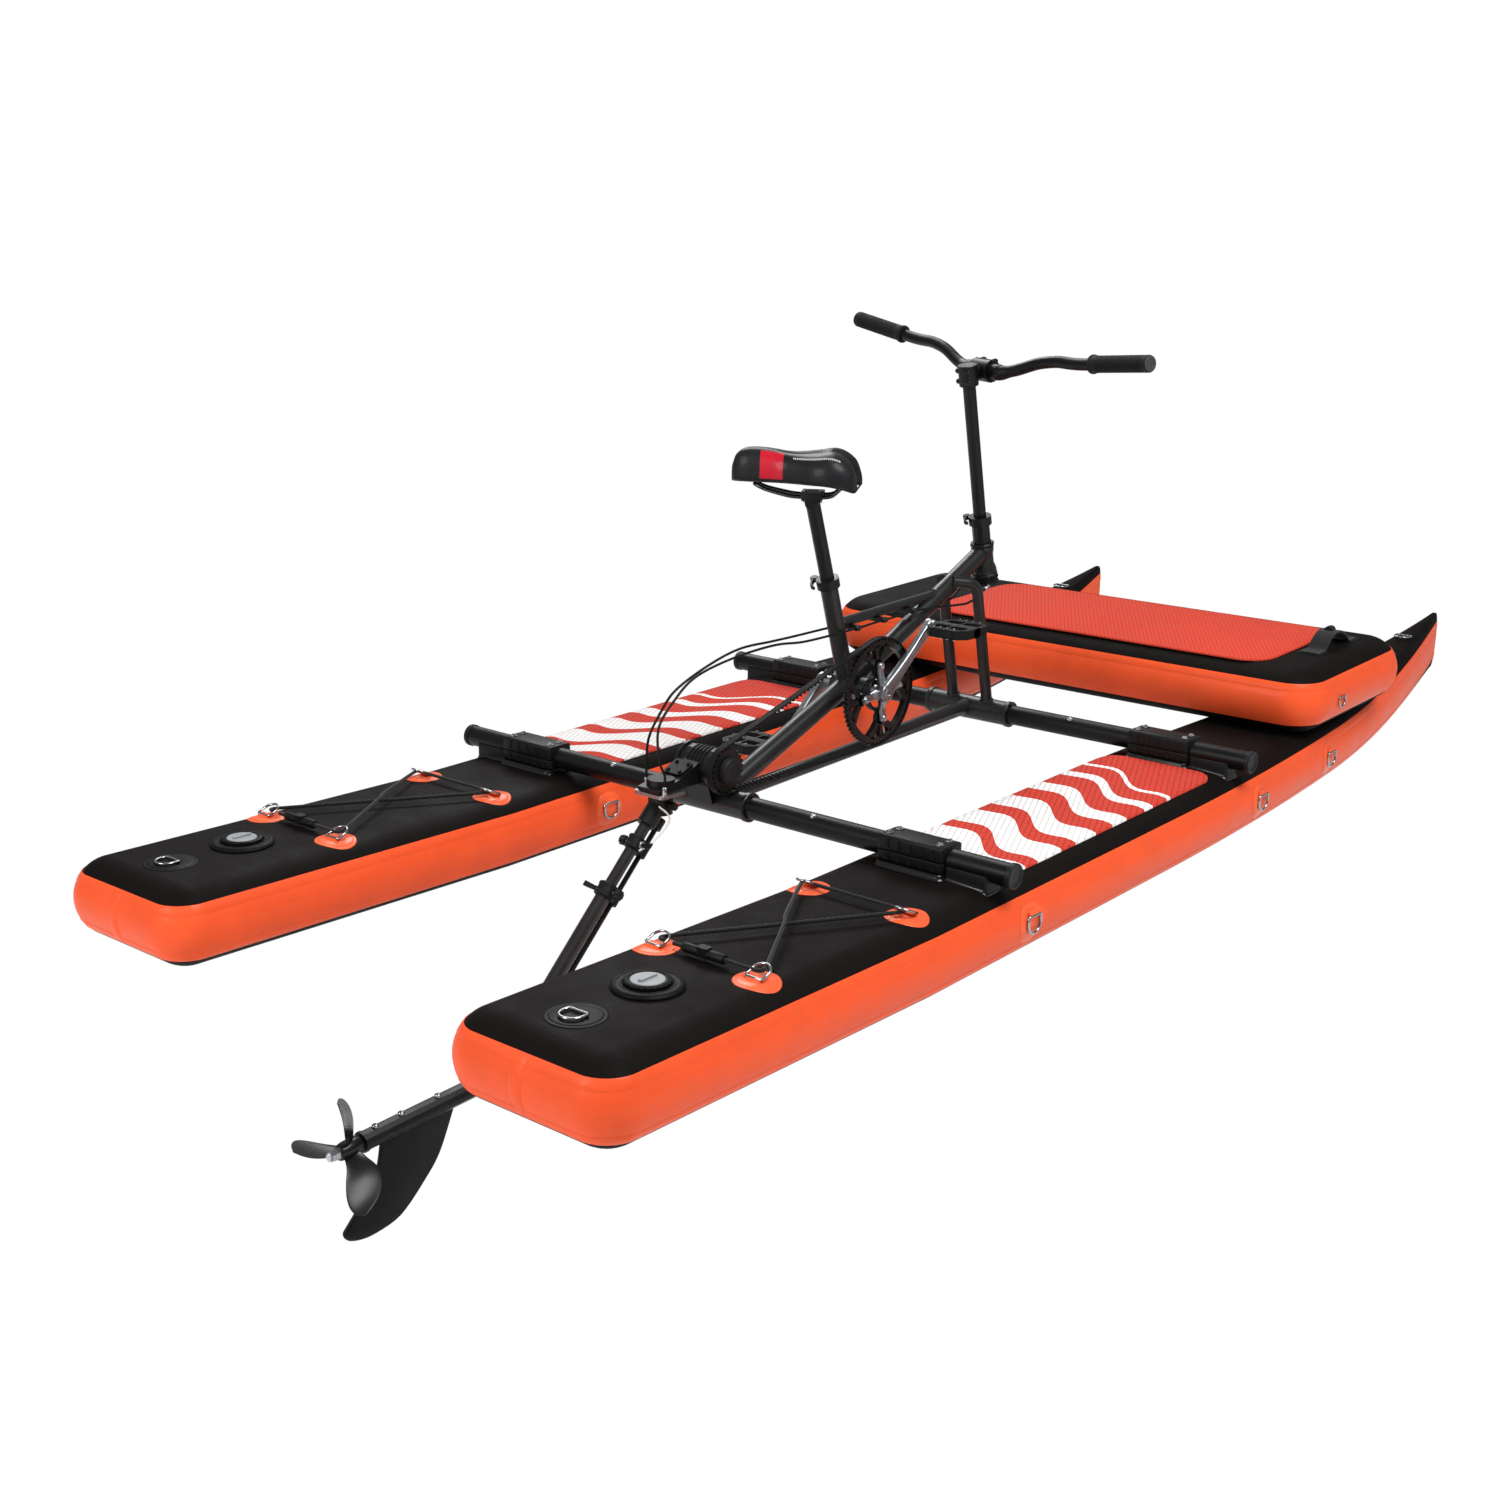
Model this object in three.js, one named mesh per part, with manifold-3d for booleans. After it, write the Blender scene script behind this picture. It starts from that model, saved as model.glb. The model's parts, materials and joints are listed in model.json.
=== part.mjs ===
// Pontoon water bike: two inflatable hulls, a welded bike frame bolted across them on two crossbars,
// a toothed belt drive to a rear gearbox and a steerable leg with a propeller and a fin.
// Millimetres. X points to the bow, Y to port, Z up.
// The origin is midway between the hulls, at the sterns' rear face, level with the hulls' undersides.

import * as THREE from 'three';
import { mergeVertices } from 'three/addons/utils/BufferGeometryUtils.js';
import Module from 'manifold-3d';

const wasm = await Module();
wasm.setup();

// Sizes shared by everything

const clearance = 0.3;
const overrun = 2;
const weldDistance = 0.001;
const facetTolerance = 0.05;
const degree = Math.PI / 180;
const sides = { tube: 12, cord: 8, small: 6, patch: 10, wheel: 16 };

// Driving dimensions of the hulls

const hull = {
  length: 2920, width: 320, thickness: 130, centreOffset: 449,
  rockerRisePerLength: 0.028, bowRise: 78, stemHalfWidth: 9, stemRound: 16, stemAngles: [40, 72], fullness: 0.8,
  taperSteps: 8, cornerSteps: 4, sternSteps: 3, sternLeadShare: 0.13,
};

// Stations along the hull are shares of its length, so that they keep their places on a longer or shorter hull

const alongHull = (share) => share * hull.length;
const rockerStart = alongHull(0.24144);
const bowRiseStart = alongHull(0.73801);
const taperStart = alongHull(0.48116);

const patch = {
  thickness: 2.5, deckRadius: 34, sideRadius: 33, sternRadius: 42,
  ringWidth: 40, ringBar: 5, ringLength: 34, tabWidth: 26, tabLength: 16,
};

const fitting = {
  sternRing: alongHull(0.03596), valve: alongHull(0.08151), lashRear: alongHull(0.12089),
  lashFront: alongHull(0.23767), lashHalfSpacing: hull.width * 0.2875, bowRing: alongHull(0.93664),
  outerSide: [0.31952, 0.59178, 0.71096].map(alongHull), innerSide: alongHull(0.31507),
};

const valve = { radius: 51, height: 9, rimWidth: 7, capRadius: 33, capHeight: 5, gripWidth: 9, gripHeight: 4 };

// The lashing's turns and crossing levels are counted in cord radii and cord diameters
const lash = {
  radius: 3, toggleLength: 24, toggleRadius: 8, toggleTaper: 0.8, steps: 28, tension: 0.25, turnX: 4, turnY: 3,
  overRing: 0.4, overCross: 1.2,
};

const pad = { thickness: 4, halfWidth: 112, cornerRadius: 42, gap: 4, rearGap: 38 };

// Driving dimensions of the inflatable cross float

const float = {
  rear: alongHull(0.66027), length: 462, starboardReach: 600, portReach: 585, thickness: 130, cornerRadius: 78,
  padThickness: 4, padRearInset: 42, padFrontInset: 74, padStarboardInset: 130, padPortInset: 250,
  padCornerRadius: 62, sideSteps: 6,
};

const strap = {
  thickness: 3, width: 38, span: 112, rise: 30, footLength: 34, fromPadEdge: 16, archSteps: 8, archPower: 0.8,
  outerGrow: 0.02,
};

// Driving dimensions of the crossbars and their brackets

const bar = {
  rear: 875, front: 1658, radius: 19, overHull: 164, aboveDeck: 27.5,
  capRadius: 20.5, capLength: 10, capDish: 2.5, capRim: 4,
};

const bracket = {
  length: 124, halfWidth: 27, cover: 5, centreFromHull: 16, plateHalfWidth: 33, plateThickness: 9,
  footStart: 62, footLength: 78, footHalfWidth: 21, boltRadius: 5, boltHeight: 4, boltInset: 14,
};

// Driving dimensions of the welded frame, in the plane between the hulls

const tubeRadius = { spar: 17.5, chainstay: 18, seat: 16, top: 9.5, leg: 11, lowerFront: 15, lowerRear: 10.5 };

const crankAxis = { x: 1267, z: 291 };

const steering = { tilt: 12.8, headMiddle: { x: 1678, z: 481 } };

const head = {
  halfLength: 27, radius: 20, topRadius: 22, lowerRadius: 24.5, cupHeight: 8, cupLip: 1.5,
  lowerFlareShare: 0.75, waistLowShare: 0.3, waistHighShare: 0.4, topFlareShare: 0.7,
};

const seatTube = { angle: 18.6, top: { x: 1178, z: 504 }, bore: 13.1, boreDepth: 186 };

const frameJoint = {
  sparHeadShare: 0.6, sparKink: { x: 1384, z: 360 }, sparFoot: { x: 1244, z: 300 },
  topRear: { x: 1208, z: 417 }, topFront: { x: 1508, z: 430 },
  legHead: { x: 1556, z: 452 }, legBend: { x: 1598, z: 446 }, legHeadHalfSpacing: 12, legHalfSpacing: 40,
  legBendRadius: 30, stayRearDrop: 6, lowerRearDrop: 9, lowerFrontRise: 5,
};

const sleeve = { radius: 23.5, rearHalfLength: 88, frontHalfLength: 96, collarRadius: 25.5, collarLength: 9 };

const bottomBracket = { radius: 22, halfWidth: 36.5, bore: 17, cupRadius: 21, cupWidth: 6, insert: 14 };

const guide = {
  length: 9, height: 10, halfWidth: 24, spacing: 19.2, drop: 12, bore: 2.9, stationShares: [0.13, 0.4, 0.71],
};

// Driving dimensions of the quick-release collars

const collar = { height: 17, wall: 4.5, lugReach: 12, lugWidth: 16, slot: 2.5, boltRadius: 3, boltOverhang: 7 };

const lever = {
  length: 40, width: 9, radius: 4, hubRadius: 7.5, curl: 10, armShares: [[0, 0], [0.45, 0.6], [0.8, 0.7], [1, 0.3]],
};

// Which way the collars' slots and levers face
const towardsBow = vec(0.77, 0.64, 0);

// Driving dimensions of the saddle and its post

const post = { radius: 12.7, exposed: 148, insertion: 118 };

const saddle = {
  length: 226, halfWidth: 78, height: 52, yaw: 122, clampFromTail: 84, underside: 40, baseDepth: 7,
  channelDepth: 11, channelHalfWidth: 11, channelEndShare: 0.66, channelFadeShare: 0.2, tailNotch: 26, notchShare: 0.16,
  lobeDrop: 15, lobeShare: 0.3, stations: 14, around: 20, dome: 0.72, flank: 0.55,
};

// Shares of the saddle's length from the tail, with the share of its half width and of its height there
const saddleWidthShares = [
  [0, 0.62], [0.05, 0.86], [0.18, 1], [0.32, 0.93], [0.46, 0.7], [0.6, 0.5], [0.76, 0.42], [0.9, 0.37],
  [0.97, 0.27], [1, 0.12],
];
const saddleHeightShares = [
  [0, 0.5], [0.05, 0.82], [0.18, 1.02], [0.32, 0.95], [0.46, 0.9], [0.6, 0.92], [0.76, 1], [0.9, 0.97],
  [0.97, 0.75], [1, 0.4],
];

const rail = {
  radius: 3.5, halfSpacing: 22, noseHalfSpacing: 9, level: 5, seat: 2, foreReach: 100, aftReach: 52, flatFore: 44,
  flatAft: 34, steps: 22, gap: 0.8, tension: 0.4, pinchShare: 0.95, pinchRise: 0.6, climbShare: 0.8, climbDrop: 2.2,
};

const seatClamp = {
  length: 40, width: 60, height: 17, barrelRadius: 12, barrelHalf: 18, boltRadius: 4, boltHead: 3, boltShare: 0.36,
  grooveRadius: 4.9, bottomShare: 0.2,
};

// Driving dimensions of the steerer, riser, stem and handlebar

const steerer = { radius: 16.2, sleeveRadius: 17.5, sleeveLength: 54 };

const drum = { radius: 27, height: 12, groove: 3, lip: 2.5 };

const riser = { radius: 12.5, insertion: 70, exposed: 300 };

const stem = {
  reach: 40, clampHeight: 40, clampRadius: 18.5, barClampRadius: 21.5, barClampHalf: 23, neckRadius: 13.5,
  boltRadius: 3.4, boltSpreadShare: 0.68, clampBoltRadius: 4.8, clampBoltBackShare: 0.7, neckShare: 0.42,
};

const handlebar = {
  radius: 11.2, clampRadius: 15.6, halfWidth: 400, turned: 13.4, plugLength: 6, endForward: 28, endRise: 52,
};

// The bends of half the bar: shares of its half width, of its end's forward reach and of its end's rise
const barBends = [
  [0, 0, 0], [0.105, 0, 0], [0.135, 0.036, 0.019], [0.21, 0.286, 0.154], [0.32, 0.714, 0.423], [0.43, 0.929, 0.558],
  [0.58, 1, 0.596],
];

const grip = { length: 134, radius: 15.5, flangeRadius: 17.5, flangeLength: 13 };

// Driving dimensions of the crank set

const crank = {
  armLength: 170, angle: 38.8, spindleRadius: 12, armInner: 63.5, armThickness: 15,
  hubRadius: 17, waistHalfWidth: 9.5, waistShare: 0.62, endRadius: 12.5, arcSteps: 5,
  spiderArms: 4, spiderHalfWidth: 8, spiderThickness: 8, spiderTurn: -31, boltCircle: 50, boltRadius: 7, boltHead: 3,
  shankRadius: 4, capRadius: 9, capHeight: 2.5, endArc: 80, hubArc: 120, spiderRootShare: 1.3, spiderEndShare: 0.9,
};

const belt = {
  pitch: 10.3, toothDepth: 3.4, width: 12, thickness: 3, plane: 54, ringTeeth: 60, pulleyTeeth: 24,
  tipShare: 0.2, rootShare: 0.32, slack: 0.5, arcSteps: 16,
};

const ring = { thickness: 9, rimDepth: 9, bossRadius: 12, spokeHalfWidth: 4, spokeTurn: 22, bore: 30, hubRim: 36 };

const pedal = {
  length: 98, width: 90, thickness: 17, railWidth: 14, endWidth: 11, axleRadius: 6.5, coreRadius: 10.5, pinRadius: 2.2,
  pinHeight: 3, pinInsetX: 7, pinInsetY: 16, fromArm: 9, chamfer: 18, flangeRadius: 10, flangeLength: 5,
};

// Driving dimensions of the gearbox, the leg and the propeller unit

const gearbox = {
  pulleyAxis: { x: 846, z: 228 }, barrelRadius: 33, barrelStarboard: 42, barrelPort: 34, flangeRadius: 37,
  flangeThickness: 5, mountHalfWidth: 26, mountLow: 162, mountFront: 900, mountRear: 822, noseHalfWidth: 24,
  ridgeFront: { x: 852, z: 258 }, ridgeRear: { x: 766, z: 221 }, noseTip: 716, noseTop: 212, noseBottom: 205,
  coverThickness: 4, coverHalfWidth: 20, coverInset: 7, coverFrontShare: 0.55, boltRadius: 3.5, boltHeight: 3,
  bossRadius: 24, bossTop: 224, hubRadius: 9, capRadius: 22, capDepth: 12, capCrown: 4,
};

const swivel = {
  x: 745, plateTop: 204, plateThickness: 6, plateHalfLength: 31, plateHalfWidth: 34, plateCorner: 8,
  headRadius: 21, headHeight: 34, pinRadius: 8, pinTop: 218, knobRadius: 7, knobReach: 34,
};

const leg = {
  top: { x: 749, z: 190 }, angle: 44.7, axisToPod: 530, socketRadius: 16, socketStart: 10, socketEnd: 56,
  upperRadius: 10, upperStart: 22, upperEnd: 310, lowerRadius: 12.6, lowerStart: 178, lowerEnd: 512,
  rodRadius: 4.4, rodOffset: 25, rodStart: 30, rodEnd: 424, rodLugRadius: 9, rodLugEnd: 48,
  upperClamp: 92, lowerClamp: 186, clampHeight: 22, clampWall: 5, lugRadius: 9.5,
  knobRadius: 9, knobLength: 16, knobStem: 4, leverLength: 46, leverHalf: 3.5, leverCurl: 12,
  podSocketRadius: 17, podSocketStart: 484, rootShare: 0.8,
  leverBends: [[0.3, 0.33], [0.6, 1], [0.72, 2.4]],
};

const pod = {
  axisAt: { x: 373, z: -183 }, pitch: 3.2, noseReach: 24, rear: 104, radius: 15, noseLength: 16, collarRadius: 16.5,
  collarLength: 7, screwRadius: 4.5, screwHeight: 3, screws: [252, 181, 132], bore: 6.4, boreDepth: 70,
  tipShare: 0.45, cheekShare: 0.85, cheekAt: 0.4,
};

const fin = {
  thickness: 10, bevel: 3.6, edge: 4,
  outline: [
    [139, -190], [281, -184], [281, -206], [253, -266], [223, -301], [172, -343], [115, -354], [78, -347],
    [66, -332], [79, -316], [122, -272], [133, -245], [139, -216],
  ],
};

const prop = {
  radius: 97, blades: 3, hubRadius: 14, hubEndRadius: 11, hubLength: 40, halfWidth: 30, halfThickness: 3.2,
  tipThicknessShare: 0.3, rootPitch: 62, tipPitch: 32, rake: 30, turned: -15, gap: 1.5, rootShare: 0.1,
  shaftRadius: 6, shaftInside: 60, nutRadius: 9.5, nutTaper: 0.86, nutLength: 13, shaftEnd: 3, hubBendShare: 0.6,
  rakePower: 1.5,
};

// The blade's section: shares of its half width and of its half thickness
const bladeFoil = [[-1, 0], [-0.4, 1], [0.5, 0.9], [1, 0], [0.5, -0.9], [-0.4, -1]];

// Shares of the propeller's radius with the share of the blade's half width there
const bladeWidthShares = [
  [0.1, 0.42], [0.25, 0.55], [0.42, 0.83], [0.6, 1], [0.76, 0.96], [0.88, 0.74], [0.96, 0.42], [1, 0.1],
];

const cable = { radius: 2.2, steps: 30, ferruleRadius: 4, ferruleLength: 14 };

// Places that the steering cables pass: distance from the stern, from the middle and above the hulls' undersides
const portCableRoute = [
  [1660, 27.6, 433], [1640, 26, 424], [1600, 22.5, 407], [1560, 22.5, 407.5], [1500, 21.5, 411],
  [1190, 19.2, 406.5], [1100, 12, 408], [1030, 3, 411], [945, 5, 410], [862, 4.5, 393], [785, 3.4, 366],
  [757, 10, 334], [740, 22, 290], [743, 30, 245], [743, 30, 225],
];
const starboardCableRoute = [
  [1660, -27.6, 433], [1640, -26, 424], [1600, -22.5, 407], [1560, -22.5, 407.5], [1500, -21.5, 411],
  [1190, -19.2, 405], [1100, -12, 402], [1030, -3, 405], [920, -5, 400], [826, -4.5, 383], [775, -3.4, 352],
  [727, -12, 314], [714, -26, 265], [719, -33, 240], [719, -33, 225],
];

const legCord = { radius: 1.6, steps: 14, route: [[716, -24, 186], [735, -30, 160], [700, -24, 128], [676, -17, 118]] };

// Finishes

const orangeVinyl = () => finish(0xe8502a, 0.45, 0);
const redFoam = () => finish(0xcf3a2e, 0.85, 0);
const blackPaint = () => finish(0x1d1e20, 0.4, 0.2);
const satinPaint = () => finish(0x45474a, 0.42, 0.3);
const forgedSilver = () => finish(0xc9ccd0, 0.3, 0.9);
const polishedSteel = () => finish(0xb9bcc0, 0.25, 1);
const blackPlastic = () => finish(0x17181a, 0.6, 0);
const blackRubber = () => finish(0x141414, 0.85, 0);
const greyPlastic = () => finish(0x6c6f73, 0.55, 0);
const whitePlastic = () => finish(0xd8d8d4, 0.5, 0);

function finish(color, roughness, metalness) {
  return new THREE.MeshStandardMaterial({ color, roughness, metalness });
}

// Small geometry helpers

function vec(x, y, z) {
  return new THREE.Vector3(x, y, z);
}

const alongX = vec(1, 0, 0);
const alongY = vec(0, 1, 0);
const alongZ = vec(0, 0, 1);

// Merges shared vertices, drops collapsed triangles and turns the faces outward
function weld(geometry) {
  const bare = geometry.clone();
  for (const key of Object.keys(bare.attributes)) {
    if (key !== 'position') bare.deleteAttribute(key);
  }
  const merged = mergeVertices(bare, weldDistance);
  const index = merged.index.array;
  const kept = [];
  for (let i = 0; i < index.length; i += 3) {
    const [a, b, c] = [index[i], index[i + 1], index[i + 2]];
    if (a !== b && b !== c && c !== a) kept.push(a, b, c);
  }
  merged.setIndex(kept);
  if (signedVolume(merged) < 0) turnFacesOver(merged);
  return merged;
}

function signedVolume(geometry) {
  const position = geometry.attributes.position;
  const index = geometry.index.array;
  const [a, b, c] = [vec(0, 0, 0), vec(0, 0, 0), vec(0, 0, 0)];
  let volume = 0;
  for (let i = 0; i < index.length; i += 3) {
    a.fromBufferAttribute(position, index[i]);
    b.fromBufferAttribute(position, index[i + 1]);
    c.fromBufferAttribute(position, index[i + 2]);
    volume += a.dot(b.cross(c)) / 6;
  }
  return volume;
}

function turnFacesOver(geometry) {
  const index = geometry.index.array;
  for (let i = 0; i < index.length; i += 3) {
    [index[i + 1], index[i + 2]] = [index[i + 2], index[i + 1]];
  }
}

function toSolid(geometry) {
  const closed = weld(geometry);
  return new wasm.Manifold(new wasm.Mesh({
    numProp: 3,
    vertProperties: Float32Array.from(closed.attributes.position.array),
    triVerts: Uint32Array.from(closed.index.array),
  }));
}

function toGeometry(solid) {
  const mesh = solid.simplify(facetTolerance).getMesh();
  const geometry = new THREE.BufferGeometry();
  geometry.setAttribute('position', new THREE.BufferAttribute(Float32Array.from(mesh.vertProperties), 3));
  geometry.setIndex(Array.from(mesh.triVerts));
  return geometry;
}

function join(pieces) {
  return toGeometry(pieces.map(toSolid).reduce((whole, piece) => whole.add(piece)));
}

function cut(base, tools) {
  return toGeometry(tools.map(toSolid).reduce((rest, tool) => rest.subtract(tool), toSolid(base)));
}

function common(a, b) {
  return toGeometry(toSolid(a).intersect(toSolid(b)));
}

// Turns a geometry built around +Y so that it points along a direction from a place
function aim(geometry, from, direction) {
  const turn = new THREE.Quaternion().setFromUnitVectors(alongY, direction.clone().normalize());
  return geometry.applyQuaternion(turn).translate(from.x, from.y, from.z);
}

function rod(from, to, radius, endRadius = radius, segments = sides.tube) {
  const span = to.clone().sub(from);
  const geometry = new THREE.CylinderGeometry(endRadius, radius, span.length(), segments);
  geometry.translate(0, span.length() / 2, 0);
  return aim(geometry, from, span);
}

// A revolved piece: the profile holds [radius, distance along the axis] pairs and closes on the axis
function turned(profile, from, direction, segments = sides.tube) {
  const points = profile.map(([radius, along]) => new THREE.Vector2(radius, along));
  return aim(new THREE.LatheGeometry(points, segments), from, direction);
}

// A revolved piece with a bore: the profile is a closed loop away from the axis
function bored(profile, from, direction, segments = sides.tube) {
  return turned([...profile, profile[0]], from, direction, segments);
}

// Bore radius that clears a tube whose facets are turned against the bore's
function looseBore(radius) {
  return (radius + clearance) / Math.cos(Math.PI / sides.tube);
}

function pipe(from, to, radius, bore, segments = sides.tube) {
  const length = to.distanceTo(from);
  const wall = [[bore, 0], [radius, 0], [radius, length], [bore, length]];
  return bored(wall, from, to.clone().sub(from), segments);
}

function box(sizeX, sizeY, sizeZ, centre) {
  return new THREE.BoxGeometry(sizeX, sizeY, sizeZ).translate(centre.x, centre.y, centre.z);
}

// Skins a list of rings that have the same number of points, and closes both ends
function loft(rings) {
  const count = rings[0].length;
  const positions = rings.flat().flatMap((point) => [point.x, point.y, point.z]);
  const index = [];
  for (let r = 0; r + 1 < rings.length; r += 1) {
    for (let i = 0; i < count; i += 1) {
      const next = (i + 1) % count;
      const [a, b, c, d] = [r * count + i, r * count + next, (r + 1) * count + i, (r + 1) * count + next];
      index.push(a, b, d, a, d, c);
    }
  }
  for (const [ring, flip] of [[0, true], [rings.length - 1, false]]) {
    const middle = new THREE.Vector3();
    rings[ring].forEach((point) => middle.addScaledVector(point, 1 / count));
    const centre = positions.length / 3;
    positions.push(middle.x, middle.y, middle.z);
    for (let i = 0; i < count; i += 1) {
      const [a, b] = [ring * count + i, ring * count + ((i + 1) % count)];
      index.push(...(flip ? [centre, b, a] : [centre, a, b]));
    }
  }
  const geometry = new THREE.BufferGeometry();
  geometry.setAttribute('position', new THREE.Float32BufferAttribute(positions, 3));
  geometry.setIndex(index);
  return geometry;
}

// A closed outline in a plane, pushed out by a depth; across and up are the plane's directions
function plate(outline, holes, depth, origin, across, up) {
  const shape = new THREE.Shape(THREE.ShapeUtils.isClockWise(outline) ? [...outline].reverse() : outline);
  shape.holes = holes.map((hole) => new THREE.Path(hole));
  const geometry = new THREE.ExtrudeGeometry(shape, { depth, bevelEnabled: false });
  const normal = across.clone().cross(up);
  geometry.applyMatrix4(new THREE.Matrix4().makeBasis(across, up, normal));
  return geometry.translate(origin.x, origin.y, origin.z);
}

function circleOutline(radius, segments, x = 0, y = 0) {
  return Array.from({ length: segments }, (_, i) => {
    const angle = (2 * Math.PI * i) / segments;
    return new THREE.Vector2(x + radius * Math.cos(angle), y + radius * Math.sin(angle));
  });
}

function roundedOutline(halfLength, halfWidth, radius, steps = 5) {
  const points = [];
  const corners = [[1, 1, 0], [-1, 1, 1], [-1, -1, 2], [1, -1, 3]];
  for (const [sx, sy, quarter] of corners) {
    for (let i = 0; i <= steps; i += 1) {
      const angle = 90 * (quarter + i / steps) * degree;
      points.push(new THREE.Vector2(
        sx * (halfLength - radius) + radius * Math.cos(angle),
        sy * (halfWidth - radius) + radius * Math.sin(angle),
      ));
    }
  }
  return points;
}

// A round cord or bent rod through hand-picked points
function cordAlong(points, radius, segments, steps, tension = 0.5) {
  const shape = new THREE.Shape(circleOutline(radius, segments));
  const path = new THREE.CatmullRomCurve3(points, false, 'catmullrom', tension);
  return new THREE.ExtrudeGeometry(shape, { steps, extrudePath: path, bevelEnabled: false });
}

// Replaces a corner by an arc, as a tube bender does
function bentPoints(from, corner, to, radius, steps = 5) {
  const back = from.clone().sub(corner).normalize();
  const ahead = to.clone().sub(corner).normalize();
  const half = back.angleTo(ahead) / 2;
  const reach = radius / Math.tan(half);
  const start = corner.clone().addScaledVector(back, reach);
  const end = corner.clone().addScaledVector(ahead, reach);
  const arc = new THREE.QuadraticBezierCurve3(start, corner, end);
  return [from, ...arc.getPoints(steps), to];
}

// A tube of constant or varying radius through points, with rings kept square to the path
function tubeThrough(points, radiusAt, segments = sides.tube) {
  const tangents = points.map((point, i) => {
    const before = points[Math.max(0, i - 1)];
    const after = points[Math.min(points.length - 1, i + 1)];
    return after.clone().sub(before).normalize();
  });
  const start = Math.abs(tangents[0].z) < 0.9 ? alongZ : alongX;
  let side = start.clone().cross(tangents[0]).normalize();
  const rings = points.map((point, i) => {
    side = side.clone().addScaledVector(tangents[i], -side.dot(tangents[i])).normalize();
    const up = tangents[i].clone().cross(side);
    const radius = typeof radiusAt === 'function' ? radiusAt(i / (points.length - 1)) : radiusAt;
    return circleOutline(radius, segments).map((p) => point.clone()
      .addScaledVector(side, p.x).addScaledVector(up, p.y));
  });
  return loft(rings);
}

const group = new THREE.Group();

function place(name, geometry, material) {
  const mesh = new THREE.Mesh(weld(geometry), material);
  mesh.name = name;
  group.add(mesh);
}

// Both halves of the boat: starboard is at -Y
const boatSides = [['starboard', -1], ['port', 1]];

// Hull form

const sideRadius = hull.thickness / 2;
const deckHalfFlat = hull.width / 2 - sideRadius;

// Rise of the deck and the underside above their level stern part
function rockerAt(x) {
  const bowShare = Math.max(0, x - bowRiseStart) / (hull.length - bowRiseStart);
  return hull.rockerRisePerLength * Math.max(0, x - rockerStart) + hull.bowRise * bowShare ** 2;
}

function deckHeight(x) {
  return hull.thickness + rockerAt(x);
}

// One cross-section, as its half flat, side radius and half thickness, grown all round by extra
function hullRing(x, shape, extra, offset) {
  const points = [];
  const middle = hull.thickness / 2 + rockerAt(x);
  for (const side of [1, -1]) {
    for (let i = 0; i <= 2 * hull.cornerSteps; i += 1) {
      const angle = side * (90 - (90 * i) / hull.cornerSteps) * degree;
      points.push(vec(
        x,
        offset + side * (shape.flat + (shape.radius + extra) * Math.cos(angle)),
        middle + (shape.half + extra) * Math.sin(angle),
      ));
    }
  }
  return points;
}

function hullStations() {
  const stations = [];
  const lead = Math.acos(1 - hull.sternLeadShare * hull.sternLeadShare);
  for (let i = 0; i < hull.sternSteps; i += 1) {
    const angle = lead + ((Math.PI / 2 - lead) * i) / hull.sternSteps;
    const size = sideRadius * Math.sin(angle);
    stations.push({ x: sideRadius * (Math.cos(lead) - Math.cos(angle)), flat: deckHalfFlat, radius: size, half: size });
  }
  const full = { flat: deckHalfFlat, radius: sideRadius, half: sideRadius };
  stations.push({ x: sideRadius * Math.cos(lead), ...full });
  stations.push({ x: rockerStart, ...full });
  const taperEnd = hull.length - hull.stemRound;
  for (let i = 0; i <= hull.taperSteps; i += 1) {
    const share = i / hull.taperSteps;
    const x = taperStart + (taperEnd - taperStart) * share;
    const width = hull.stemHalfWidth + (hull.width / 2 - hull.stemHalfWidth) * (1 - share ** 2);
    const radius = sideRadius * (width / (hull.width / 2)) ** hull.fullness;
    stations.push({ x, flat: Math.max(0, width - radius), radius: Math.min(radius, width), half: sideRadius });
  }
  const tip = stations[stations.length - 1];
  const [, lastAngle] = hull.stemAngles;
  for (const angle of hull.stemAngles) {
    stations.push({
      x: taperEnd + hull.stemRound * Math.sin(angle * degree) / Math.sin(lastAngle * degree),
      flat: tip.flat * Math.cos(angle * degree),
      radius: tip.radius * Math.cos(angle * degree),
      half: sideRadius - hull.stemRound * (1 - Math.cos(angle * degree)),
    });
  }
  return stations;
}

function hullSkin(extra, offset) {
  return loft(hullStations().map((station) => hullRing(station.x, station, extra, offset)));
}

// A D-shaped ring lying in a plane: the straight bar is at the origin and the bow reaches along up
function dRing(origin, across, up) {
  const half = patch.ringWidth / 2;
  const outline = (inset) => {
    const reach = half - inset;
    const crown = patch.ringLength - inset;
    const shoulder = patch.ringLength - half;
    return [[-reach, inset], [reach, inset], [reach, shoulder], [reach / 2, crown], [-reach / 2, crown], [-reach, shoulder]]
      .map(([x, y]) => new THREE.Vector2(x, y));
  };
  return plate(outline(0), [outline(patch.ringBar)], patch.ringBar, origin, across, up);
}

// A ring on the deck with the webbing tab that holds its bar to the patch
function deckRing(x, y, heading) {
  const z = deckHeight(x) + patch.thickness + clearance;
  const up = alongX.clone().multiplyScalar(heading);
  const across = alongY.clone().multiplyScalar(-heading);
  const origin = vec(x - heading * patch.tabLength / 2, y, z);
  const tab = box(patch.tabLength, patch.tabWidth, patch.ringBar + 2 * patch.thickness, vec(
    origin.x + heading * patch.ringBar / 2, y, z + patch.ringBar / 2,
  ));
  return [dRing(origin, across, up), tab];
}

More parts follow.
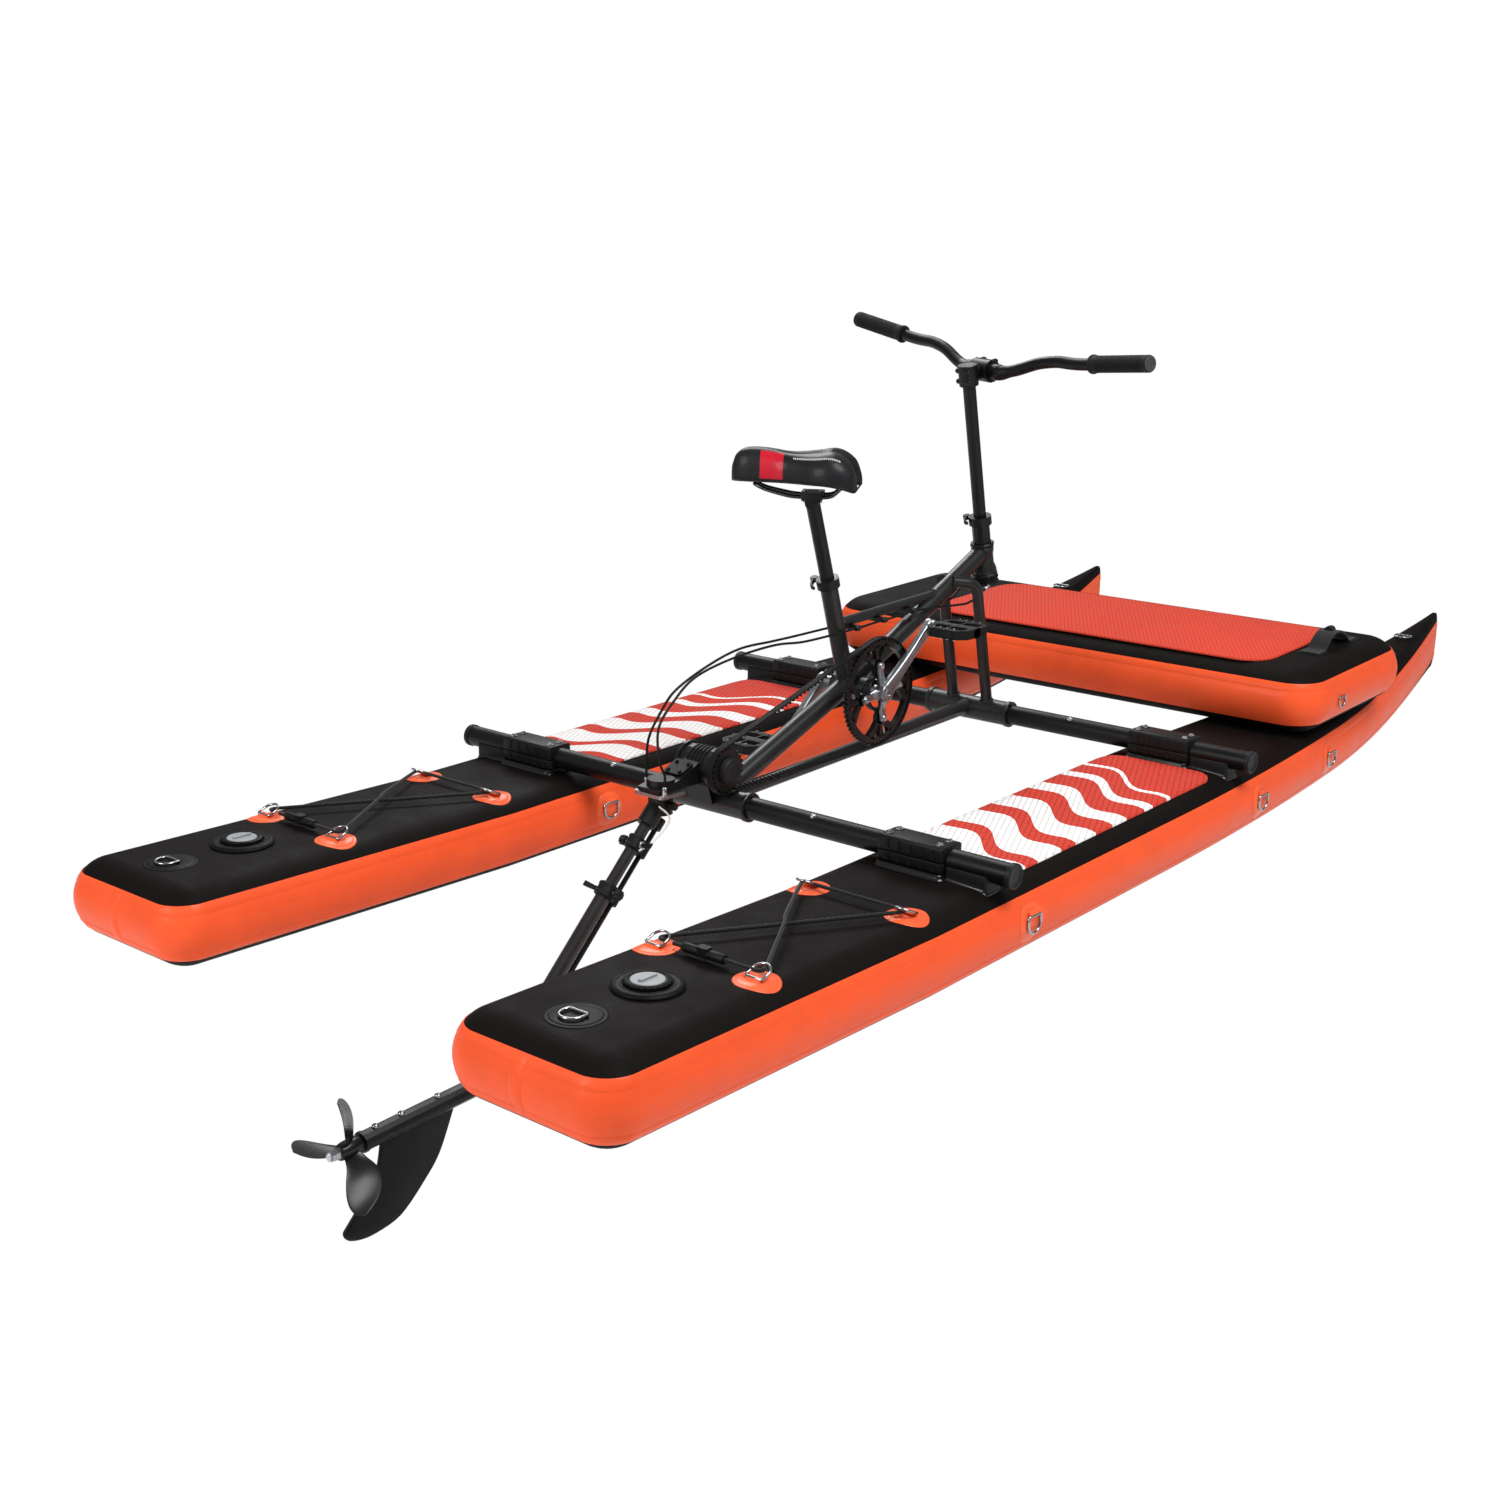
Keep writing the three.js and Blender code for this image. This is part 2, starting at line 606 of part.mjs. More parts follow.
// A ring hanging flat against a hull's side
function sideRing(x, side, offset) {
  const z = hull.thickness / 2 + rockerAt(x);
  const face = offset + side * (hullHalfWidth(x) + patch.thickness + clearance);
  const across = alongX.clone().multiplyScalar(side);
  const origin = vec(x, face, z + patch.ringLength / 2);
  const tab = box(patch.tabWidth, patch.ringBar + 2 * patch.thickness, patch.tabLength, vec(
    x, face + side * patch.ringBar / 2, origin.z - patch.ringBar / 2,
  ));
  return [dRing(origin, across, alongZ.clone().negate()), tab];
}

function hullHalfWidth(x) {
  const share = Math.max(0, x - taperStart) / (hull.length - hull.stemRound - taperStart);
  return hull.stemHalfWidth + (hull.width / 2 - hull.stemHalfWidth) * (1 - share ** 2);
}

function pontoon(side) {
  const offset = side * hull.centreOffset;
  const patches = hullSkin(patch.thickness, offset);
  const reach = hull.thickness;
  const deckDisc = (x, y, radius) => rod(
    vec(x, y, deckHeight(x) - sideRadius), vec(x, y, deckHeight(x) + reach), radius, radius, sides.patch,
  );
  const sideDisc = (x, to) => rod(
    vec(x, offset + to * deckHalfFlat / 2, hull.thickness / 2 + rockerAt(x)),
    vec(x, offset + to * hull.width, hull.thickness / 2 + rockerAt(x)), patch.sideRadius, patch.sideRadius, sides.patch,
  );
  const discs = [
    deckDisc(fitting.sternRing, offset, patch.sternRadius),
    deckDisc(fitting.bowRing, offset, patch.deckRadius / 2),
    ...fitting.outerSide.map((x) => sideDisc(x, side)),
    sideDisc(fitting.innerSide, -side),
  ];
  const rings = [deckRing(fitting.sternRing, offset, -1), deckRing(fitting.bowRing, offset, -1)];
  for (const [x, heading] of [[fitting.lashRear, 1], [fitting.lashFront, -1]]) {
    for (const to of [-1, 1]) {
      discs.push(deckDisc(x, offset + to * fitting.lashHalfSpacing, patch.deckRadius));
      rings.push(deckRing(x, offset + to * fitting.lashHalfSpacing, heading));
    }
  }
  fitting.outerSide.forEach((x) => rings.push(sideRing(x, side, offset)));
  rings.push(sideRing(fitting.innerSide, -side, offset));
  return join([hullSkin(0, offset), ...discs.map((disc) => common(patches, disc)), ...rings.flat()]);
}

function valveCap(side) {
  const seat = vec(fitting.valve, side * hull.centreOffset, deckHeight(fitting.valve) + clearance);
  const body = turned([
    [0, 0], [valve.radius, 0], [valve.radius, valve.height / 2], [valve.radius - valve.rimWidth / 2, valve.height],
    [valve.radius - valve.rimWidth, valve.height], [valve.capRadius, valve.height / 2],
    [valve.capRadius - valve.gripHeight / 2, valve.height + valve.capHeight], [0, valve.height + valve.capHeight],
  ], seat, alongZ, sides.wheel);
  const grip = box(2 * valve.capRadius - valve.gripWidth, valve.gripWidth, 2 * valve.gripHeight, vec(
    seat.x, seat.y, seat.z + valve.height + valve.capHeight,
  ));
  return join([body, grip]);
}

// Elastic lashing: a cross between four rings and two runs athwart, knotted at a toggle
function lashing(side) {
  const offset = side * hull.centreOffset;
  const height = deckHeight(fitting.lashRear) + patch.thickness + patch.ringBar + lash.radius + 2 * clearance;
  const hook = patch.ringLength - patch.tabLength;
  const [aft, fore] = [fitting.lashRear + hook, fitting.lashFront - hook];
  const half = fitting.lashHalfSpacing;
  const at = (x, y, level = 0) => vec(x, offset + y, height + level * 2 * (lash.radius + clearance));
  const [turnX, turnY] = [lash.turnX * lash.radius, lash.turnY * lash.radius];
  const route = [
    at(aft - turnX, half - turnY), at(aft, half, 0), at((aft + fore) / 2, 0, 0), at(fore, -half, 0),
    at(fore + turnX, -half + turnY, 0), at(fore + turnX, 0, 0), at(fore + turnX, half - turnY, 0),
    at(fore, half, lash.overRing), at((aft + fore) / 2 + turnX, turnY, lash.overCross),
    at((aft + fore) / 2 - turnX, -turnY, lash.overCross),
    at(aft, -half, lash.overRing), at(aft - turnX, -half + turnY, 0), at(aft - turnX, 0, 0),
    at(aft - turnX, half - 3 * turnY, 0),
  ];
  const cord = cordAlong(route, lash.radius, sides.cord, lash.steps, lash.tension);
  const toggle = rod(
    at(aft - turnX, -lash.toggleLength / 2, 0), at(aft - turnX, lash.toggleLength / 2, 0), lash.toggleRadius,
    lash.toggleRadius * lash.toggleTaper, sides.small,
  );
  return join([cord, toggle]);
}

function deckPad(side) {
  const offset = side * hull.centreOffset;
  const rear = bar.rear + bracket.plateHalfWidth + pad.rearGap;
  const front = bar.front - bracket.plateHalfWidth - pad.gap;
  const outline = roundedOutline((front - rear) / 2, pad.halfWidth, pad.cornerRadius);
  const origin = vec((rear + front) / 2, offset, hull.thickness / 2);
  const prism = plate(outline, [], hull.width, origin, alongX, alongY);
  const slab = common(prism, hullSkin(clearance + pad.thickness, offset));
  return cut(slab, [hullSkin(clearance, offset)]);
}

// Crossbars and their brackets

function barHeight(x) {
  return deckHeight(x) + bar.aboveDeck;
}

function crossbar(x) {
  const end = hull.centreOffset + bar.overHull;
  const shoulder = end - bar.capLength;
  const dish = end - bar.capDish;
  const rimInner = bar.capRadius - bar.capRim;
  const profile = [
    [0, -dish], [rimInner, -dish], [rimInner, -end], [bar.capRadius, -end], [bar.capRadius, -shoulder],
    [bar.radius, -shoulder], [bar.radius, shoulder], [bar.capRadius, shoulder], [bar.capRadius, end],
    [rimInner, end], [rimInner, dish], [0, dish],
  ];
  return turned(profile, vec(x, 0, barHeight(x)), alongY);
}

function hullBracket(x, side) {
  const offset = side * hull.centreOffset;
  const centre = offset - side * bracket.centreFromHull;
  const top = barHeight(x) + bar.radius + bracket.cover;
  const bottom = deckHeight(x) - sideRadius / 2;
  const blockOutline = roundedOutline(bracket.halfWidth, (top - bottom) / 2, bracket.cover);
  const block = plate(
    blockOutline, [], bracket.length, vec(x, centre - bracket.length / 2, (top + bottom) / 2),
    alongX.clone().negate(), alongZ,
  );
  const plateTop = deckHeight(x) + bracket.plateThickness;
  const base = box(2 * bracket.plateHalfWidth, bracket.length, plateTop - bottom, vec(
    x, centre, (plateTop + bottom) / 2,
  ));
  const footTop = barHeight(x);
  const footFrom = centre + side * bracket.footStart;
  const foot = box(2 * bracket.footHalfWidth, bracket.footLength + overrun, footTop - bottom, vec(
    x, footFrom + side * (bracket.footLength - overrun) / 2, (footTop + bottom) / 2,
  ));
  const bolts = [];
  for (const across of [-1, 1]) {
    for (const along of [-1, 1]) {
      const seat = vec(
        x + across * (bracket.halfWidth - bracket.boltInset), centre + along * (bracket.length / 2 - bracket.boltInset),
        top - overrun,
      );
      bolts.push(rod(seat, seat.clone().setZ(top + bracket.boltHeight), bracket.boltRadius, bracket.boltRadius,
        sides.small));
    }
  }
  const bore = rod(
    vec(x, centre - bracket.length * 2, barHeight(x)), vec(x, centre + bracket.length * 2, barHeight(x)),
    bar.radius + clearance,
  );
  return cut(join([block, base, foot, ...bolts]), [bore, hullSkin(clearance, offset)]);
}

// The inflatable cross float lies across both decks, pitched to follow them

const floatFlatRear = float.rear + float.thickness / 2;
const floatFlatFront = float.rear + float.length - float.thickness / 2;
const floatPitch = Math.atan2(
  deckHeight(floatFlatFront) - deckHeight(floatFlatRear), floatFlatFront - floatFlatRear,
);
const floatOrigin = vec(float.rear + float.length / 2, (float.portReach - float.starboardReach) / 2, 0);
floatOrigin.z = (deckHeight(floatFlatRear) + deckHeight(floatFlatFront)) / 2 + clearance + float.thickness / 2;
const floatAcross = vec(Math.cos(floatPitch), 0, Math.sin(floatPitch));
const floatUp = vec(-Math.sin(floatPitch), 0, Math.cos(floatPitch));

function onFloat(x, y, z) {
  return floatOrigin.clone().addScaledVector(floatAcross, x).addScaledVector(alongY, y).addScaledVector(floatUp, z);
}

function crossFloat() {
  const radius = float.thickness / 2;
  const halfY = (float.portReach + float.starboardReach) / 2;
  const rings = [];
  for (let i = 0; i <= float.sideSteps; i += 1) {
    const angle = (-90 + (180 * i) / float.sideSteps) * degree;
    const inset = radius * (1 - Math.cos(angle));
    const corner = Math.max(float.cornerRadius - inset, clearance);
    rings.push(roundedOutline(float.length / 2 - inset, halfY - inset, corner, 5)
      .map((p) => onFloat(p.x, p.y, radius * Math.sin(angle))));
  }
  return cut(loft(rings), boatSides.map(([, side]) => hullSkin(clearance, side * hull.centreOffset)));
}

function floatPad() {
  const halfY = (float.portReach + float.starboardReach) / 2;
  const rear = -float.length / 2 + float.padRearInset;
  const front = float.length / 2 - float.padFrontInset;
  const low = -halfY + float.padStarboardInset;
  const high = halfY - float.padPortInset;
  const outline = roundedOutline((front - rear) / 2, (high - low) / 2, float.padCornerRadius);
  const origin = onFloat((rear + front) / 2, (low + high) / 2, float.thickness / 2 + clearance);
  return plate(outline, [], float.padThickness, origin, floatAcross, alongY);
}

// Webbing carry handle: two feet stuck to the float and an arched strap between them
function floatHandle() {
  const halfY = (float.portReach + float.starboardReach) / 2;
  const y = -halfY + float.padStarboardInset - strap.fromPadEdge - strap.width / 2;
  const level = float.thickness / 2 + clearance;
  const half = strap.span / 2;
  const outline = [];
  const profile = (lift, grow) => Array.from({ length: strap.archSteps + 1 }, (_, i) => {
    const share = i / strap.archSteps;
    const x = -half + strap.span * share;
    return new THREE.Vector2(x * (1 + grow), lift + strap.rise * Math.sin(Math.PI * share) ** strap.archPower);
  });
  outline.push(new THREE.Vector2(-half - strap.footLength, 0));
  outline.push(new THREE.Vector2(-half, 0));
  outline.push(...profile(0, 0).slice(1, -1));
  outline.push(new THREE.Vector2(half, 0), new THREE.Vector2(half + strap.footLength, 0));
  outline.push(new THREE.Vector2(half + strap.footLength, strap.thickness));
  outline.push(...profile(strap.thickness, strap.outerGrow).reverse());
  outline.push(new THREE.Vector2(-half - strap.footLength, strap.thickness));
  const origin = onFloat(float.padFrontInset / 2, y + strap.width / 2, level);
  return plate(outline, [], strap.width, origin, floatAcross, floatUp);
}

for (const [name, side] of boatSides) {
  place(`${name}_pontoon`, pontoon(side), orangeVinyl());
  place(`${name}_valve`, valveCap(side), greyPlastic());
  place(`${name}_lashing`, lashing(side), blackRubber());
  place(`${name}_deck_pad`, deckPad(side), redFoam());
  place(`${name}_rear_bracket`, hullBracket(bar.rear, side), blackPlastic());
  place(`${name}_front_bracket`, hullBracket(bar.front, side), blackPlastic());
}
place('cross_float', crossFloat(), orangeVinyl());
place('float_pad', floatPad(), redFoam());
place('float_handle', floatHandle(), blackRubber());
place('rear_crossbar', crossbar(bar.rear), blackPaint());
place('front_crossbar', crossbar(bar.front), blackPaint());

// Places in the plane midway between the hulls

function inPlane(spot) {
  return vec(spot.x, 0, spot.z);
}

const axisUp = vec(-Math.sin(steering.tilt * degree), 0, Math.cos(steering.tilt * degree));
const seatUp = vec(-Math.sin(seatTube.angle * degree), 0, Math.cos(seatTube.angle * degree));
const crankCentre = inPlane(crankAxis);
const rearHub = vec(bar.rear, 0, barHeight(bar.rear));
const frontHub = vec(bar.front, 0, barHeight(bar.front));

function onSteeringAxis(distance) {
  return inPlane(steering.headMiddle).addScaledVector(axisUp, distance);
}

function onSeatAxis(distance) {
  return inPlane(seatTube.top).addScaledVector(seatUp, distance);
}

// Welded frame: head, spar, seat tube, top tube, stays, front legs and the two sleeves on the crossbars

function headShell() {
  const half = head.halfLength;
  return turned([
    [0, -half], [head.lowerRadius, -half], [head.lowerRadius, -half * head.lowerFlareShare],
    [head.radius, -half * head.waistLowShare],
    [head.radius, half * head.waistHighShare], [head.topRadius, half * head.topFlareShare], [head.topRadius, half],
    [0, half],
  ], onSteeringAxis(0), axisUp);
}

function hubSleeve(centre, halfLength) {
  const edge = halfLength - sleeve.collarLength;
  return turned([
    [0, -halfLength], [sleeve.collarRadius, -halfLength], [sleeve.collarRadius, -edge], [sleeve.radius, -edge],
    [sleeve.radius, edge], [sleeve.collarRadius, edge], [sleeve.collarRadius, halfLength], [0, halfLength],
  ], centre, alongY);
}

function frontLeg(side) {
  const top = inPlane(frameJoint.legHead).setY(side * frameJoint.legHeadHalfSpacing);
  const corner = inPlane(frameJoint.legBend).setY(side * frameJoint.legHalfSpacing);
  const foot = frontHub.clone().setY(side * frameJoint.legHalfSpacing);
  return tubeThrough(bentPoints(top, corner, foot, frameJoint.legBendRadius, 3), tubeRadius.leg);
}

const topTubeRear = inPlane(frameJoint.topRear);
const topTubeFront = inPlane(frameJoint.topFront);

function guideCentre(share) {
  return topTubeRear.clone().lerp(topTubeFront, share).setZ(
    THREE.MathUtils.lerp(frameJoint.topRear.z, frameJoint.topFront.z, share) - guide.drop,
  );
}

function weldedFrame() {
  const foot = inPlane(frameJoint.sparFoot);
  const spar = [onSteeringAxis(head.halfLength * frameJoint.sparHeadShare), inPlane(frameJoint.sparKink), foot];
  const lowerFront = frontHub.clone().setZ(frontHub.z + frameJoint.lowerFrontRise);
  const lowerRear = rearHub.clone().setZ(rearHub.z - frameJoint.lowerRearDrop);
  const shell = bottomBracket.halfWidth;
  const pieces = [
    headShell(),
    tubeThrough(spar, tubeRadius.spar),
    rod(foot, rearHub.clone().setZ(rearHub.z - frameJoint.stayRearDrop), tubeRadius.chainstay),
    rod(foot, onSeatAxis(0), tubeRadius.seat),
    rod(topTubeRear, topTubeFront, tubeRadius.top),
    rod(lowerFront, lowerRear, tubeRadius.lowerFront, tubeRadius.lowerRear),
    frontLeg(-1),
    frontLeg(1),
    hubSleeve(rearHub, sleeve.rearHalfLength),
    hubSleeve(frontHub, sleeve.frontHalfLength),
    rod(crankCentre.clone().setY(-shell), crankCentre.clone().setY(shell), bottomBracket.radius),
    ...guide.stationShares.map((share) => box(guide.length, 2 * guide.halfWidth, guide.height, guideCentre(share))),
  ];
  const reach = 2 * sleeve.frontHalfLength;
  const bores = [
    rod(onSteeringAxis(head.halfLength), onSteeringAxis(reach), 2 * head.topRadius),
    rod(onSteeringAxis(-reach), onSteeringAxis(reach), looseBore(steerer.radius)),
    rod(onSeatAxis(-seatTube.boreDepth), onSeatAxis(overrun), seatTube.bore),
    rod(crankCentre.clone().setY(-reach), crankCentre.clone().setY(reach), bottomBracket.bore),
    rod(rearHub.clone().setY(-reach), rearHub.clone().setY(reach), bar.radius + clearance),
    rod(frontHub.clone().setY(-reach), frontHub.clone().setY(reach), bar.radius + clearance),
  ];
  for (const share of guide.stationShares) {
    for (const side of [-1, 1]) {
      const middle = guideCentre(share).setY(side * guide.spacing);
      const along = alongX.clone().multiplyScalar(guide.length);
      bores.push(rod(middle.clone().sub(along), middle.clone().add(along), guide.bore, guide.bore, sides.small));
    }
  }
  return cut(join(pieces), bores);
}

place('bike_frame', weldedFrame(), satinPaint());

// Quick-release collars: a split band with two lugs and a cross bolt, and a cam lever at the bolt's end

function clampFrame(axis, towards) {
  const out = towards.clone().addScaledVector(axis, -towards.dot(axis)).normalize();
  return { axis, out, across: axis.clone().cross(out) };
}

function splitCollar(centre, frame, inner) {
  const outer = inner + collar.wall;
  const half = collar.height / 2;
  const low = centre.clone().addScaledVector(frame.axis, -half);
  const band = rod(low, centre.clone().addScaledVector(frame.axis, half), outer);
  const turn = new THREE.Matrix4().makeBasis(frame.out, frame.across, frame.axis);
  const block = (reach, width, height, from) => {
    const geometry = new THREE.BoxGeometry(reach, width, height).translate(from + reach / 2, 0, 0);
    return geometry.applyMatrix4(turn).translate(centre.x, centre.y, centre.z);
  };
  const lugs = block(collar.lugReach + collar.wall, collar.lugWidth, collar.height, inner);
  const slot = block(collar.lugReach * 2 + collar.wall, collar.slot, collar.height + overrun, inner - overrun);
  const bore = rod(
    centre.clone().addScaledVector(frame.axis, -collar.height), centre.clone().addScaledVector(frame.axis, collar.height),
    inner,
  );
  const boltAt = centre.clone().addScaledVector(frame.out, outer + collar.lugReach / 2);
  const bolt = rod(
    boltAt.clone().addScaledVector(frame.across, -collar.lugWidth / 2 - collar.boltRadius),
    boltAt.clone().addScaledVector(frame.across, collar.lugWidth / 2 + collar.boltOverhang), collar.boltRadius,
    collar.boltRadius, sides.small,
  );
  return join([cut(join([band, lugs]), [bore, slot]), bolt]);
}

function camLever(centre, frame, inner) {
  const hub = centre.clone()
    .addScaledVector(frame.out, inner + collar.wall + collar.lugReach / 2)
    .addScaledVector(frame.across, collar.lugWidth / 2 + collar.boltOverhang + lever.hubRadius + clearance);
  const at = (out, across) => hub.clone().addScaledVector(frame.out, out).addScaledVector(frame.across, across);
  const barrel = rod(
    hub.clone().addScaledVector(frame.axis, -lever.width / 2), hub.clone().addScaledVector(frame.axis, lever.width / 2),
    lever.hubRadius,
  );
  const arm = tubeThrough(
    lever.armShares.map(([back, out]) => at(-lever.length * back, lever.curl * out)), lever.radius, sides.cord,
  );
  return join([barrel, arm]);
}

const seatClampFrame = clampFrame(seatUp, towardsBow);
const seatCollarInner = tubeRadius.seat + clearance;
const seatCollarCentre = onSeatAxis(-collar.height / 2);
place('seat_collar', splitCollar(seatCollarCentre, seatClampFrame, seatCollarInner), blackPaint());
place('seat_collar_lever', camLever(seatCollarCentre, seatClampFrame, seatCollarInner), blackPaint());

// Seatpost with the cradle barrel on its head

const postTop = onSeatAxis(post.exposed);
const noseward = vec(Math.cos(saddle.yaw * degree), Math.sin(saddle.yaw * degree), 0);
const seatLeft = alongZ.clone().cross(noseward);

function onSaddle(along, left, up) {
  return postTop.clone().addScaledVector(noseward, along).addScaledVector(seatLeft, left).addScaledVector(alongZ, up);
}

function seatPost() {
  const shaft = rod(onSeatAxis(-post.insertion), postTop, post.radius);
  const barrel = rod(onSaddle(0, -seatClamp.barrelHalf, 0), onSaddle(0, seatClamp.barrelHalf, 0), seatClamp.barrelRadius);
  return join([shaft, barrel]);
}

const clampBottom = seatClamp.barrelRadius * seatClamp.bottomShare;

function railPath() {
  const points = [];
  const half = rail.halfSpacing;
  const nose = rail.noseHalfSpacing;
  const level = clampBottom + rail.level + rail.radius;
  const top = saddle.underside - saddle.baseDepth - rail.radius - rail.gap;
  for (const side of [-1, 1]) {
    const run = [
      onSaddle(-rail.aftReach, side * half, top),
      onSaddle(-rail.flatAft - rail.seat, side * half, level + rail.radius),
      onSaddle(-rail.flatAft / 2, side * half, level),
      onSaddle(rail.flatFore / 2, side * half, level),
      onSaddle(rail.flatFore, side * half * rail.pinchShare, level + rail.radius * rail.pinchRise),
      onSaddle(rail.foreReach * rail.climbShare, side * (half + nose) / 2, top - rail.radius * rail.climbDrop),
      onSaddle(rail.foreReach, side * nose, top),
    ];
    points.push(...(side < 0 ? run : run.reverse()));
  }
  return points;
}

function saddleRails() {
  return cordAlong(railPath(), rail.radius, sides.cord, rail.steps, rail.tension);
}

function saddleClamp() {
  const level = clampBottom + rail.level + rail.radius;
  const turn = new THREE.Matrix4().makeBasis(noseward, seatLeft, alongZ);
  const base = onSaddle(0, 0, level);
  const block = new THREE.BoxGeometry(seatClamp.length, seatClamp.width, seatClamp.height)
    .applyMatrix4(turn).translate(base.x, base.y, base.z);
  const bolts = [-1, 1].map((end) => rod(
    onSaddle(end * seatClamp.length * seatClamp.boltShare, 0, level), onSaddle(
      end * seatClamp.length * seatClamp.boltShare, 0, level + seatClamp.height / 2 + seatClamp.boltHead,
    ), seatClamp.boltRadius, seatClamp.boltRadius, sides.small,
  ));
  const grooves = [-1, 1].map((side) => rod(
    onSaddle(-seatClamp.length, side * rail.halfSpacing, level),
    onSaddle(seatClamp.length, side * rail.halfSpacing, level), seatClamp.grooveRadius,
    seatClamp.grooveRadius, sides.cord,
  ));
  const cradle = rod(
    onSaddle(0, -seatClamp.width, 0), onSaddle(0, seatClamp.width, 0), seatClamp.barrelRadius + clearance,
  );
  const tube = rod(onSeatAxis(0), onSeatAxis(post.exposed + seatClamp.height), post.radius + clearance);
  return cut(join([block, ...bolts]), [...grooves, cradle, tube]);
}

// Value of a shares table at a place, joined smoothly
function sharesAt(table, share) {
  const last = table.length - 1;
  let i = 0;
  while (i < last - 1 && table[i + 1][0] < share) i += 1;
  const [[from, low], [to, high]] = [table[i], table[i + 1]];
  return THREE.MathUtils.lerp(low, high, (share - from) / (to - from));
}

// Comfort saddle: a lofted cushion with two tail lobes, a centre channel and a blunt nose
function saddleCushion() {
  const rings = [];
  for (let i = 0; i <= saddle.stations; i += 1) {
    const share = (1 - Math.cos(Math.PI * (i / saddle.stations))) / 2;
    const half = saddle.halfWidth * sharesAt(saddleWidthShares, share);
    const height = saddle.height * sharesAt(saddleHeightShares, share);
    const tailFade = Math.max(0, 1 - share / saddle.lobeShare);
    const notchFade = Math.max(0, 1 - share / saddle.notchShare);
    const channelFade = THREE.MathUtils.smoothstep(saddle.channelEndShare - share, 0, saddle.channelFadeShare);
    const section = [];
    for (let k = 0; k < saddle.around; k += 1) {
      const angle = (2 * Math.PI * k) / saddle.around;
      const [c, n] = [Math.cos(angle), Math.sin(angle)];
      const left = half * Math.sign(c) * Math.abs(c) ** saddle.flank;
      const spread = left / (saddle.halfWidth * saddle.dome);
      const groove = Math.exp(-((left / saddle.channelHalfWidth) ** 2));
      const notch = saddle.tailNotch * notchFade * Math.exp(-((left / (2 * saddle.channelHalfWidth)) ** 2));
      const top = height * n ** saddle.dome - saddle.channelDepth * groove * channelFade;
      const bottom = saddle.baseDepth * n;
      const up = (n > 0 ? top : bottom) - saddle.lobeDrop * tailFade ** 2 * Math.min(1, spread ** 2);
      section.push(onSaddle(-saddle.clampFromTail + saddle.length * share + notch, left, saddle.underside + up));
    }
    rings.push(section);
  }
  return loft(rings);
}

place('seatpost', seatPost(), blackPaint());
place('saddle_clamp', saddleClamp(), forgedSilver());
place('saddle_rails', saddleRails(), polishedSteel());
place('saddle', saddleCushion(), blackRubber());

// Headset, steerer with its sleeve, and the cable drum below the head

const cupStart = head.halfLength + clearance;
const sleeveStart = cupStart + head.cupHeight + clearance;
const steererTop = sleeveStart + steerer.sleeveLength;
const drumStart = -sleeveStart;
const steererBottom = drumStart - drum.height - clearance;

function headsetCup(direction) {
  const outer = (direction > 0 ? head.topRadius : head.lowerRadius) + head.cupLip;
  const inner = looseBore(steerer.radius);
  return bored([
    [inner, 0], [outer - head.cupLip, 0], [outer, head.cupLip], [outer, head.cupHeight - head.cupLip],
    [outer - head.cupLip, head.cupHeight], [inner, head.cupHeight],
  ], onSteeringAxis(direction * cupStart), axisUp.clone().multiplyScalar(direction));
}

function steererTube() {
  const bore = riser.radius + clearance;
  return bored([
    [bore, steererBottom], [steerer.radius, steererBottom], [steerer.radius, sleeveStart],
    [steerer.sleeveRadius, sleeveStart], [steerer.sleeveRadius, steererTop], [bore, steererTop],
  ], onSteeringAxis(0), axisUp);
}

function cableDrum() {
  const inner = steerer.radius + clearance;
  const shoulder = drum.radius - drum.groove;
  return bored([
    [inner, 0], [drum.radius, 0], [drum.radius, drum.lip], [shoulder, drum.lip + drum.groove / 2],
    [shoulder, drum.height - drum.lip - drum.groove / 2], [drum.radius, drum.height - drum.lip],
    [drum.radius, drum.height], [inner, drum.height],
  ], onSteeringAxis(drumStart - drum.height), axisUp);
}

place('upper_headset_cup', headsetCup(1), blackPaint());
place('lower_headset_cup', headsetCup(-1), blackPaint());
place('steerer', steererTube(), blackPaint());
place('cable_drum', cableDrum(), blackPlastic());

const riserClampFrame = clampFrame(axisUp, towardsBow);
const riserCollarInner = steerer.sleeveRadius + clearance;
const riserCollarCentre = onSteeringAxis(steererTop - collar.height / 2);
place('riser_collar', splitCollar(riserCollarCentre, riserClampFrame, riserCollarInner), blackPaint());
place('riser_collar_lever', camLever(riserCollarCentre, riserClampFrame, riserCollarInner), blackPaint());

// Riser, stem and handlebar, turned a little to starboard about the steering axis

const riserTop = steererTop + riser.exposed;
const stemLevel = riserTop - stem.clampHeight / 2;
const aheadOfHead = vec(Math.cos(steering.tilt * degree), 0, Math.sin(steering.tilt * degree));
const turnAngle = handlebar.turned * degree;
const barPortward = alongY.clone().multiplyScalar(Math.cos(turnAngle)).addScaledVector(aheadOfHead, Math.sin(turnAngle));
const barForward = aheadOfHead.clone().multiplyScalar(Math.cos(turnAngle)).addScaledVector(alongY, -Math.sin(turnAngle));

function onStem(forward, port, up) {
  return onSteeringAxis(stemLevel + up).addScaledVector(barForward, forward).addScaledVector(barPortward, port);
}

function riserTube() {
  return rod(onSteeringAxis(steererTop - riser.insertion), onSteeringAxis(riserTop), riser.radius);
}

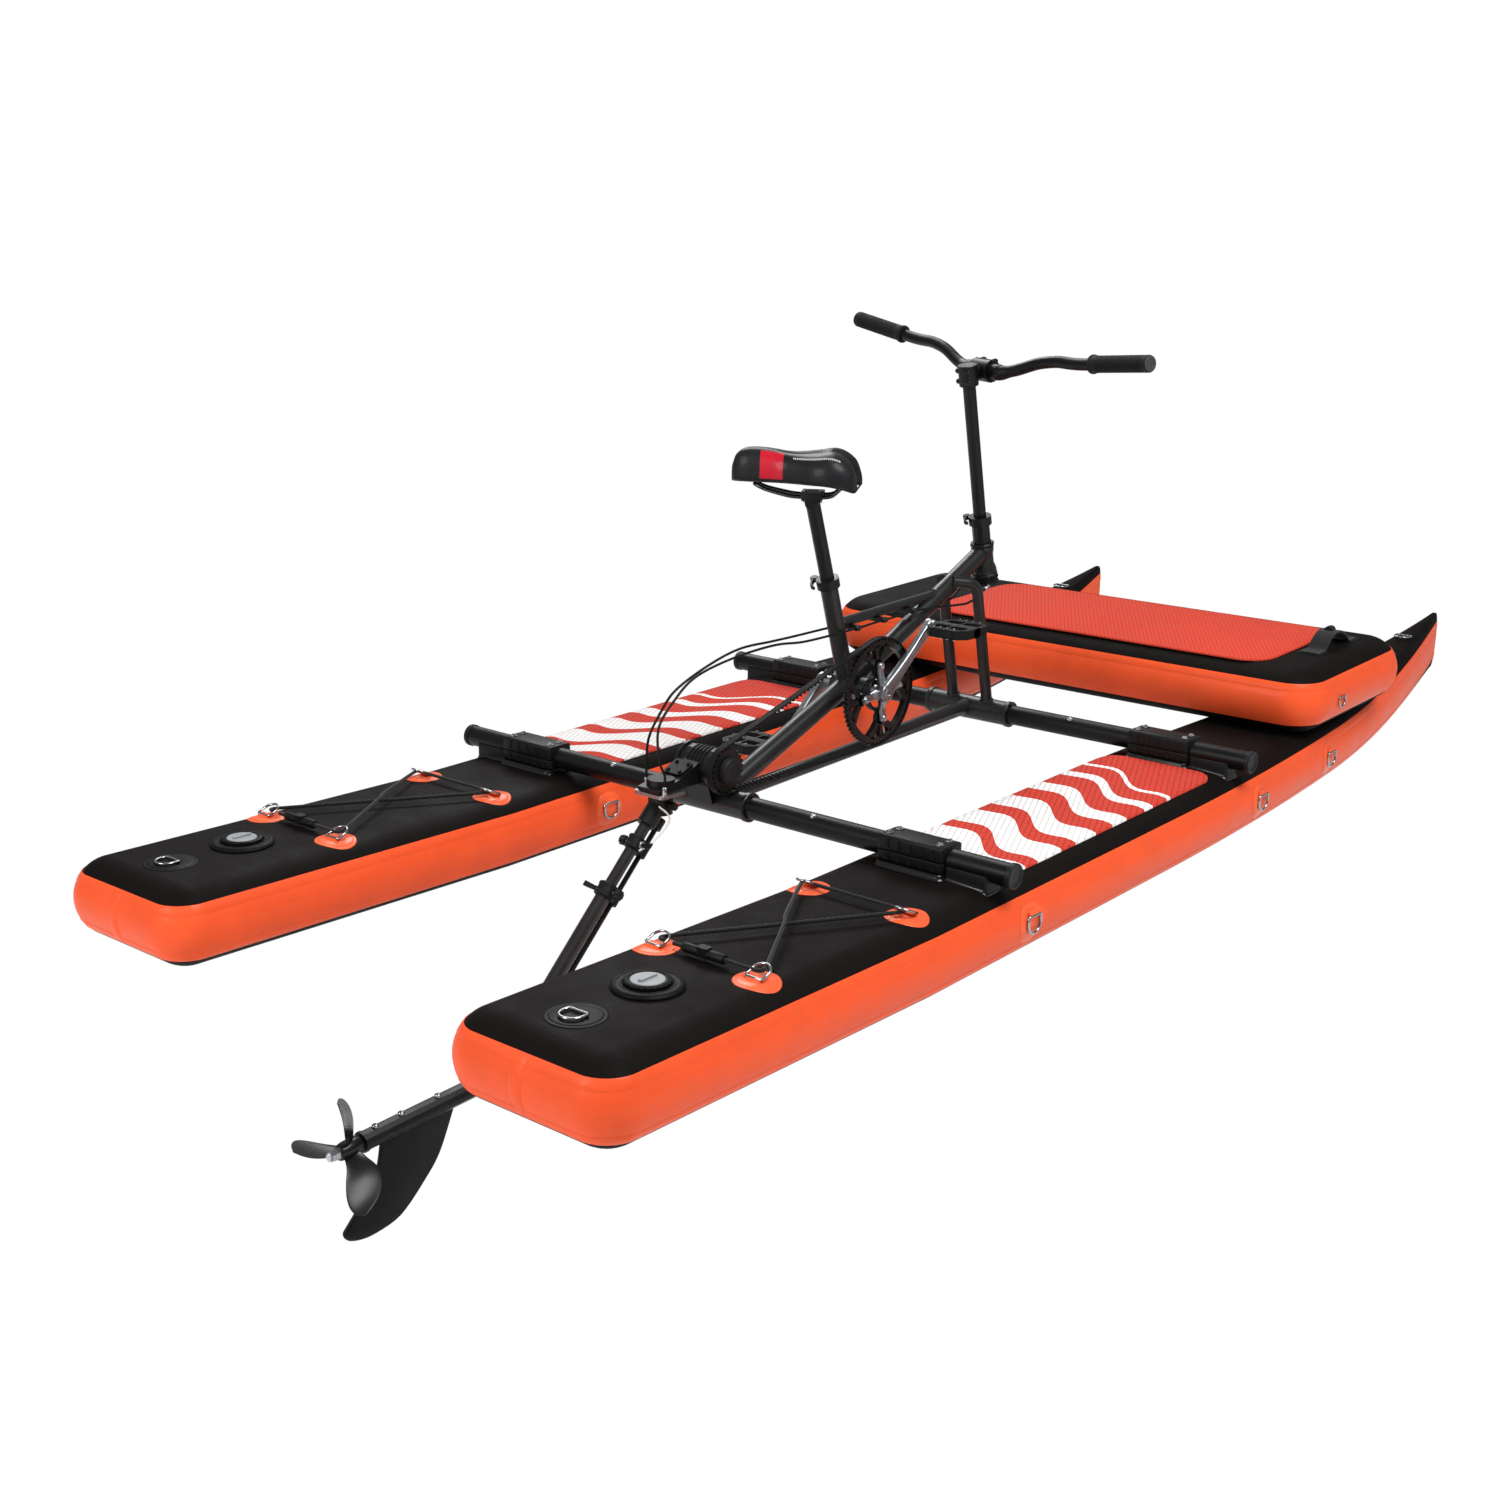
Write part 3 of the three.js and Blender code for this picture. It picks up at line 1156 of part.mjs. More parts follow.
function handlebarStem() {
  const half = stem.clampHeight / 2;
  const grasp = rod(onStem(0, 0, -half), onStem(0, 0, half), stem.clampRadius);
  const neck = rod(onStem(0, 0, 0), onStem(stem.reach, 0, 0), stem.clampHeight * stem.neckShare, stem.neckRadius);
  const grab = rod(
    onStem(stem.reach, -stem.barClampHalf, 0), onStem(stem.reach, stem.barClampHalf, 0), stem.barClampRadius,
  );
  const bolts = [];
  for (const up of [-1, 1]) {
    for (const port of [-1, 1]) {
      const spread = stem.barClampRadius * stem.boltSpreadShare;
      const from = onStem(stem.reach, port * stem.barClampHalf * stem.boltSpreadShare, up * spread);
      const to = from.clone().addScaledVector(barForward, stem.barClampRadius);
      bolts.push(rod(from, to, stem.boltRadius, stem.boltRadius, sides.small));
    }
  }
  for (const up of [-1, 1]) {
    const from = onStem(-stem.clampRadius * stem.clampBoltBackShare, -stem.clampRadius, (up * half) / 2);
    const to = onStem(-stem.clampRadius * stem.clampBoltBackShare, stem.clampRadius, (up * half) / 2);
    bolts.push(rod(from, to, stem.clampBoltRadius, stem.clampBoltRadius, sides.small));
  }
  const bores = [
    rod(onStem(0, 0, -stem.clampHeight), onStem(0, 0, stem.clampHeight), riser.radius + clearance),
    rod(
      onStem(stem.reach, -stem.barClampHalf * 2, 0), onStem(stem.reach, stem.barClampHalf * 2, 0),
      looseBore(handlebar.clampRadius),
    ),
  ];
  return cut(join([grasp, neck, grab, ...bolts]), bores);
}

function onBar(port, forward, rise) {
  return onStem(stem.reach + forward, port, rise);
}

const gripInnerPort = handlebar.halfWidth - handlebar.plugLength - grip.length;

// Centre line of one half of the bar, from the clamp to its tip
function barHalf(side) {
  const points = barBends.map(([port, forward, rise]) => onBar(
    side * port * handlebar.halfWidth, forward * handlebar.endForward, rise * handlebar.endRise,
  ));
  points.push(onBarGrip(side, handlebar.halfWidth - handlebar.plugLength));
  return points;
}

function onBarGrip(side, port) {
  const [start, forward, rise] = barBends[barBends.length - 1];
  const share = (port / handlebar.halfWidth - start) / (1 - start);
  return onBar(
    side * port,
    THREE.MathUtils.lerp(forward, 1, share) * handlebar.endForward,
    THREE.MathUtils.lerp(rise, 1, share) * handlebar.endRise,
  );
}

function bentHandlebar() {
  const halves = [barHalf(-1).reverse(), barHalf(1).slice(1)].flat();
  const middle = (halves.length - 1) / 2;
  const radii = halves.map((_, i) => (Math.abs(i - middle) <= 1 ? handlebar.clampRadius : handlebar.radius));
  return tubeThrough(halves, (share) => radii[Math.round(share * (halves.length - 1))]);
}

function handGrip(side) {
  const inner = onBarGrip(side, gripInnerPort);
  const outer = onBarGrip(side, handlebar.halfWidth - handlebar.plugLength);
  const tip = onBarGrip(side, handlebar.halfWidth);
  const length = outer.distanceTo(inner);
  const bore = looseBore(handlebar.radius);
  const end = tip.distanceTo(inner);
  return turned([
    [0, length + clearance], [bore, length + clearance], [bore, 0], [grip.flangeRadius, 0],
    [grip.flangeRadius, grip.flangeLength], [grip.radius, grip.flangeLength + overrun], [grip.radius, end - overrun],
    [grip.radius - overrun, end], [0, end],
  ], inner, tip.clone().sub(inner));
}

place('riser', riserTube(), blackPaint());
place('stem', handlebarStem(), blackPaint());
place('handlebar', bentHandlebar(), blackPaint());
place('starboard_grip', handGrip(-1), blackRubber());
place('port_grip', handGrip(1), blackRubber());

// Crank set: bearing cups, spindle, arms, toothed ring and pedals

function bearingCup(side) {
  const inner = looseBore(crank.spindleRadius);
  const outer = bottomBracket.bore - clearance;
  const step = clearance;
  return bored([
    [inner, -bottomBracket.insert], [outer, -bottomBracket.insert], [outer, step], [bottomBracket.cupRadius, step],
    [bottomBracket.cupRadius, bottomBracket.cupWidth], [inner, bottomBracket.cupWidth],
  ], crankCentre.clone().setY(side * bottomBracket.halfWidth), vec(0, side, 0));
}

for (const [name, side] of boatSides) {
  place(`${name}_bearing_cup`, bearingCup(side), blackPaint());
}

const crankDirection = vec(Math.cos(crank.angle * degree), 0, Math.sin(crank.angle * degree));
const crankSquare = vec(-crankDirection.z, 0, crankDirection.x);
const armOuter = crank.armInner + crank.armThickness;

function armOutline() {
  const points = [];
  const arc = (radius, centre, from, to) => {
    for (let i = 0; i <= crank.arcSteps; i += 1) {
      const angle = (from + ((to - from) * i) / crank.arcSteps) * degree;
      points.push(new THREE.Vector2(centre + radius * Math.cos(angle), radius * Math.sin(angle)));
    }
  };
  arc(crank.endRadius, crank.armLength, -crank.endArc, crank.endArc);
  points.push(new THREE.Vector2(crank.armLength * crank.waistShare, crank.waistHalfWidth));
  arc(crank.hubRadius, 0, 180 - crank.hubArc, 180 + crank.hubArc);
  points.push(new THREE.Vector2(crank.armLength * crank.waistShare, -crank.waistHalfWidth));
  return points;
}

// The arm's outline lies square to the spindle; the extrusion runs to starboard
function crankArm(side) {
  const face = side < 0 ? -crank.armInner : armOuter;
  const across = crankDirection.clone().multiplyScalar(-side);
  const up = crankSquare.clone().multiplyScalar(-side);
  const arm = plate(armOutline(), [], crank.armThickness, crankCentre.clone().setY(face), across, up);
  const cap = rod(
    crankCentre.clone().setY(side * (armOuter - overrun)), crankCentre.clone().setY(side * (armOuter + crank.capHeight)),
    crank.capRadius,
  );
  const pedalAt = crankCentre.clone().addScaledVector(across, crank.armLength);
  const eye = rod(
    pedalAt.clone().setY(side * (crank.armInner - overrun)), pedalAt.clone().setY(side * (armOuter + overrun)),
    pedal.axleRadius + clearance,
  );
  return { pieces: [arm, cap], eye, pedalAt };
}

const spiderFace = belt.plane + ring.thickness / 2 + clearance;

function spiderAngle(arm) {
  return (crank.angle + crank.spiderTurn + (360 / crank.spiderArms) * arm) * degree;
}

function boltPlace(arm) {
  const angle = spiderAngle(arm);
  return vec(
    crankAxis.x + crank.boltCircle * Math.cos(angle), 0, crankAxis.z + crank.boltCircle * Math.sin(angle),
  );
}

function driveCrank() {
  const { pieces, eye } = crankArm(-1);
  const outerFace = spiderFace + crank.spiderThickness;
  pieces.push(rod(crankCentre.clone().setY(bottomBracket.halfWidth * 2), crankCentre.clone().setY(-armOuter),
    crank.spindleRadius));
  pieces.push(rod(crankCentre.clone().setY(-spiderFace), crankCentre.clone().setY(-armOuter), crank.hubRadius));
  for (let i = 0; i < crank.spiderArms; i += 1) {
    const boss = boltPlace(i);
    const across = boss.clone().sub(crankCentre).normalize();
    const up = vec(-across.z, 0, across.x);
    const half = crank.spiderHalfWidth;
    const outline = [
      new THREE.Vector2(0, -half * crank.spiderRootShare),
      new THREE.Vector2(crank.boltCircle, -half * crank.spiderEndShare),
      new THREE.Vector2(crank.boltCircle + half, 0),
      new THREE.Vector2(crank.boltCircle, half * crank.spiderEndShare),
      new THREE.Vector2(0, half * crank.spiderRootShare),
    ];
    pieces.push(plate(outline, [], crank.spiderThickness, crankCentre.clone().setY(-spiderFace), across, up));
    pieces.push(rod(boss.clone().setY(-spiderFace), boss.clone().setY(-outerFace - crank.boltHead),
      crank.boltRadius, crank.boltRadius, sides.small));
    pieces.push(rod(boss.clone().setY(-belt.plane + ring.thickness / 2), boss.clone().setY(-outerFace),
      crank.shankRadius, crank.shankRadius, sides.small));
  }
  return cut(join(pieces), [eye]);
}

function offCrank() {
  const { pieces, eye } = crankArm(1);
  const socket = rod(
    crankCentre.clone(), crankCentre.clone().setY(bottomBracket.halfWidth * 2 + clearance),
    crank.spindleRadius + clearance,
  );
  return cut(join(pieces), [eye, socket]);
}

place('starboard_crank', driveCrank(), forgedSilver());
place('port_crank', offCrank(), forgedSilver());

// Toothed belt drive: both wheels and the belt share one pitch

const ringRadius = (belt.pitch * belt.ringTeeth) / (2 * Math.PI);
const pulleyRadius = (belt.pitch * belt.pulleyTeeth) / (2 * Math.PI);
const pulleyCentre = inPlane(gearbox.pulleyAxis);
const centreSpan = crankCentre.clone().sub(pulleyCentre);
const centreLine = Math.atan2(centreSpan.z, centreSpan.x);
const tangentTilt = Math.asin((ringRadius - pulleyRadius) / centreSpan.length());
const topTangent = centreLine + Math.PI / 2 + tangentTilt;
const lowTangent = centreLine - Math.PI / 2 - tangentTilt;
const runLength = centreSpan.length() * Math.cos(tangentTilt);
const ringWrap = (topTangent - lowTangent) * ringRadius;
const pulleyWrap = (2 * Math.PI - (topTangent - lowTangent)) * pulleyRadius;

function aroundWheel(centre, radius, angle) {
  return new THREE.Vector2(centre.x + radius * Math.cos(angle), centre.z + radius * Math.sin(angle));
}

// A place on the belt: distance along it from the ring's top tangent, and depth in towards the wheels
function onBelt(distance, depth) {
  let rest = distance;
  if (rest <= ringWrap) return aroundWheel(crankCentre, ringRadius - depth, topTangent - rest / ringRadius);
  rest -= ringWrap;
  if (rest <= runLength) {
    const from = aroundWheel(crankCentre, ringRadius - depth, lowTangent);
    return from.lerp(aroundWheel(pulleyCentre, pulleyRadius - depth, lowTangent), rest / runLength);
  }
  rest -= runLength;
  if (rest <= pulleyWrap) return aroundWheel(pulleyCentre, pulleyRadius - depth, lowTangent - rest / pulleyRadius);
  rest -= pulleyWrap;
  const from = aroundWheel(pulleyCentre, pulleyRadius - depth, topTangent);
  return from.lerp(aroundWheel(crankCentre, ringRadius - depth, topTangent), rest / runLength);
}

// How far from its tangent a straight run's first tooth stands, to clear a wheel that turns
function toothStart(radius) {
  return Math.sqrt((radius + clearance) ** 2 - (radius - belt.toothDepth) ** 2) + belt.pitch / 2;
}

// Distance and depth pairs of the teeth on a straight run of the belt
function runTeeth(from, to) {
  const count = Math.floor((to - from) / belt.pitch);
  const first = (from + to - count * belt.pitch) / 2;
  const baseHalf = belt.pitch * (0.5 - belt.tipShare) - belt.slack;
  const tipHalf = belt.pitch * (0.5 - belt.rootShare) - belt.slack;
  return Array.from({ length: count + 1 }, (_, i) => first + i * belt.pitch).flatMap((centre) => [
    [centre - baseHalf, -belt.slack], [centre - tipHalf, belt.toothDepth], [centre + tipHalf, belt.toothDepth],
    [centre + baseHalf, -belt.slack],
  ]);
}

// The belt stays still in the model, so it has teeth on its free runs and runs smoothly over the wheels' teeth
function driveBelt() {
  const backRun = ringWrap + runLength + pulleyWrap;
  const wrap = (from, length) => Array.from(
    { length: belt.arcSteps + 1 }, (_, i) => [from + (length * i) / belt.arcSteps, -belt.slack],
  );
  const ringWrapLine = wrap(0, ringWrap);
  const pulleyWrapLine = wrap(ringWrap + runLength, pulleyWrap);
  const inner = [
    ...ringWrapLine,
    ...runTeeth(ringWrap + toothStart(ringRadius), ringWrap + runLength - toothStart(pulleyRadius)),
    ...pulleyWrapLine,
    ...runTeeth(backRun + toothStart(pulleyRadius), backRun + runLength - toothStart(ringRadius)),
  ].map(([distance, depth]) => onBelt(distance, depth));
  const outer = [...ringWrapLine, ...pulleyWrapLine].map(([distance]) => onBelt(distance, -belt.thickness));
  return plate(outer, [inner], belt.width, vec(0, -belt.plane + belt.width / 2, 0), alongX, alongZ);
}

// Outline of a toothed wheel; its first tooth gap is at the start angle
function toothedOutline(centre, radius, teeth, start) {
  const points = [];
  const pitchAngle = (2 * Math.PI) / teeth;
  const tip = radius - clearance;
  const root = radius - belt.toothDepth - clearance;
  for (let i = 0; i < teeth; i += 1) {
    const middle = start + pitchAngle * (i + 0.5);
    for (const [offset, reach] of [[-belt.rootShare, root], [-belt.tipShare, tip], [belt.tipShare, tip], [belt.rootShare, root]]) {
      points.push(aroundWheel(centre, reach, middle + pitchAngle * offset));
    }
  }
  return points;
}

// Belt ring: toothed rim, hub rim with bolt bosses, and two forked spokes from every boss
function beltRing() {
  const outline = toothedOutline(crankCentre, ringRadius, belt.ringTeeth, topTangent);
  const rimInner = ringRadius - belt.toothDepth - ring.rimDepth;
  const circle = (radius) => circleOutline(radius, sides.wheel, crankCentre.x, crankCentre.z);
  const origin = vec(0, -belt.plane + ring.thickness / 2, 0);
  const slab = (shape, holes) => plate(shape, holes, ring.thickness, origin, alongX, alongZ);
  const pieces = [slab(outline, [circle(rimInner)]), slab(circle(ring.hubRim), [circle(ring.bore)])];
  const half = ring.spokeHalfWidth;
  for (let i = 0; i < crank.spiderArms; i += 1) {
    const boss = boltPlace(i);
    pieces.push(slab(circleOutline(ring.bossRadius, sides.small + 2, boss.x, boss.z), []));
    for (const turn of [-1, 0, 1]) {
      const reach = turn === 0 ? ring.hubRim - overrun : rimInner + overrun;
      const angle = spiderAngle(i) + turn * ring.spokeTurn * degree;
      const end = aroundWheel(crankCentre, reach, angle);
      const start = new THREE.Vector2(boss.x, boss.z);
      const square = end.clone().sub(start).rotateAround(new THREE.Vector2(), Math.PI / 2).setLength(half);
      pieces.push(slab([
        start.clone().sub(square), end.clone().sub(square), end.clone().add(square), start.clone().add(square),
      ], []));
    }
  }
  const holes = Array.from({ length: crank.spiderArms }, (_, i) => rod(
    boltPlace(i).setY(-belt.plane - ring.thickness), boltPlace(i).setY(-belt.plane + ring.thickness),
    crank.shankRadius + clearance, crank.shankRadius + clearance, sides.small,
  ));
  return cut(join(pieces), holes);
}

function beltPulley() {
  const start = lowTangent + ((ringWrap + runLength) % belt.pitch) / pulleyRadius;
  const outline = toothedOutline(pulleyCentre, pulleyRadius, belt.pulleyTeeth, start);
  const front = belt.plane + belt.width / 2;
  const disc = plate(outline, [], belt.width, vec(0, -belt.plane + belt.width / 2, 0), alongX, alongZ);
  const hub = rod(
    pulleyCentre.clone().setY(-front), pulleyCentre.clone().setY(-gearbox.barrelStarboard / 2), gearbox.hubRadius,
  );
  const cap = turned([
    [0, -overrun], [gearbox.capRadius, -overrun], [gearbox.capRadius, gearbox.capDepth - gearbox.capCrown],
    [gearbox.capRadius - gearbox.capCrown, gearbox.capDepth], [0, gearbox.capDepth],
  ], pulleyCentre.clone().setY(-front), vec(0, -1, 0), sides.wheel);
  return join([disc, hub, cap]);
}

place('belt_ring', beltRing(), blackPaint());
place('drive_belt', driveBelt(), blackRubber());
place('belt_pulley', beltPulley(), blackPaint());

// Flat pedals on stub axles

function platformPedal(side) {
  const at = crankArm(side).pedalAt;
  const inner = armOuter + pedal.fromArm;
  const centre = at.clone().setY(side * (inner + pedal.width / 2));
  const body = [
    [1, 1], [-1, 1], [-1, -1], [1, -1],
  ].flatMap(([sx, sy]) => {
    const corner = [sx * pedal.length / 2, sy * pedal.width / 2];
    const near = new THREE.Vector2(corner[0] - sx * pedal.chamfer, corner[1]);
    const far = new THREE.Vector2(corner[0], corner[1] - sy * pedal.chamfer);
    return sx * sy > 0 ? [far, near] : [near, far];
  });
  const windowLength = pedal.length / 2 - pedal.railWidth - pedal.coreRadius;
  const windowCentre = pedal.coreRadius + windowLength / 2;
  const holes = [-1, 1].map((end) => roundedOutline(
    windowLength / 2, pedal.width / 2 - pedal.endWidth, pedal.pinRadius, 1,
  ).map((p) => new THREE.Vector2(p.x + end * windowCentre, p.y)));
  const deck = plate(body, holes, pedal.thickness, centre.clone().setZ(centre.z - pedal.thickness / 2), alongX, alongY);
  const barrel = rod(centre.clone().setY(side * inner), centre.clone().setY(side * (inner + pedal.width)), pedal.coreRadius,
    pedal.coreRadius, sides.cord);
  const flange = rod(
    at.clone().setY(side * (armOuter + clearance)), at.clone().setY(side * (armOuter + clearance + pedal.flangeLength)),
    pedal.flangeRadius, pedal.flangeRadius, sides.cord,
  );
  const axle = rod(at.clone().setY(side * crank.armInner), at.clone().setY(side * (inner + overrun)), pedal.axleRadius);
  const pins = [];
  for (const sx of [-1, 1]) {
    for (const sy of [-1, 1]) {
      const pin = centre.clone().add(vec(
        sx * (pedal.length / 2 - pedal.pinInsetX), sy * (pedal.width / 2 - pedal.pinInsetY - pedal.pinInsetX), 0,
      ));
      const reach = pedal.thickness / 2 + pedal.pinHeight;
      pins.push(rod(pin.clone().setZ(pin.z - reach), pin.clone().setZ(pin.z + reach), pedal.pinRadius, pedal.pinRadius,
        sides.small));
    }
  }
  return join([deck, barrel, flange, axle, ...pins]);
}

for (const [name, side] of boatSides) {
  place(`${name}_pedal`, platformPedal(side), blackPlastic());
}

// Gearbox on the rear sleeve: barrel, wedge-shaped nose with a bolted cover, and the swivel boss

function gearboxHousing() {
  const centre = pulleyCentre;
  const at = (x, z) => new THREE.Vector2(x, z);
  const barrel = rod(
    centre.clone().setY(-gearbox.barrelStarboard), centre.clone().setY(gearbox.barrelPort), gearbox.barrelRadius,
    gearbox.barrelRadius, sides.wheel,
  );
  const flange = rod(
    centre.clone().setY(gearbox.barrelPort - gearbox.flangeThickness * 2),
    centre.clone().setY(gearbox.barrelPort - gearbox.flangeThickness), gearbox.flangeRadius, gearbox.flangeRadius, sides.wheel,
  );
  const wedge = plate([
    at(gearbox.noseTip, gearbox.noseBottom), at(centre.x, gearbox.noseBottom), at(centre.x, centre.z),
    at(gearbox.ridgeFront.x, gearbox.ridgeFront.z), at(gearbox.ridgeRear.x, gearbox.ridgeRear.z),
    at(gearbox.noseTip, gearbox.noseTop),
  ], [], 2 * gearbox.noseHalfWidth, vec(0, gearbox.noseHalfWidth, 0), alongX, alongZ);
  const mount = plate([
    at(gearbox.mountRear, centre.z), at(centre.x, gearbox.mountLow), at(gearbox.mountFront, gearbox.mountLow),
    at(gearbox.mountFront - gearbox.barrelRadius / 2, centre.z),
  ], [], 2 * gearbox.mountHalfWidth, vec(0, gearbox.mountHalfWidth, 0), alongX, alongZ);
  const boss = rod(vec(swivel.x, 0, gearbox.noseBottom), vec(swivel.x, 0, gearbox.bossTop), gearbox.bossRadius);
  const reach = 2 * sleeve.rearHalfLength;
  const foot = inPlane(frameJoint.sparFoot);
  const stayEnd = rearHub.clone().setZ(rearHub.z - frameJoint.stayRearDrop);
  const pinBore = looseBore(swivel.pinRadius);
  const tools = [
    rod(rearHub.clone().setY(-reach), rearHub.clone().setY(reach), sleeve.radius + 2 * clearance),
    rod(foot, stayEnd, tubeRadius.chainstay + 2 * clearance),
    rod(centre.clone().setY(-reach), centre.clone().setY(clearance - gearbox.barrelStarboard / 2),
      looseBore(gearbox.hubRadius)),
    rod(vec(swivel.x, 0, 0), vec(swivel.x, 0, swivel.pinTop + clearance), pinBore),
  ];
  return cut(join([barrel, flange, wedge, mount, boss]), tools);
}

// Cover screwed to the sloping top of the nose
function gearboxCover() {
  const rear = inPlane(gearbox.ridgeRear);
  const front = rear.clone().lerp(inPlane(gearbox.ridgeFront), gearbox.coverFrontShare);
  const slope = front.clone().sub(rear).normalize();
  const normal = vec(-slope.z, 0, slope.x);
  const length = front.distanceTo(rear) - 2 * gearbox.coverInset;
  const middle = front.clone().lerp(rear, 0.5).addScaledVector(normal, clearance);
  const outline = roundedOutline(length / 2, gearbox.coverHalfWidth, gearbox.coverInset, 3);
  const slab = plate(outline, [], gearbox.coverThickness, middle, slope, alongY);
  const bolts = [];
  for (const along of [-1, 1]) {
    for (const side of [-1, 1]) {
      const seat = middle.clone()
        .addScaledVector(slope, along * (length / 2 - gearbox.coverInset))
        .addScaledVector(alongY, side * (gearbox.coverHalfWidth - gearbox.coverInset));
      bolts.push(rod(seat, seat.clone().addScaledVector(normal, gearbox.coverThickness + gearbox.boltHeight),
        gearbox.boltRadius, gearbox.boltRadius, sides.small));
    }
  }
  const barrel = rod(
    pulleyCentre.clone().setY(-gearbox.barrelStarboard), pulleyCentre.clone().setY(gearbox.barrelPort),
    gearbox.barrelRadius + clearance, gearbox.barrelRadius + clearance, sides.wheel,
  );
  const boss = rod(
    vec(swivel.x, 0, gearbox.noseBottom), vec(swivel.x, 0, gearbox.bossTop), gearbox.bossRadius + clearance,
  );
  return cut(join([slab, ...bolts]), [barrel, boss]);
}

place('gearbox_housing', gearboxHousing(), blackPaint());
place('gearbox_cover', gearboxCover(), blackPlastic());

// Steerable leg: steering plate, head with the swivel pin, two telescoping tubes, guide rod and two clamps

const legTop = inPlane(leg.top);
const downLeg = vec(-Math.cos(leg.angle * degree), 0, -Math.sin(leg.angle * degree));
const aheadOfLeg = vec(Math.sin(leg.angle * degree), 0, -Math.cos(leg.angle * degree));
const plateBottom = swivel.plateTop - swivel.plateThickness;

function onLeg(distance, ahead = 0, port = 0) {
  return legTop.clone().addScaledVector(downLeg, distance).addScaledVector(aheadOfLeg, ahead)
    .addScaledVector(alongY, port);
}

function steeringPlate() {
  const outline = roundedOutline(swivel.plateHalfLength, swivel.plateHalfWidth, swivel.plateCorner, 3);
  const hole = circleOutline(swivel.pinRadius + clearance, sides.tube);
  return plate(outline, [hole], swivel.plateThickness, vec(swivel.x, 0, plateBottom), alongX, alongY);
}

function legHead() {
  const top = plateBottom - clearance;
  const body = rod(vec(swivel.x, 0, top - swivel.headHeight), vec(swivel.x, 0, top), swivel.headRadius);
  const pin = rod(vec(swivel.x, 0, top - overrun), vec(swivel.x, 0, swivel.pinTop), swivel.pinRadius);
  const socket = rod(onLeg(leg.socketStart), onLeg(leg.socketEnd), leg.socketRadius);
  const lug = rod(onLeg(leg.rodStart - overrun, leg.rodOffset), onLeg(leg.rodLugEnd, leg.rodOffset), leg.rodLugRadius);
  const web = rod(onLeg(leg.rodLugEnd - leg.rodLugRadius, 0), onLeg(leg.rodLugEnd - leg.rodLugRadius, leg.rodOffset),
    leg.rodLugRadius - overrun);
  const knobLevel = top - swivel.headHeight / 2;
  const knobRod = rod(
    vec(swivel.x, 0, knobLevel), vec(swivel.x, -swivel.knobReach, knobLevel), leg.knobStem, leg.knobStem, sides.small,
  );
  const knob = rod(
    vec(swivel.x, leg.knobLength - swivel.knobReach, knobLevel), vec(swivel.x, -swivel.knobReach, knobLevel),
    swivel.knobRadius, swivel.knobRadius, sides.small,
  );
  const tools = [
    rod(onLeg(leg.upperStart - clearance), onLeg(leg.upperEnd), leg.upperRadius + clearance),
    rod(onLeg(leg.rodStart - clearance, leg.rodOffset), onLeg(leg.rodEnd, leg.rodOffset), leg.rodRadius + clearance),
  ];
  return cut(join([body, pin, socket, lug, web, knobRod, knob]), tools);
}

// Clamp round a leg tube with an ear for the guide rod, a knob to one side and a cam lever to the other
function legClamp(distance, tube, side) {
  const half = leg.clampHeight / 2;
  const outer = tube + clearance + leg.clampWall;
  const band = rod(onLeg(distance - half), onLeg(distance + half), outer);
  const ear = rod(onLeg(distance - half, leg.rodOffset), onLeg(distance + half, leg.rodOffset), leg.lugRadius,
    leg.lugRadius, sides.cord);
  const web = rod(onLeg(distance), onLeg(distance, leg.rodOffset), leg.lugRadius * leg.rootShare,
    leg.lugRadius * leg.rootShare, sides.small);
  const knobStem = rod(
    onLeg(distance, 0, side * outer * leg.rootShare), onLeg(distance, 0, side * (outer + leg.knobLength / 2)), leg.knobStem,
    leg.knobStem, sides.small,
  );
  const knob = rod(
    onLeg(distance, 0, side * (outer + overrun * 2)), onLeg(distance, 0, side * (outer + leg.knobLength)), leg.knobRadius,
    leg.knobRadius, sides.cord,
  );
  const away = -side;
  const cam = tubeThrough([
    onLeg(distance, 0, away * outer * leg.rootShare),
    ...leg.leverBends.map(([out, curl]) => onLeg(
      distance, -leg.leverCurl * curl, away * (outer + leg.leverLength * out),
    )),
  ], leg.leverHalf, sides.small);
  const bores = [
    rod(onLeg(distance - 2 * half), onLeg(distance + 2 * half), tube + clearance),
    rod(onLeg(distance - 2 * half, leg.rodOffset), onLeg(distance + 2 * half, leg.rodOffset), leg.rodRadius + clearance),
  ];
  return cut(join([band, ear, web, knobStem, knob, cam]), bores);
}

function podAxis(x) {
  return vec(x, 0, pod.axisAt.z - (pod.axisAt.x - x) * Math.tan(pod.pitch * degree));
}

function podShell(extra) {
  const length = pod.axisAt.x + pod.noseReach - pod.rear;
  const radius = pod.radius + extra;
  return turned([
    [0, -extra], [radius * pod.tipShare, -extra], [radius * pod.cheekShare, pod.noseLength * pod.cheekAt], [radius, pod.noseLength],
    [radius, length - pod.collarLength], [pod.collarRadius + extra, length - pod.collarLength],
    [pod.collarRadius + extra, length], [0, length],
  ], podAxis(pod.axisAt.x + pod.noseReach), podAxis(pod.rear).sub(podAxis(pod.axisAt.x)));
}

function gearcase() {
  const screws = pod.screws.map((x) => rod(
    podAxis(x).setZ(podAxis(x).z + pod.radius - overrun), podAxis(x).setZ(podAxis(x).z + pod.radius + pod.screwHeight),
    pod.screwRadius, pod.screwRadius, sides.small,
  ));
  const socket = rod(onLeg(leg.podSocketStart), onLeg(leg.axisToPod), leg.podSocketRadius);
  const tools = [
    rod(onLeg(leg.podSocketStart - overrun), onLeg(leg.lowerEnd + clearance), leg.lowerRadius + clearance),
    rod(podAxis(pod.rear + pod.boreDepth), podAxis(pod.rear - overrun), pod.bore),
  ];
  return cut(join([podShell(0), socket, ...screws]), tools);
}

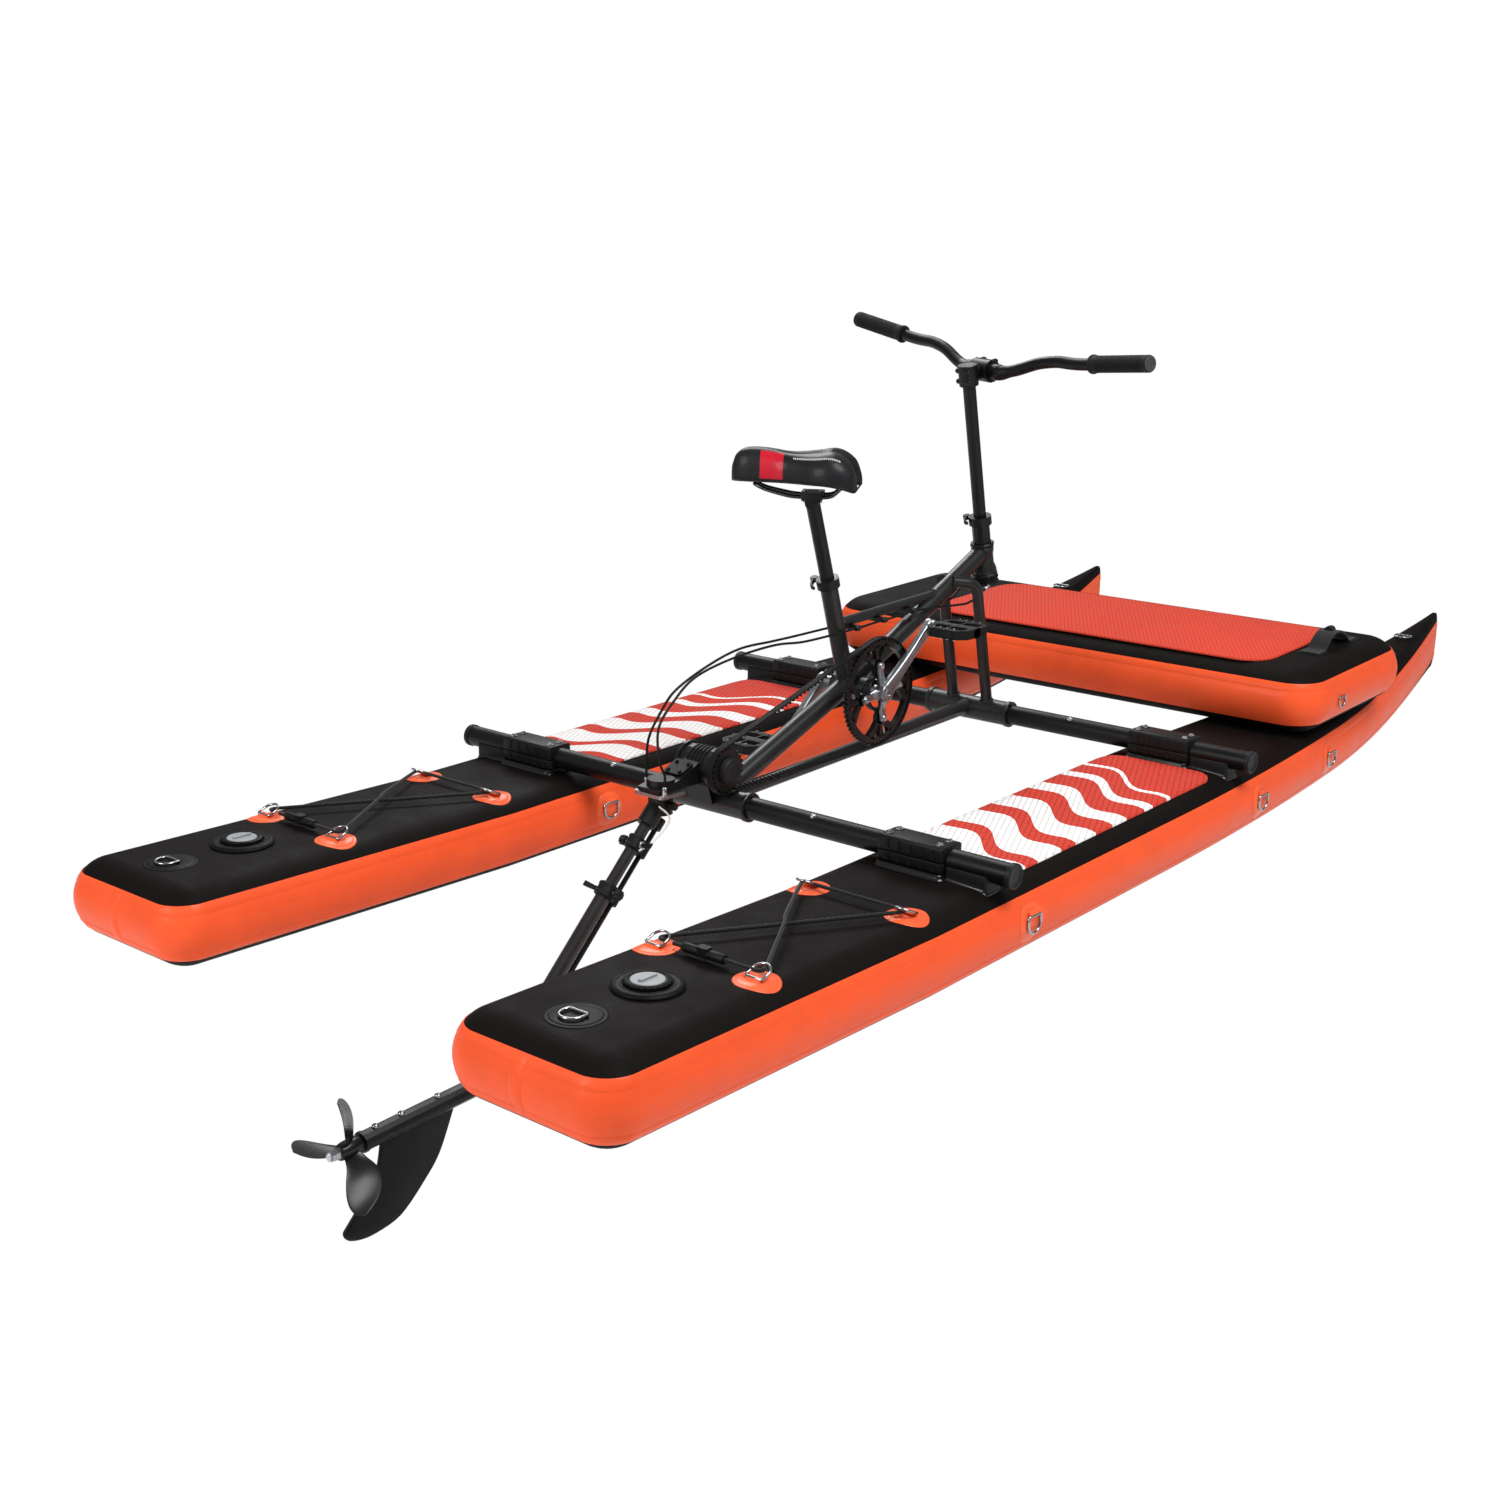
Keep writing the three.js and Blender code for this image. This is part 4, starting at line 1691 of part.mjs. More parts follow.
// Skeg fin with chamfered edges, fitted under the gearcase
function skegFin() {
  const shape = new THREE.Shape(fin.outline.map(([x, z]) => new THREE.Vector2(x, z)));
  const depth = fin.thickness - 2 * fin.bevel;
  const geometry = new THREE.ExtrudeGeometry(shape, {
    depth, bevelEnabled: true, bevelThickness: fin.bevel, bevelSize: fin.edge, bevelOffset: -fin.edge, bevelSegments: 1,
  });
  geometry.applyMatrix4(new THREE.Matrix4().makeBasis(alongX, alongZ, alongY.clone().negate()));
  return cut(geometry.translate(0, depth / 2, 0), [podShell(clearance)]);
}

place('steering_plate', steeringPlate(), forgedSilver());
place('leg_head', legHead(), blackPaint());
place('upper_leg_tube', rod(onLeg(leg.upperStart), onLeg(leg.upperEnd), leg.upperRadius), satinPaint());
place('guide_rod', rod(
  onLeg(leg.rodStart, leg.rodOffset), onLeg(leg.rodEnd, leg.rodOffset), leg.rodRadius, leg.rodRadius, sides.small + 2,
), blackPaint());
place('upper_leg_clamp', legClamp(leg.upperClamp, leg.upperRadius, 1), blackPlastic());
place('lower_leg_tube', pipe(
  onLeg(leg.lowerStart), onLeg(leg.lowerEnd), leg.lowerRadius, leg.upperRadius + clearance,
), satinPaint());
place('lower_leg_clamp', legClamp(leg.lowerClamp, leg.lowerRadius, -1), blackPlastic());
place('gearcase', gearcase(), blackPaint());
place('fin', skegFin(), blackPlastic());

// Propeller on its shaft, held by a nut

const aftward = podAxis(0).sub(podAxis(1)).normalize();
const hubFront = podAxis(pod.rear - prop.gap);

function onShaft(distance) {
  return hubFront.clone().addScaledVector(aftward, distance);
}

function propellerShaft() {
  const hubEnd = prop.hubLength + clearance;
  const shaft = rod(onShaft(-prop.shaftInside), onShaft(hubEnd + prop.nutLength + prop.shaftEnd), prop.shaftRadius);
  const nut = rod(onShaft(hubEnd), onShaft(hubEnd + prop.nutLength), prop.nutRadius, prop.nutRadius * prop.nutTaper,
    sides.small);
  return join([shaft, nut]);
}

function propellerBlade(index) {
  const angle = prop.turned * degree + (2 * Math.PI * index) / prop.blades;
  const square = aftward.clone().negate();
  const outward = vec(0, Math.sin(angle), Math.cos(angle));
  outward.addScaledVector(square, -outward.dot(square)).normalize();
  const sideways = outward.clone().cross(square).negate();
  const rings = bladeWidthShares.map(([share, widthShare]) => {
    const half = prop.halfWidth * widthShare;
    const reach = (share - prop.rootShare) / (1 - prop.rootShare);
    const pitch = THREE.MathUtils.lerp(prop.rootPitch, prop.tipPitch, reach) * degree;
    const thick = prop.halfThickness * THREE.MathUtils.lerp(1, prop.tipThicknessShare, reach);
    const chord = sideways.clone().multiplyScalar(Math.cos(pitch)).addScaledVector(square, Math.sin(pitch));
    const normal = square.clone().multiplyScalar(Math.cos(pitch)).addScaledVector(sideways, -Math.sin(pitch));
    const centre = onShaft(prop.hubLength / 2 + prop.rake * reach ** prop.rakePower).addScaledVector(outward, prop.radius * share);
    return bladeFoil.map(([across, up]) => centre.clone()
      .addScaledVector(chord, half * across).addScaledVector(normal, thick * up));
  });
  return loft(rings);
}

function propeller() {
  const hub = turned([
    [0, 0], [prop.hubRadius, 0], [prop.hubRadius, prop.hubLength * prop.hubBendShare], [prop.hubEndRadius, prop.hubLength],
    [0, prop.hubLength],
  ], onShaft(0), aftward);
  const blades = Array.from({ length: prop.blades }, (_, i) => propellerBlade(i));
  return cut(join([hub, ...blades]), [rod(onShaft(-overrun), onShaft(2 * prop.hubLength), prop.shaftRadius + clearance)]);
}

place('propeller_shaft', propellerShaft(), polishedSteel());
place('propeller', propeller(), blackPlastic());

// Steering cables from the drum through the guides and over the gearbox to the steering plate

function steeringCable(route, side) {
  const points = route.map(([x, y, z]) => vec(x, y, z));
  const guides = [...guide.stationShares].reverse().flatMap((share) => {
    const middle = guideCentre(share).setY(side * guide.spacing);
    return [middle.clone().setX(middle.x + guide.length), middle, middle.clone().setX(middle.x - guide.length)];
  });
  const ahead = points.findIndex((point) => point.x < guides[guides.length - 1].x);
  points.splice(ahead, 0, ...guides);
  const end = points[points.length - 1].clone().setZ(swivel.plateTop + clearance + overrun);
  const cord = cordAlong([...points, end], cable.radius, sides.cord, cable.steps);
  const low = end.clone().setZ(swivel.plateTop + clearance);
  const ferrule = rod(low, low.clone().setZ(low.z + cable.ferruleLength), cable.ferruleRadius, cable.ferruleRadius,
    sides.small);
  return join([cord, ferrule]);
}

place('starboard_steering_cable', steeringCable(starboardCableRoute, -1), blackRubber());
place('port_steering_cable', steeringCable(portCableRoute, 1), blackRubber());
place('leg_cord', cordAlong(
  legCord.route.map(([x, y, z]) => vec(x, y, z)), legCord.radius, sides.cord, legCord.steps,
), whitePlastic());

export default group;
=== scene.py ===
"""Dresses the pontoon water bike: two inflatable hulls, a bolted bike frame, a belt drive and a propeller leg.

Lengths in the classes are in millimetres, in the frame's own axes: X to the bow, Y to port and Z up.
"""

import json
import logging
import math
from dataclasses import dataclass
from enum import Enum
from typing import Callable, Sequence

import bmesh
import bpy
from mathutils import Matrix, Vector, noise
from mathutils.geometry import tessellate_polygon

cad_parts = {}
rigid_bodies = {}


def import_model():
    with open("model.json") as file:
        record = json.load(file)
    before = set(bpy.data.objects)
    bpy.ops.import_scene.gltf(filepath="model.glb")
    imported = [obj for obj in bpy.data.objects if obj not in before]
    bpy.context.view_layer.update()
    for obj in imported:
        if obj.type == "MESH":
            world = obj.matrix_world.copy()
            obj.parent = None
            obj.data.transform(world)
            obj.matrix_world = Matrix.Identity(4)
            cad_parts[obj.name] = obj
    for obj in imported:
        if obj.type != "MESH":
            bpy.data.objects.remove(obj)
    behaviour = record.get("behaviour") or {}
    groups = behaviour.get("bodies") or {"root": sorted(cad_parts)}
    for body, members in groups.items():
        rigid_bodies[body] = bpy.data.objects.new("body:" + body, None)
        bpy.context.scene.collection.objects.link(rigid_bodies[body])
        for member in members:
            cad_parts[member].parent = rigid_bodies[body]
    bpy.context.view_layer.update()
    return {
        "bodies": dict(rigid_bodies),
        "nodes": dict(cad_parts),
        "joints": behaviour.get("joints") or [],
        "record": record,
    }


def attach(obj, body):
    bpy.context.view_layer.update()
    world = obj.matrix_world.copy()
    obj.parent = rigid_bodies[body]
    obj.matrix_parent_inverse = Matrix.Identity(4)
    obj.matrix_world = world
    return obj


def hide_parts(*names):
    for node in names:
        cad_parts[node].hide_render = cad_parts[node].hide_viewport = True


LOG = logging.getLogger("water_bike")
Pair = tuple[float, float]
Feed = bpy.types.Node | bpy.types.NodeSocket
MM = 0.001
SIDES = (("starboard", -1), ("port", 1))
ALONG_X, ALONG_Y, ALONG_Z = Vector((1, 0, 0)), Vector((0, 1, 0)), Vector((0, 0, 1))
QUARTERS = ((1, 1, 0), (-1, 1, 90), (-1, -1, 180), (1, -1, 270))
CLEARANCE = 0.3
SHARP_DEGREES = 34


# Finishes


def linear(colour: str) -> tuple[float, float, float, float]:
    """Turns an sRGB hex colour to the linear red, green, blue and alpha that the shader wants.

    Args:
        colour: Six hex digits.

    Returns:
        The four values, with an alpha of one.
    """
    toe, slope, offset, power = 0.04045, 12.92, 0.055, 2.4
    shares = [int(colour[i : i + 2], 16) / 255 for i in (0, 2, 4)]
    return (*(s / slope if s <= toe else ((s + offset) / (1 + offset)) ** power for s in shares), 1.0)


def add_node(tree: bpy.types.NodeTree, kind: str, inputs: dict | None = None, **settings) -> bpy.types.Node:
    """Adds a shader node with its settings, values and links.

    Args:
        tree: The material's node tree.
        kind: Blender's name of the node type, without its ShaderNode prefix.
        inputs: For each input, by name or number, a value, or the output or node that feeds it.
        settings: Attributes of the node itself.

    Returns:
        The new node.
    """
    node = tree.nodes.new("ShaderNode" + kind)
    for key, value in settings.items():
        setattr(node, key, value)
    for key, value in (inputs or {}).items():
        if isinstance(value, Feed):
            tree.links.new(value.outputs[0] if isinstance(value, bpy.types.Node) else value, node.inputs[key])
        else:
            node.inputs[key].default_value = value
    return node


@dataclass(frozen=True)
class Ground:
    """A material in the making: its node tree, its shader and the object coordinates in metres."""

    tree: bpy.types.NodeTree
    shader: bpy.types.Node
    place: bpy.types.NodeSocket


@dataclass(frozen=True)
class Finish:
    """A surface: what it is made of, and how that was worked."""

    name: str
    colour: str
    roughness: float
    metallic: float = 0.0
    grain_mm: float = 3.0
    depth_mm: float = 0.1
    mottle: float = 0.12
    coat: float = 0.0
    sheen: float = 0.0
    specular: float = 0.2

    def material(self) -> bpy.types.Material:
        """Makes the material of this finish at the first call.

        Returns:
            The material.
        """
        made = bpy.data.materials.get(self.name)
        if made is None:
            made = bpy.data.materials.new(self.name)
            made.use_nodes = True
            tree = made.node_tree
            shader = tree.nodes["Principled BSDF"]
            values = {"Base Color": linear(self.colour), "Roughness": self.roughness, "Metallic": self.metallic,
                      "Coat Weight": self.coat, "Sheen Weight": self.sheen}
            if not self.metallic:
                values["Specular IOR Level"] = self.specular
            for key, value in values.items():
                shader.inputs[key].default_value = value
            self.pattern(Ground(tree, shader, add_node(tree, "TexCoord").outputs["Object"]))
        return made

    def pattern(self, on: Ground) -> None:
        """Adds grain relief, slight unevenness of colour and handling marks in the gloss.

        Args:
            on: The material in the making.
        """
        grain = add_node(on.tree, "TexNoise", {"Vector": on.place, "Scale": 1 / (self.grain_mm * MM), "Detail": 3})
        self.relief(on, grain, self.depth_mm)
        self.unevenness(on)

    def relief(self, on: Ground, height: Feed, depth_mm: float, below: Feed | None = None) -> bpy.types.Node:
        """Raises the surface by a height pattern.

        Args:
            on: The material in the making.
            height: The pattern, from 0 to 1.
            depth_mm: How far the pattern stands out.
            below: The coarser relief that this one lies on.

        Returns:
            The raised surface.
        """
        inputs = {"Height": height, "Distance": depth_mm * MM, "Strength": 1.0}
        bump = add_node(on.tree, "Bump", inputs if below is None else inputs | {"Normal": below})
        on.tree.links.new(bump.outputs[0], on.shader.inputs["Normal"])
        return bump

    def unevenness(self, on: Ground) -> bpy.types.Node:
        """Varies colour and gloss a little over hand-sized areas.

        Args:
            on: The material in the making.

        Returns:
            The varied colour.
        """
        patch_mm, gloss_change, low, high = 70, 0.06, 0.3, 0.7
        cloud = add_node(on.tree, "TexNoise", {"Vector": on.place, "Scale": 1 / (patch_mm * MM), "Detail": 4})
        value = add_node(on.tree, "MapRange", {0: cloud, 1: low, 2: high, 3: 1 - self.mottle, 4: 1 + self.mottle})
        tone = add_node(on.tree, "VectorMath", {0: linear(self.colour)[:3], "Scale": value}, operation="SCALE")
        gloss = add_node(on.tree, "MapRange", {0: cloud, 1: low, 2: high, 3: self.roughness - gloss_change,
                                               4: self.roughness + gloss_change})
        on.tree.links.new(tone.outputs[0], on.shader.inputs["Base Color"])
        on.tree.links.new(gloss.outputs[0], on.shader.inputs["Roughness"])
        return tone


@dataclass(frozen=True)
class CoatedFabric(Finish):
    """PVC-coated drop-stitch cloth: the calendered skin shows a soft cell pattern and shallow pulls."""

    pull_mm: float = 60.0
    pull_depth_mm: float = 0.9

    def pattern(self, on: Ground) -> None:
        """Adds the cells of the calender roll over the wide pulls of the stitched core.

        Args:
            on: The material in the making.
        """
        # The real cells are 1.5 mm wide, so they are drawn at grain_mm to show
        pulls = add_node(on.tree, "TexNoise", {"Vector": on.place, "Scale": 1 / (self.pull_mm * MM), "Detail": 2})
        wide = self.relief(on, pulls, self.pull_depth_mm)
        cells = add_node(on.tree, "TexVoronoi", {"Vector": on.place, "Scale": 1 / (self.grain_mm * MM)})
        self.relief(on, cells, self.depth_mm, wide)
        self.unevenness(on)


class Print(Enum):
    """What is printed on a deck pad."""

    BARE = "bare"
    WAVES = "waves"


@dataclass(frozen=True)
class EmbossedFoam(Finish):
    """EVA foam sheet, hot-pressed with a diamond grid: matt, with darker grooves that shed water."""

    diamond_mm: Pair = (24.0, 11.0)
    groove_share: float = 0.15
    groove_depth_mm: float = 1.2
    # Share of the colour left at the bottom of a groove: painted shade
    painted_groove_shade: float = 0.76
    motif: Print = Print.BARE
    motif_colour: str = "F2EFEE"
    motif_start_mm: float = 950.0
    motif_length_mm: float = 560.0

    # Where each printed band starts and ends, as shares of the motif
    bands_shares = ((0.02, 0.14), (0.2, 0.33), (0.41, 0.52), (0.62, 0.7), (0.81, 0.86), (0.95, 0.975))

    def groove(self, on: Ground, turn: int) -> bpy.types.Node:
        """Draws one set of slanting grooves.

        Args:
            on: The material in the making.
            turn: Which way the grooves slant, -1 or 1.

        Returns:
            The height, 0 in a groove and 1 between them.
        """
        along, across = self.diamond_mm
        slant = (1 / (along * MM), turn / (across * MM), 0)
        value = add_node(on.tree, "VectorMath", {0: on.place, 1: slant}, operation="DOT_PRODUCT").outputs["Value"]
        for operation, other in (("FRACT", 0.5), ("SUBTRACT", 0.5), ("ABSOLUTE", 0.5)):
            value = add_node(on.tree, "Math", {0: value, 1: other}, operation=operation)
        return add_node(on.tree, "MapRange", {0: value, 1: 0.02, 2: self.groove_share},
                        interpolation_type="SMOOTHSTEP")

    def waves(self, on: Ground) -> bpy.types.Node:
        """Draws the printed wave bands, which run slanting over the pad and thin out to the bow.

        Args:
            on: The material in the making.

        Returns:
            The share of print, 1 on a band and 0 beside it.
        """
        hull_centre, wave_length, wave_height, lean = 449, 150, 17, 0.55
        split = add_node(on.tree, "SeparateXYZ", {0: on.place})
        value = split.outputs[1]
        steps = []
        for operation, inputs in (
            ("ABSOLUTE", {}), ("SUBTRACT", {1: hull_centre * MM}), ("MULTIPLY", {1: math.tau / (wave_length * MM)}),
            ("SINE", {}), ("MULTIPLY_ADD", {1: wave_height * MM, 2: split}),
        ):
            value = add_node(on.tree, "Math", {0: value} | inputs, operation=operation)
            steps.append(value)
        along = add_node(on.tree, "Math", {0: steps[1], 1: lean, 2: value}, operation="MULTIPLY_ADD")
        share = add_node(on.tree, "MapRange", {0: along, 1: self.motif_start_mm * MM,
                                               2: (self.motif_start_mm + self.motif_length_mm) * MM})
        ramp = add_node(on.tree, "ValToRGB", {0: share})
        ramp.color_ramp.interpolation = "CONSTANT"
        marks = ramp.color_ramp.elements
        marks[0].color = marks[1].color = (0, 0, 0, 1)
        for start, end in self.bands_shares:
            marks.new(start).color = (1, 1, 1, 1)
            marks.new(end).color = (0, 0, 0, 1)
        return ramp

    def pattern(self, on: Ground) -> None:
        """Adds the diamond grooves, the foam's pores and the print.

        Args:
            on: The material in the making.
        """
        height = add_node(on.tree, "Math", {0: self.groove(on, 1), 1: self.groove(on, -1)}, operation="MINIMUM")
        pressed = self.relief(on, height, self.groove_depth_mm)
        pores = add_node(on.tree, "TexNoise", {"Vector": on.place, "Scale": 1 / (self.grain_mm * MM), "Detail": 2})
        self.relief(on, pores, self.depth_mm, pressed)
        tone = self.unevenness(on)
        if self.motif is Print.WAVES:
            tone = add_node(on.tree, "Mix", {0: self.waves(on), 6: tone, 7: linear(self.motif_colour)},
                            data_type="RGBA").outputs[2]
        # Painted shade: the colour is darkened towards the bottom of each groove
        shade = add_node(on.tree, "MapRange", {0: height, 3: self.painted_groove_shade, 4: 1.0})
        shaded = add_node(on.tree, "VectorMath", {0: tone, "Scale": shade}, operation="SCALE")
        on.tree.links.new(shaded.outputs[0], on.shader.inputs["Base Color"])


@dataclass(frozen=True)
class BrushedMetal(Finish):
    """Bare metal: forged, rolled or brushed, with fine marks that spread its reflections."""

    metallic: float = 1.0
    mark_mm: float = 1.5

    def pattern(self, on: Ground) -> None:
        """Adds long marks of the brush and duller places where hands and spray have been.

        Args:
            on: The material in the making.
        """
        stretched = add_node(on.tree, "Mapping", {"Vector": on.place, "Scale": (0.15, 1, 0.4)})
        marks = add_node(on.tree, "TexNoise", {"Vector": stretched, "Scale": 1 / (self.mark_mm * MM), "Detail": 4})
        self.relief(on, marks, self.depth_mm)
        self.unevenness(on)


@dataclass(frozen=True)
class Braid(Finish):
    """A braided sheath over rubber or steel: two sets of strands cross at the strand width."""

    strand_mm: float = 2.2
    turns_round: int = 5

    def pattern(self, on: Ground) -> None:
        """Adds crossed strands along the cord, from the lengthwise and round-about coordinates.

        Args:
            on: The material in the making.
        """
        cord = add_node(on.tree, "UVMap", uv_map="along")
        strands = []
        for lean in (1, -1):
            pitch = (1 / (self.strand_mm * MM) / math.tau, lean * self.turns_round / math.pi, 0)
            wound = add_node(on.tree, "VectorMath", {0: cord, 1: pitch}, operation="MULTIPLY")
            strands.append(add_node(on.tree, "TexWave", {"Vector": wound, "Scale": 1.0},
                                    bands_direction="DIAGONAL").outputs[1])
        height = add_node(on.tree, "Math", {0: strands[0], 1: strands[1]}, operation="MAXIMUM")
        self.relief(on, height, self.depth_mm)
        self.unevenness(on)


# Drop-stitch PVC, calendered: satin, with shallow pulls where the wall turns
HULL_ORANGE = CoatedFabric("orange_pvc_sidewall", "E8552B", 0.42, depth_mm=0.05, mottle=0.05, coat=0.05,
                           specular=0.12)
# The same cloth rolled with a coarser non-slip cell, so it looks duller and slightly brown in the light
DECK_BLACK = CoatedFabric("black_pvc_deck", "0D0908", 0.64, grain_mm=4.0, depth_mm=0.35, specular=0.07,
                          pull_depth_mm=0.5)
PATCH_ORANGE = CoatedFabric("orange_pvc_patch", "EA5E34", 0.34, depth_mm=0.05, coat=0.1, pull_depth_mm=0.2)
PATCH_BLACK = CoatedFabric("black_pvc_patch", "0B0A0A", 0.5, depth_mm=0.05, specular=0.1, pull_depth_mm=0.2)
# Hot-pressed EVA: chalky red, the print a little glossier white
PAD_RED = EmbossedFoam("red_eva_deck_pad", "CB3F30", 0.8, grain_mm=1.6, depth_mm=0.15, mottle=0.04, motif=Print.WAVES)
FLOAT_RED = EmbossedFoam("red_eva_float_pad", "D2432F", 0.8, grain_mm=1.6, depth_mm=0.15, mottle=0.04,
                         diamond_mm=(15.0, 9.5), groove_depth_mm=0.7)
# Powder coat on welded aluminium tube: satin charcoal with a fine orange peel
FRAME_GREY = Finish("charcoal_powder_coat", "18191A", 0.34, 0, 1.2, 0.05, 0.06, specular=0.4)
# Anodised aluminium tube: deeper black than paint, with a tighter highlight
BAR_BLACK = Finish("black_anodised_tube", "070708", 0.4, 0, 1.0, 0.03, 0.1, specular=0.22)
GLOSS_BLACK = Finish("glossy_black_nylon", "0B0B0C", 0.28, 0, 2.2, 0.04, specular=0.35)
ALLOY_BLACK = Finish("black_anodised_forging", "0E0F10", 0.4, 0.45, 0.9, 0.05)
# Forged and tumbled aluminium: pale, slightly grey, with long soft reflections; its colour is darkened here as a
# painted reflection of dark surroundings
FORGED_SILVER = BrushedMetal("tumbled_aluminium_forging", "989B9F", 0.33, depth_mm=0.06, mottle=0.07)
# Drawn and plated steel: bright, because the wire's own die polishes it
STEEL = BrushedMetal("stainless_steel_wire", "A2A4A7", 0.2, depth_mm=0.02, mottle=0.05)
BLACK_CHROME = BrushedMetal("black_chromed_wire", "4A4B4E", 0.22, depth_mm=0.02)
BOLT_STEEL = BrushedMetal("zinc_plated_steel", "B9BCC0", 0.28, depth_mm=0.03)
# Glass-filled nylon and other mouldings: dull, with a spark-eroded grain
NYLON_BLACK = Finish("moulded_black_nylon", "0D0E0F", 0.5, 0, 1.1, 0.08)
CAP_BLACK = Finish("moulded_black_polyethylene", "17181A", 0.48, 0, 1.4, 0.06)
VALVE_GREY = Finish("moulded_grey_pvc", "8E9193", 0.45, 0, 1.5, 0.05)
PLUG_GREY = Finish("moulded_grey_nylon", "3B3D3F", 0.5, 0, 1.2, 0.08)
# Rubber: near black, soft in the light where it is moulded and wet-looking where it is dipped
TOUGH_RUBBER = Finish("moulded_black_rubber", "0F0F10", 0.72, 0, 1.6, 0.12, sheen=0.1)
GLOSS_RUBBER = Finish("dipped_black_rubber", "090909", 0.26, 0, 2.5, 0.08, specular=0.5)
BELT_RUBBER = Finish("toothed_belt_rubber", "101011", 0.62, 0, 1.8, 0.15)
# Woven and braided yarn: matt, with a faint sheen at its edges
WEBBING = Finish("woven_polyester_webbing", "0E0E10", 0.85, 0, 1.5, 0.4, sheen=0.2)
BUNGEE = Braid("braided_bungee_sheath", "101012", 0.7, depth_mm=0.5, sheen=0.15)
CABLE_SLEEVE = Braid("black_cable_housing", "0E0E10", 0.45, depth_mm=0.15, strand_mm=1.6)
CORD_WHITE = Braid("braided_white_cord", "DAD8D2", 0.75, depth_mm=0.4, strand_mm=1.6)
# Embossed leatherette on moulded foam: satin, with a pebbled grain
SADDLE_BLACK = Finish("grained_black_leatherette", "161719", 0.46, 0, 1.7, 0.16, coat=0.06)
SADDLE_RED = Finish("grained_red_leatherette", "B91127", 0.4, 0, 1.7, 0.14, coat=0.1)
THREAD_WHITE = Finish("white_polyester_thread", "E4E2DD", 0.7, 0, 0.8, 0.1)

# What each slot of the record is made of, where the frame's own solid stays in view
SLOT_FINISH = {
    "hull_vinyl": HULL_ORANGE, "float_vinyl": HULL_ORANGE, "valve_plastic": VALVE_GREY, "bungee": BUNGEE,
    "deck_foam": PAD_RED, "float_foam": FLOAT_RED, "webbing": WEBBING, "bracket_paint": NYLON_BLACK,
    "bar_paint": BAR_BLACK, "frame_paint": FRAME_GREY, "black_alloy": ALLOY_BLACK, "forged_alloy": FORGED_SILVER,
    "steel": BOLT_STEEL, "saddle_cover": SADDLE_BLACK, "grip_rubber": TOUGH_RUBBER, "belt_rubber": BELT_RUBBER,
    "black_plastic": NYLON_BLACK, "cable_sleeve": CABLE_SLEEVE, "white_cord": CORD_WHITE,
}


# Places, lines and outlines


def vec(x: float, y: float, z: float) -> Vector:
    """Returns a place or direction in millimetres."""
    return Vector((x, y, z))


def upright(angle: float) -> Vector:
    """Returns the unit direction at an angle in radians above the bow's."""
    return vec(math.cos(angle), 0, math.sin(angle))


def polar(reach: float, angle: float) -> Pair:
    """Returns the pair at a reach and an angle in radians."""
    return reach * math.cos(angle), reach * math.sin(angle)


def square_to(axis: Vector) -> tuple[Vector, Vector]:
    """Finds two unit directions that are square to an axis and to each other.

    Args:
        axis: The axis.

    Returns:
        The two directions.
    """
    unit = axis.normalized()
    first = (ALONG_Z if abs(unit.z) < 0.9 else ALONG_X).cross(unit).normalized()
    return first, unit.cross(first)


def cubic(t: float) -> tuple[float, float, float, float]:
    """Returns the weights of a span's start, leaving slope, end and arriving slope at a share of it."""
    return 2 * t**3 - 3 * t**2 + 1, t**3 - 2 * t**2 + t, 3 * t**2 - 2 * t**3, t**3 - t**2


def through(points: Sequence[Vector], steps: int, tension: float = 0.5) -> list[Vector]:
    """Draws a smooth line through places.

    Args:
        points: The places.
        steps: Pieces between two places.
        tension: Share of the neighbours' span that sets each slope.

    Returns:
        Places on the line.
    """
    line, last = [], len(points) - 1
    for i in range(last):
        start, end = points[i], points[i + 1]
        leave = (end - points[max(i - 1, 0)]) * tension
        arrive = (points[min(i + 2, last)] - start) * tension
        for k in range(steps):
            a, b, c, d = cubic(k / steps)
            line.append(start * a + leave * b + end * c + arrive * d)
    return [*line, points[-1].copy()]


def follow(table: Sequence[Pair], place: float) -> float:
    """Reads a table, joined smoothly.

    Args:
        table: Pairs of place and value.
        place: Where it is read.

    Returns:
        The value there.
    """
    last = len(table) - 1
    i = max([k for k in range(last) if table[k][0] <= place], default=0)
    before, (x0, y0), (x1, y1), after = table[max(i - 1, 0)], table[i], table[i + 1], table[min(i + 2, last)]
    a, b, c, d = cubic((place - x0) / (x1 - x0))
    leave = (y1 - before[1]) / max(x1 - before[0], 1e-6) * (x1 - x0)
    arrive = (after[1] - y0) / max(after[0] - x0, 1e-6) * (x1 - x0)
    return y0 * a + leave * b + y1 * c + arrive * d


def rounded(half_length: float, half_width: float, radius: float, steps: int = 6) -> list[Pair]:
    """Draws a rectangle with round corners.

    Args:
        half_length: Half its size along the first axis.
        half_width: Half its size along the second.
        radius: The corners' radius.
        steps: Pieces of each corner.

    Returns:
        The outline, anticlockwise.
    """
    turns = [(x, y, math.radians(start + 90 * i / steps)) for x, y, start in QUARTERS for i in range(steps + 1)]
    return [(x * (half_length - radius) + radius * math.cos(turn), y * (half_width - radius) + radius * math.sin(turn))
            for x, y, turn in turns]


def circle(radius: float, steps: int = 24, x: float = 0.0, y: float = 0.0) -> list[Pair]:
    """Returns the outline of a circle, anticlockwise."""
    return [(x + a, y + b) for a, b in (polar(radius, math.tau * i / steps) for i in range(steps))]


def collar_profile(inner: float, outer: float, half: float, edge: float = 1.0) -> list[Pair]:
    """Returns the profile of a ring of a half height, with its outer edges broken."""
    return [(inner, -half), (outer - edge, -half), (outer, edge - half), (outer, half - edge), (outer - edge, half),
            (inner, half)]


# Mesh building


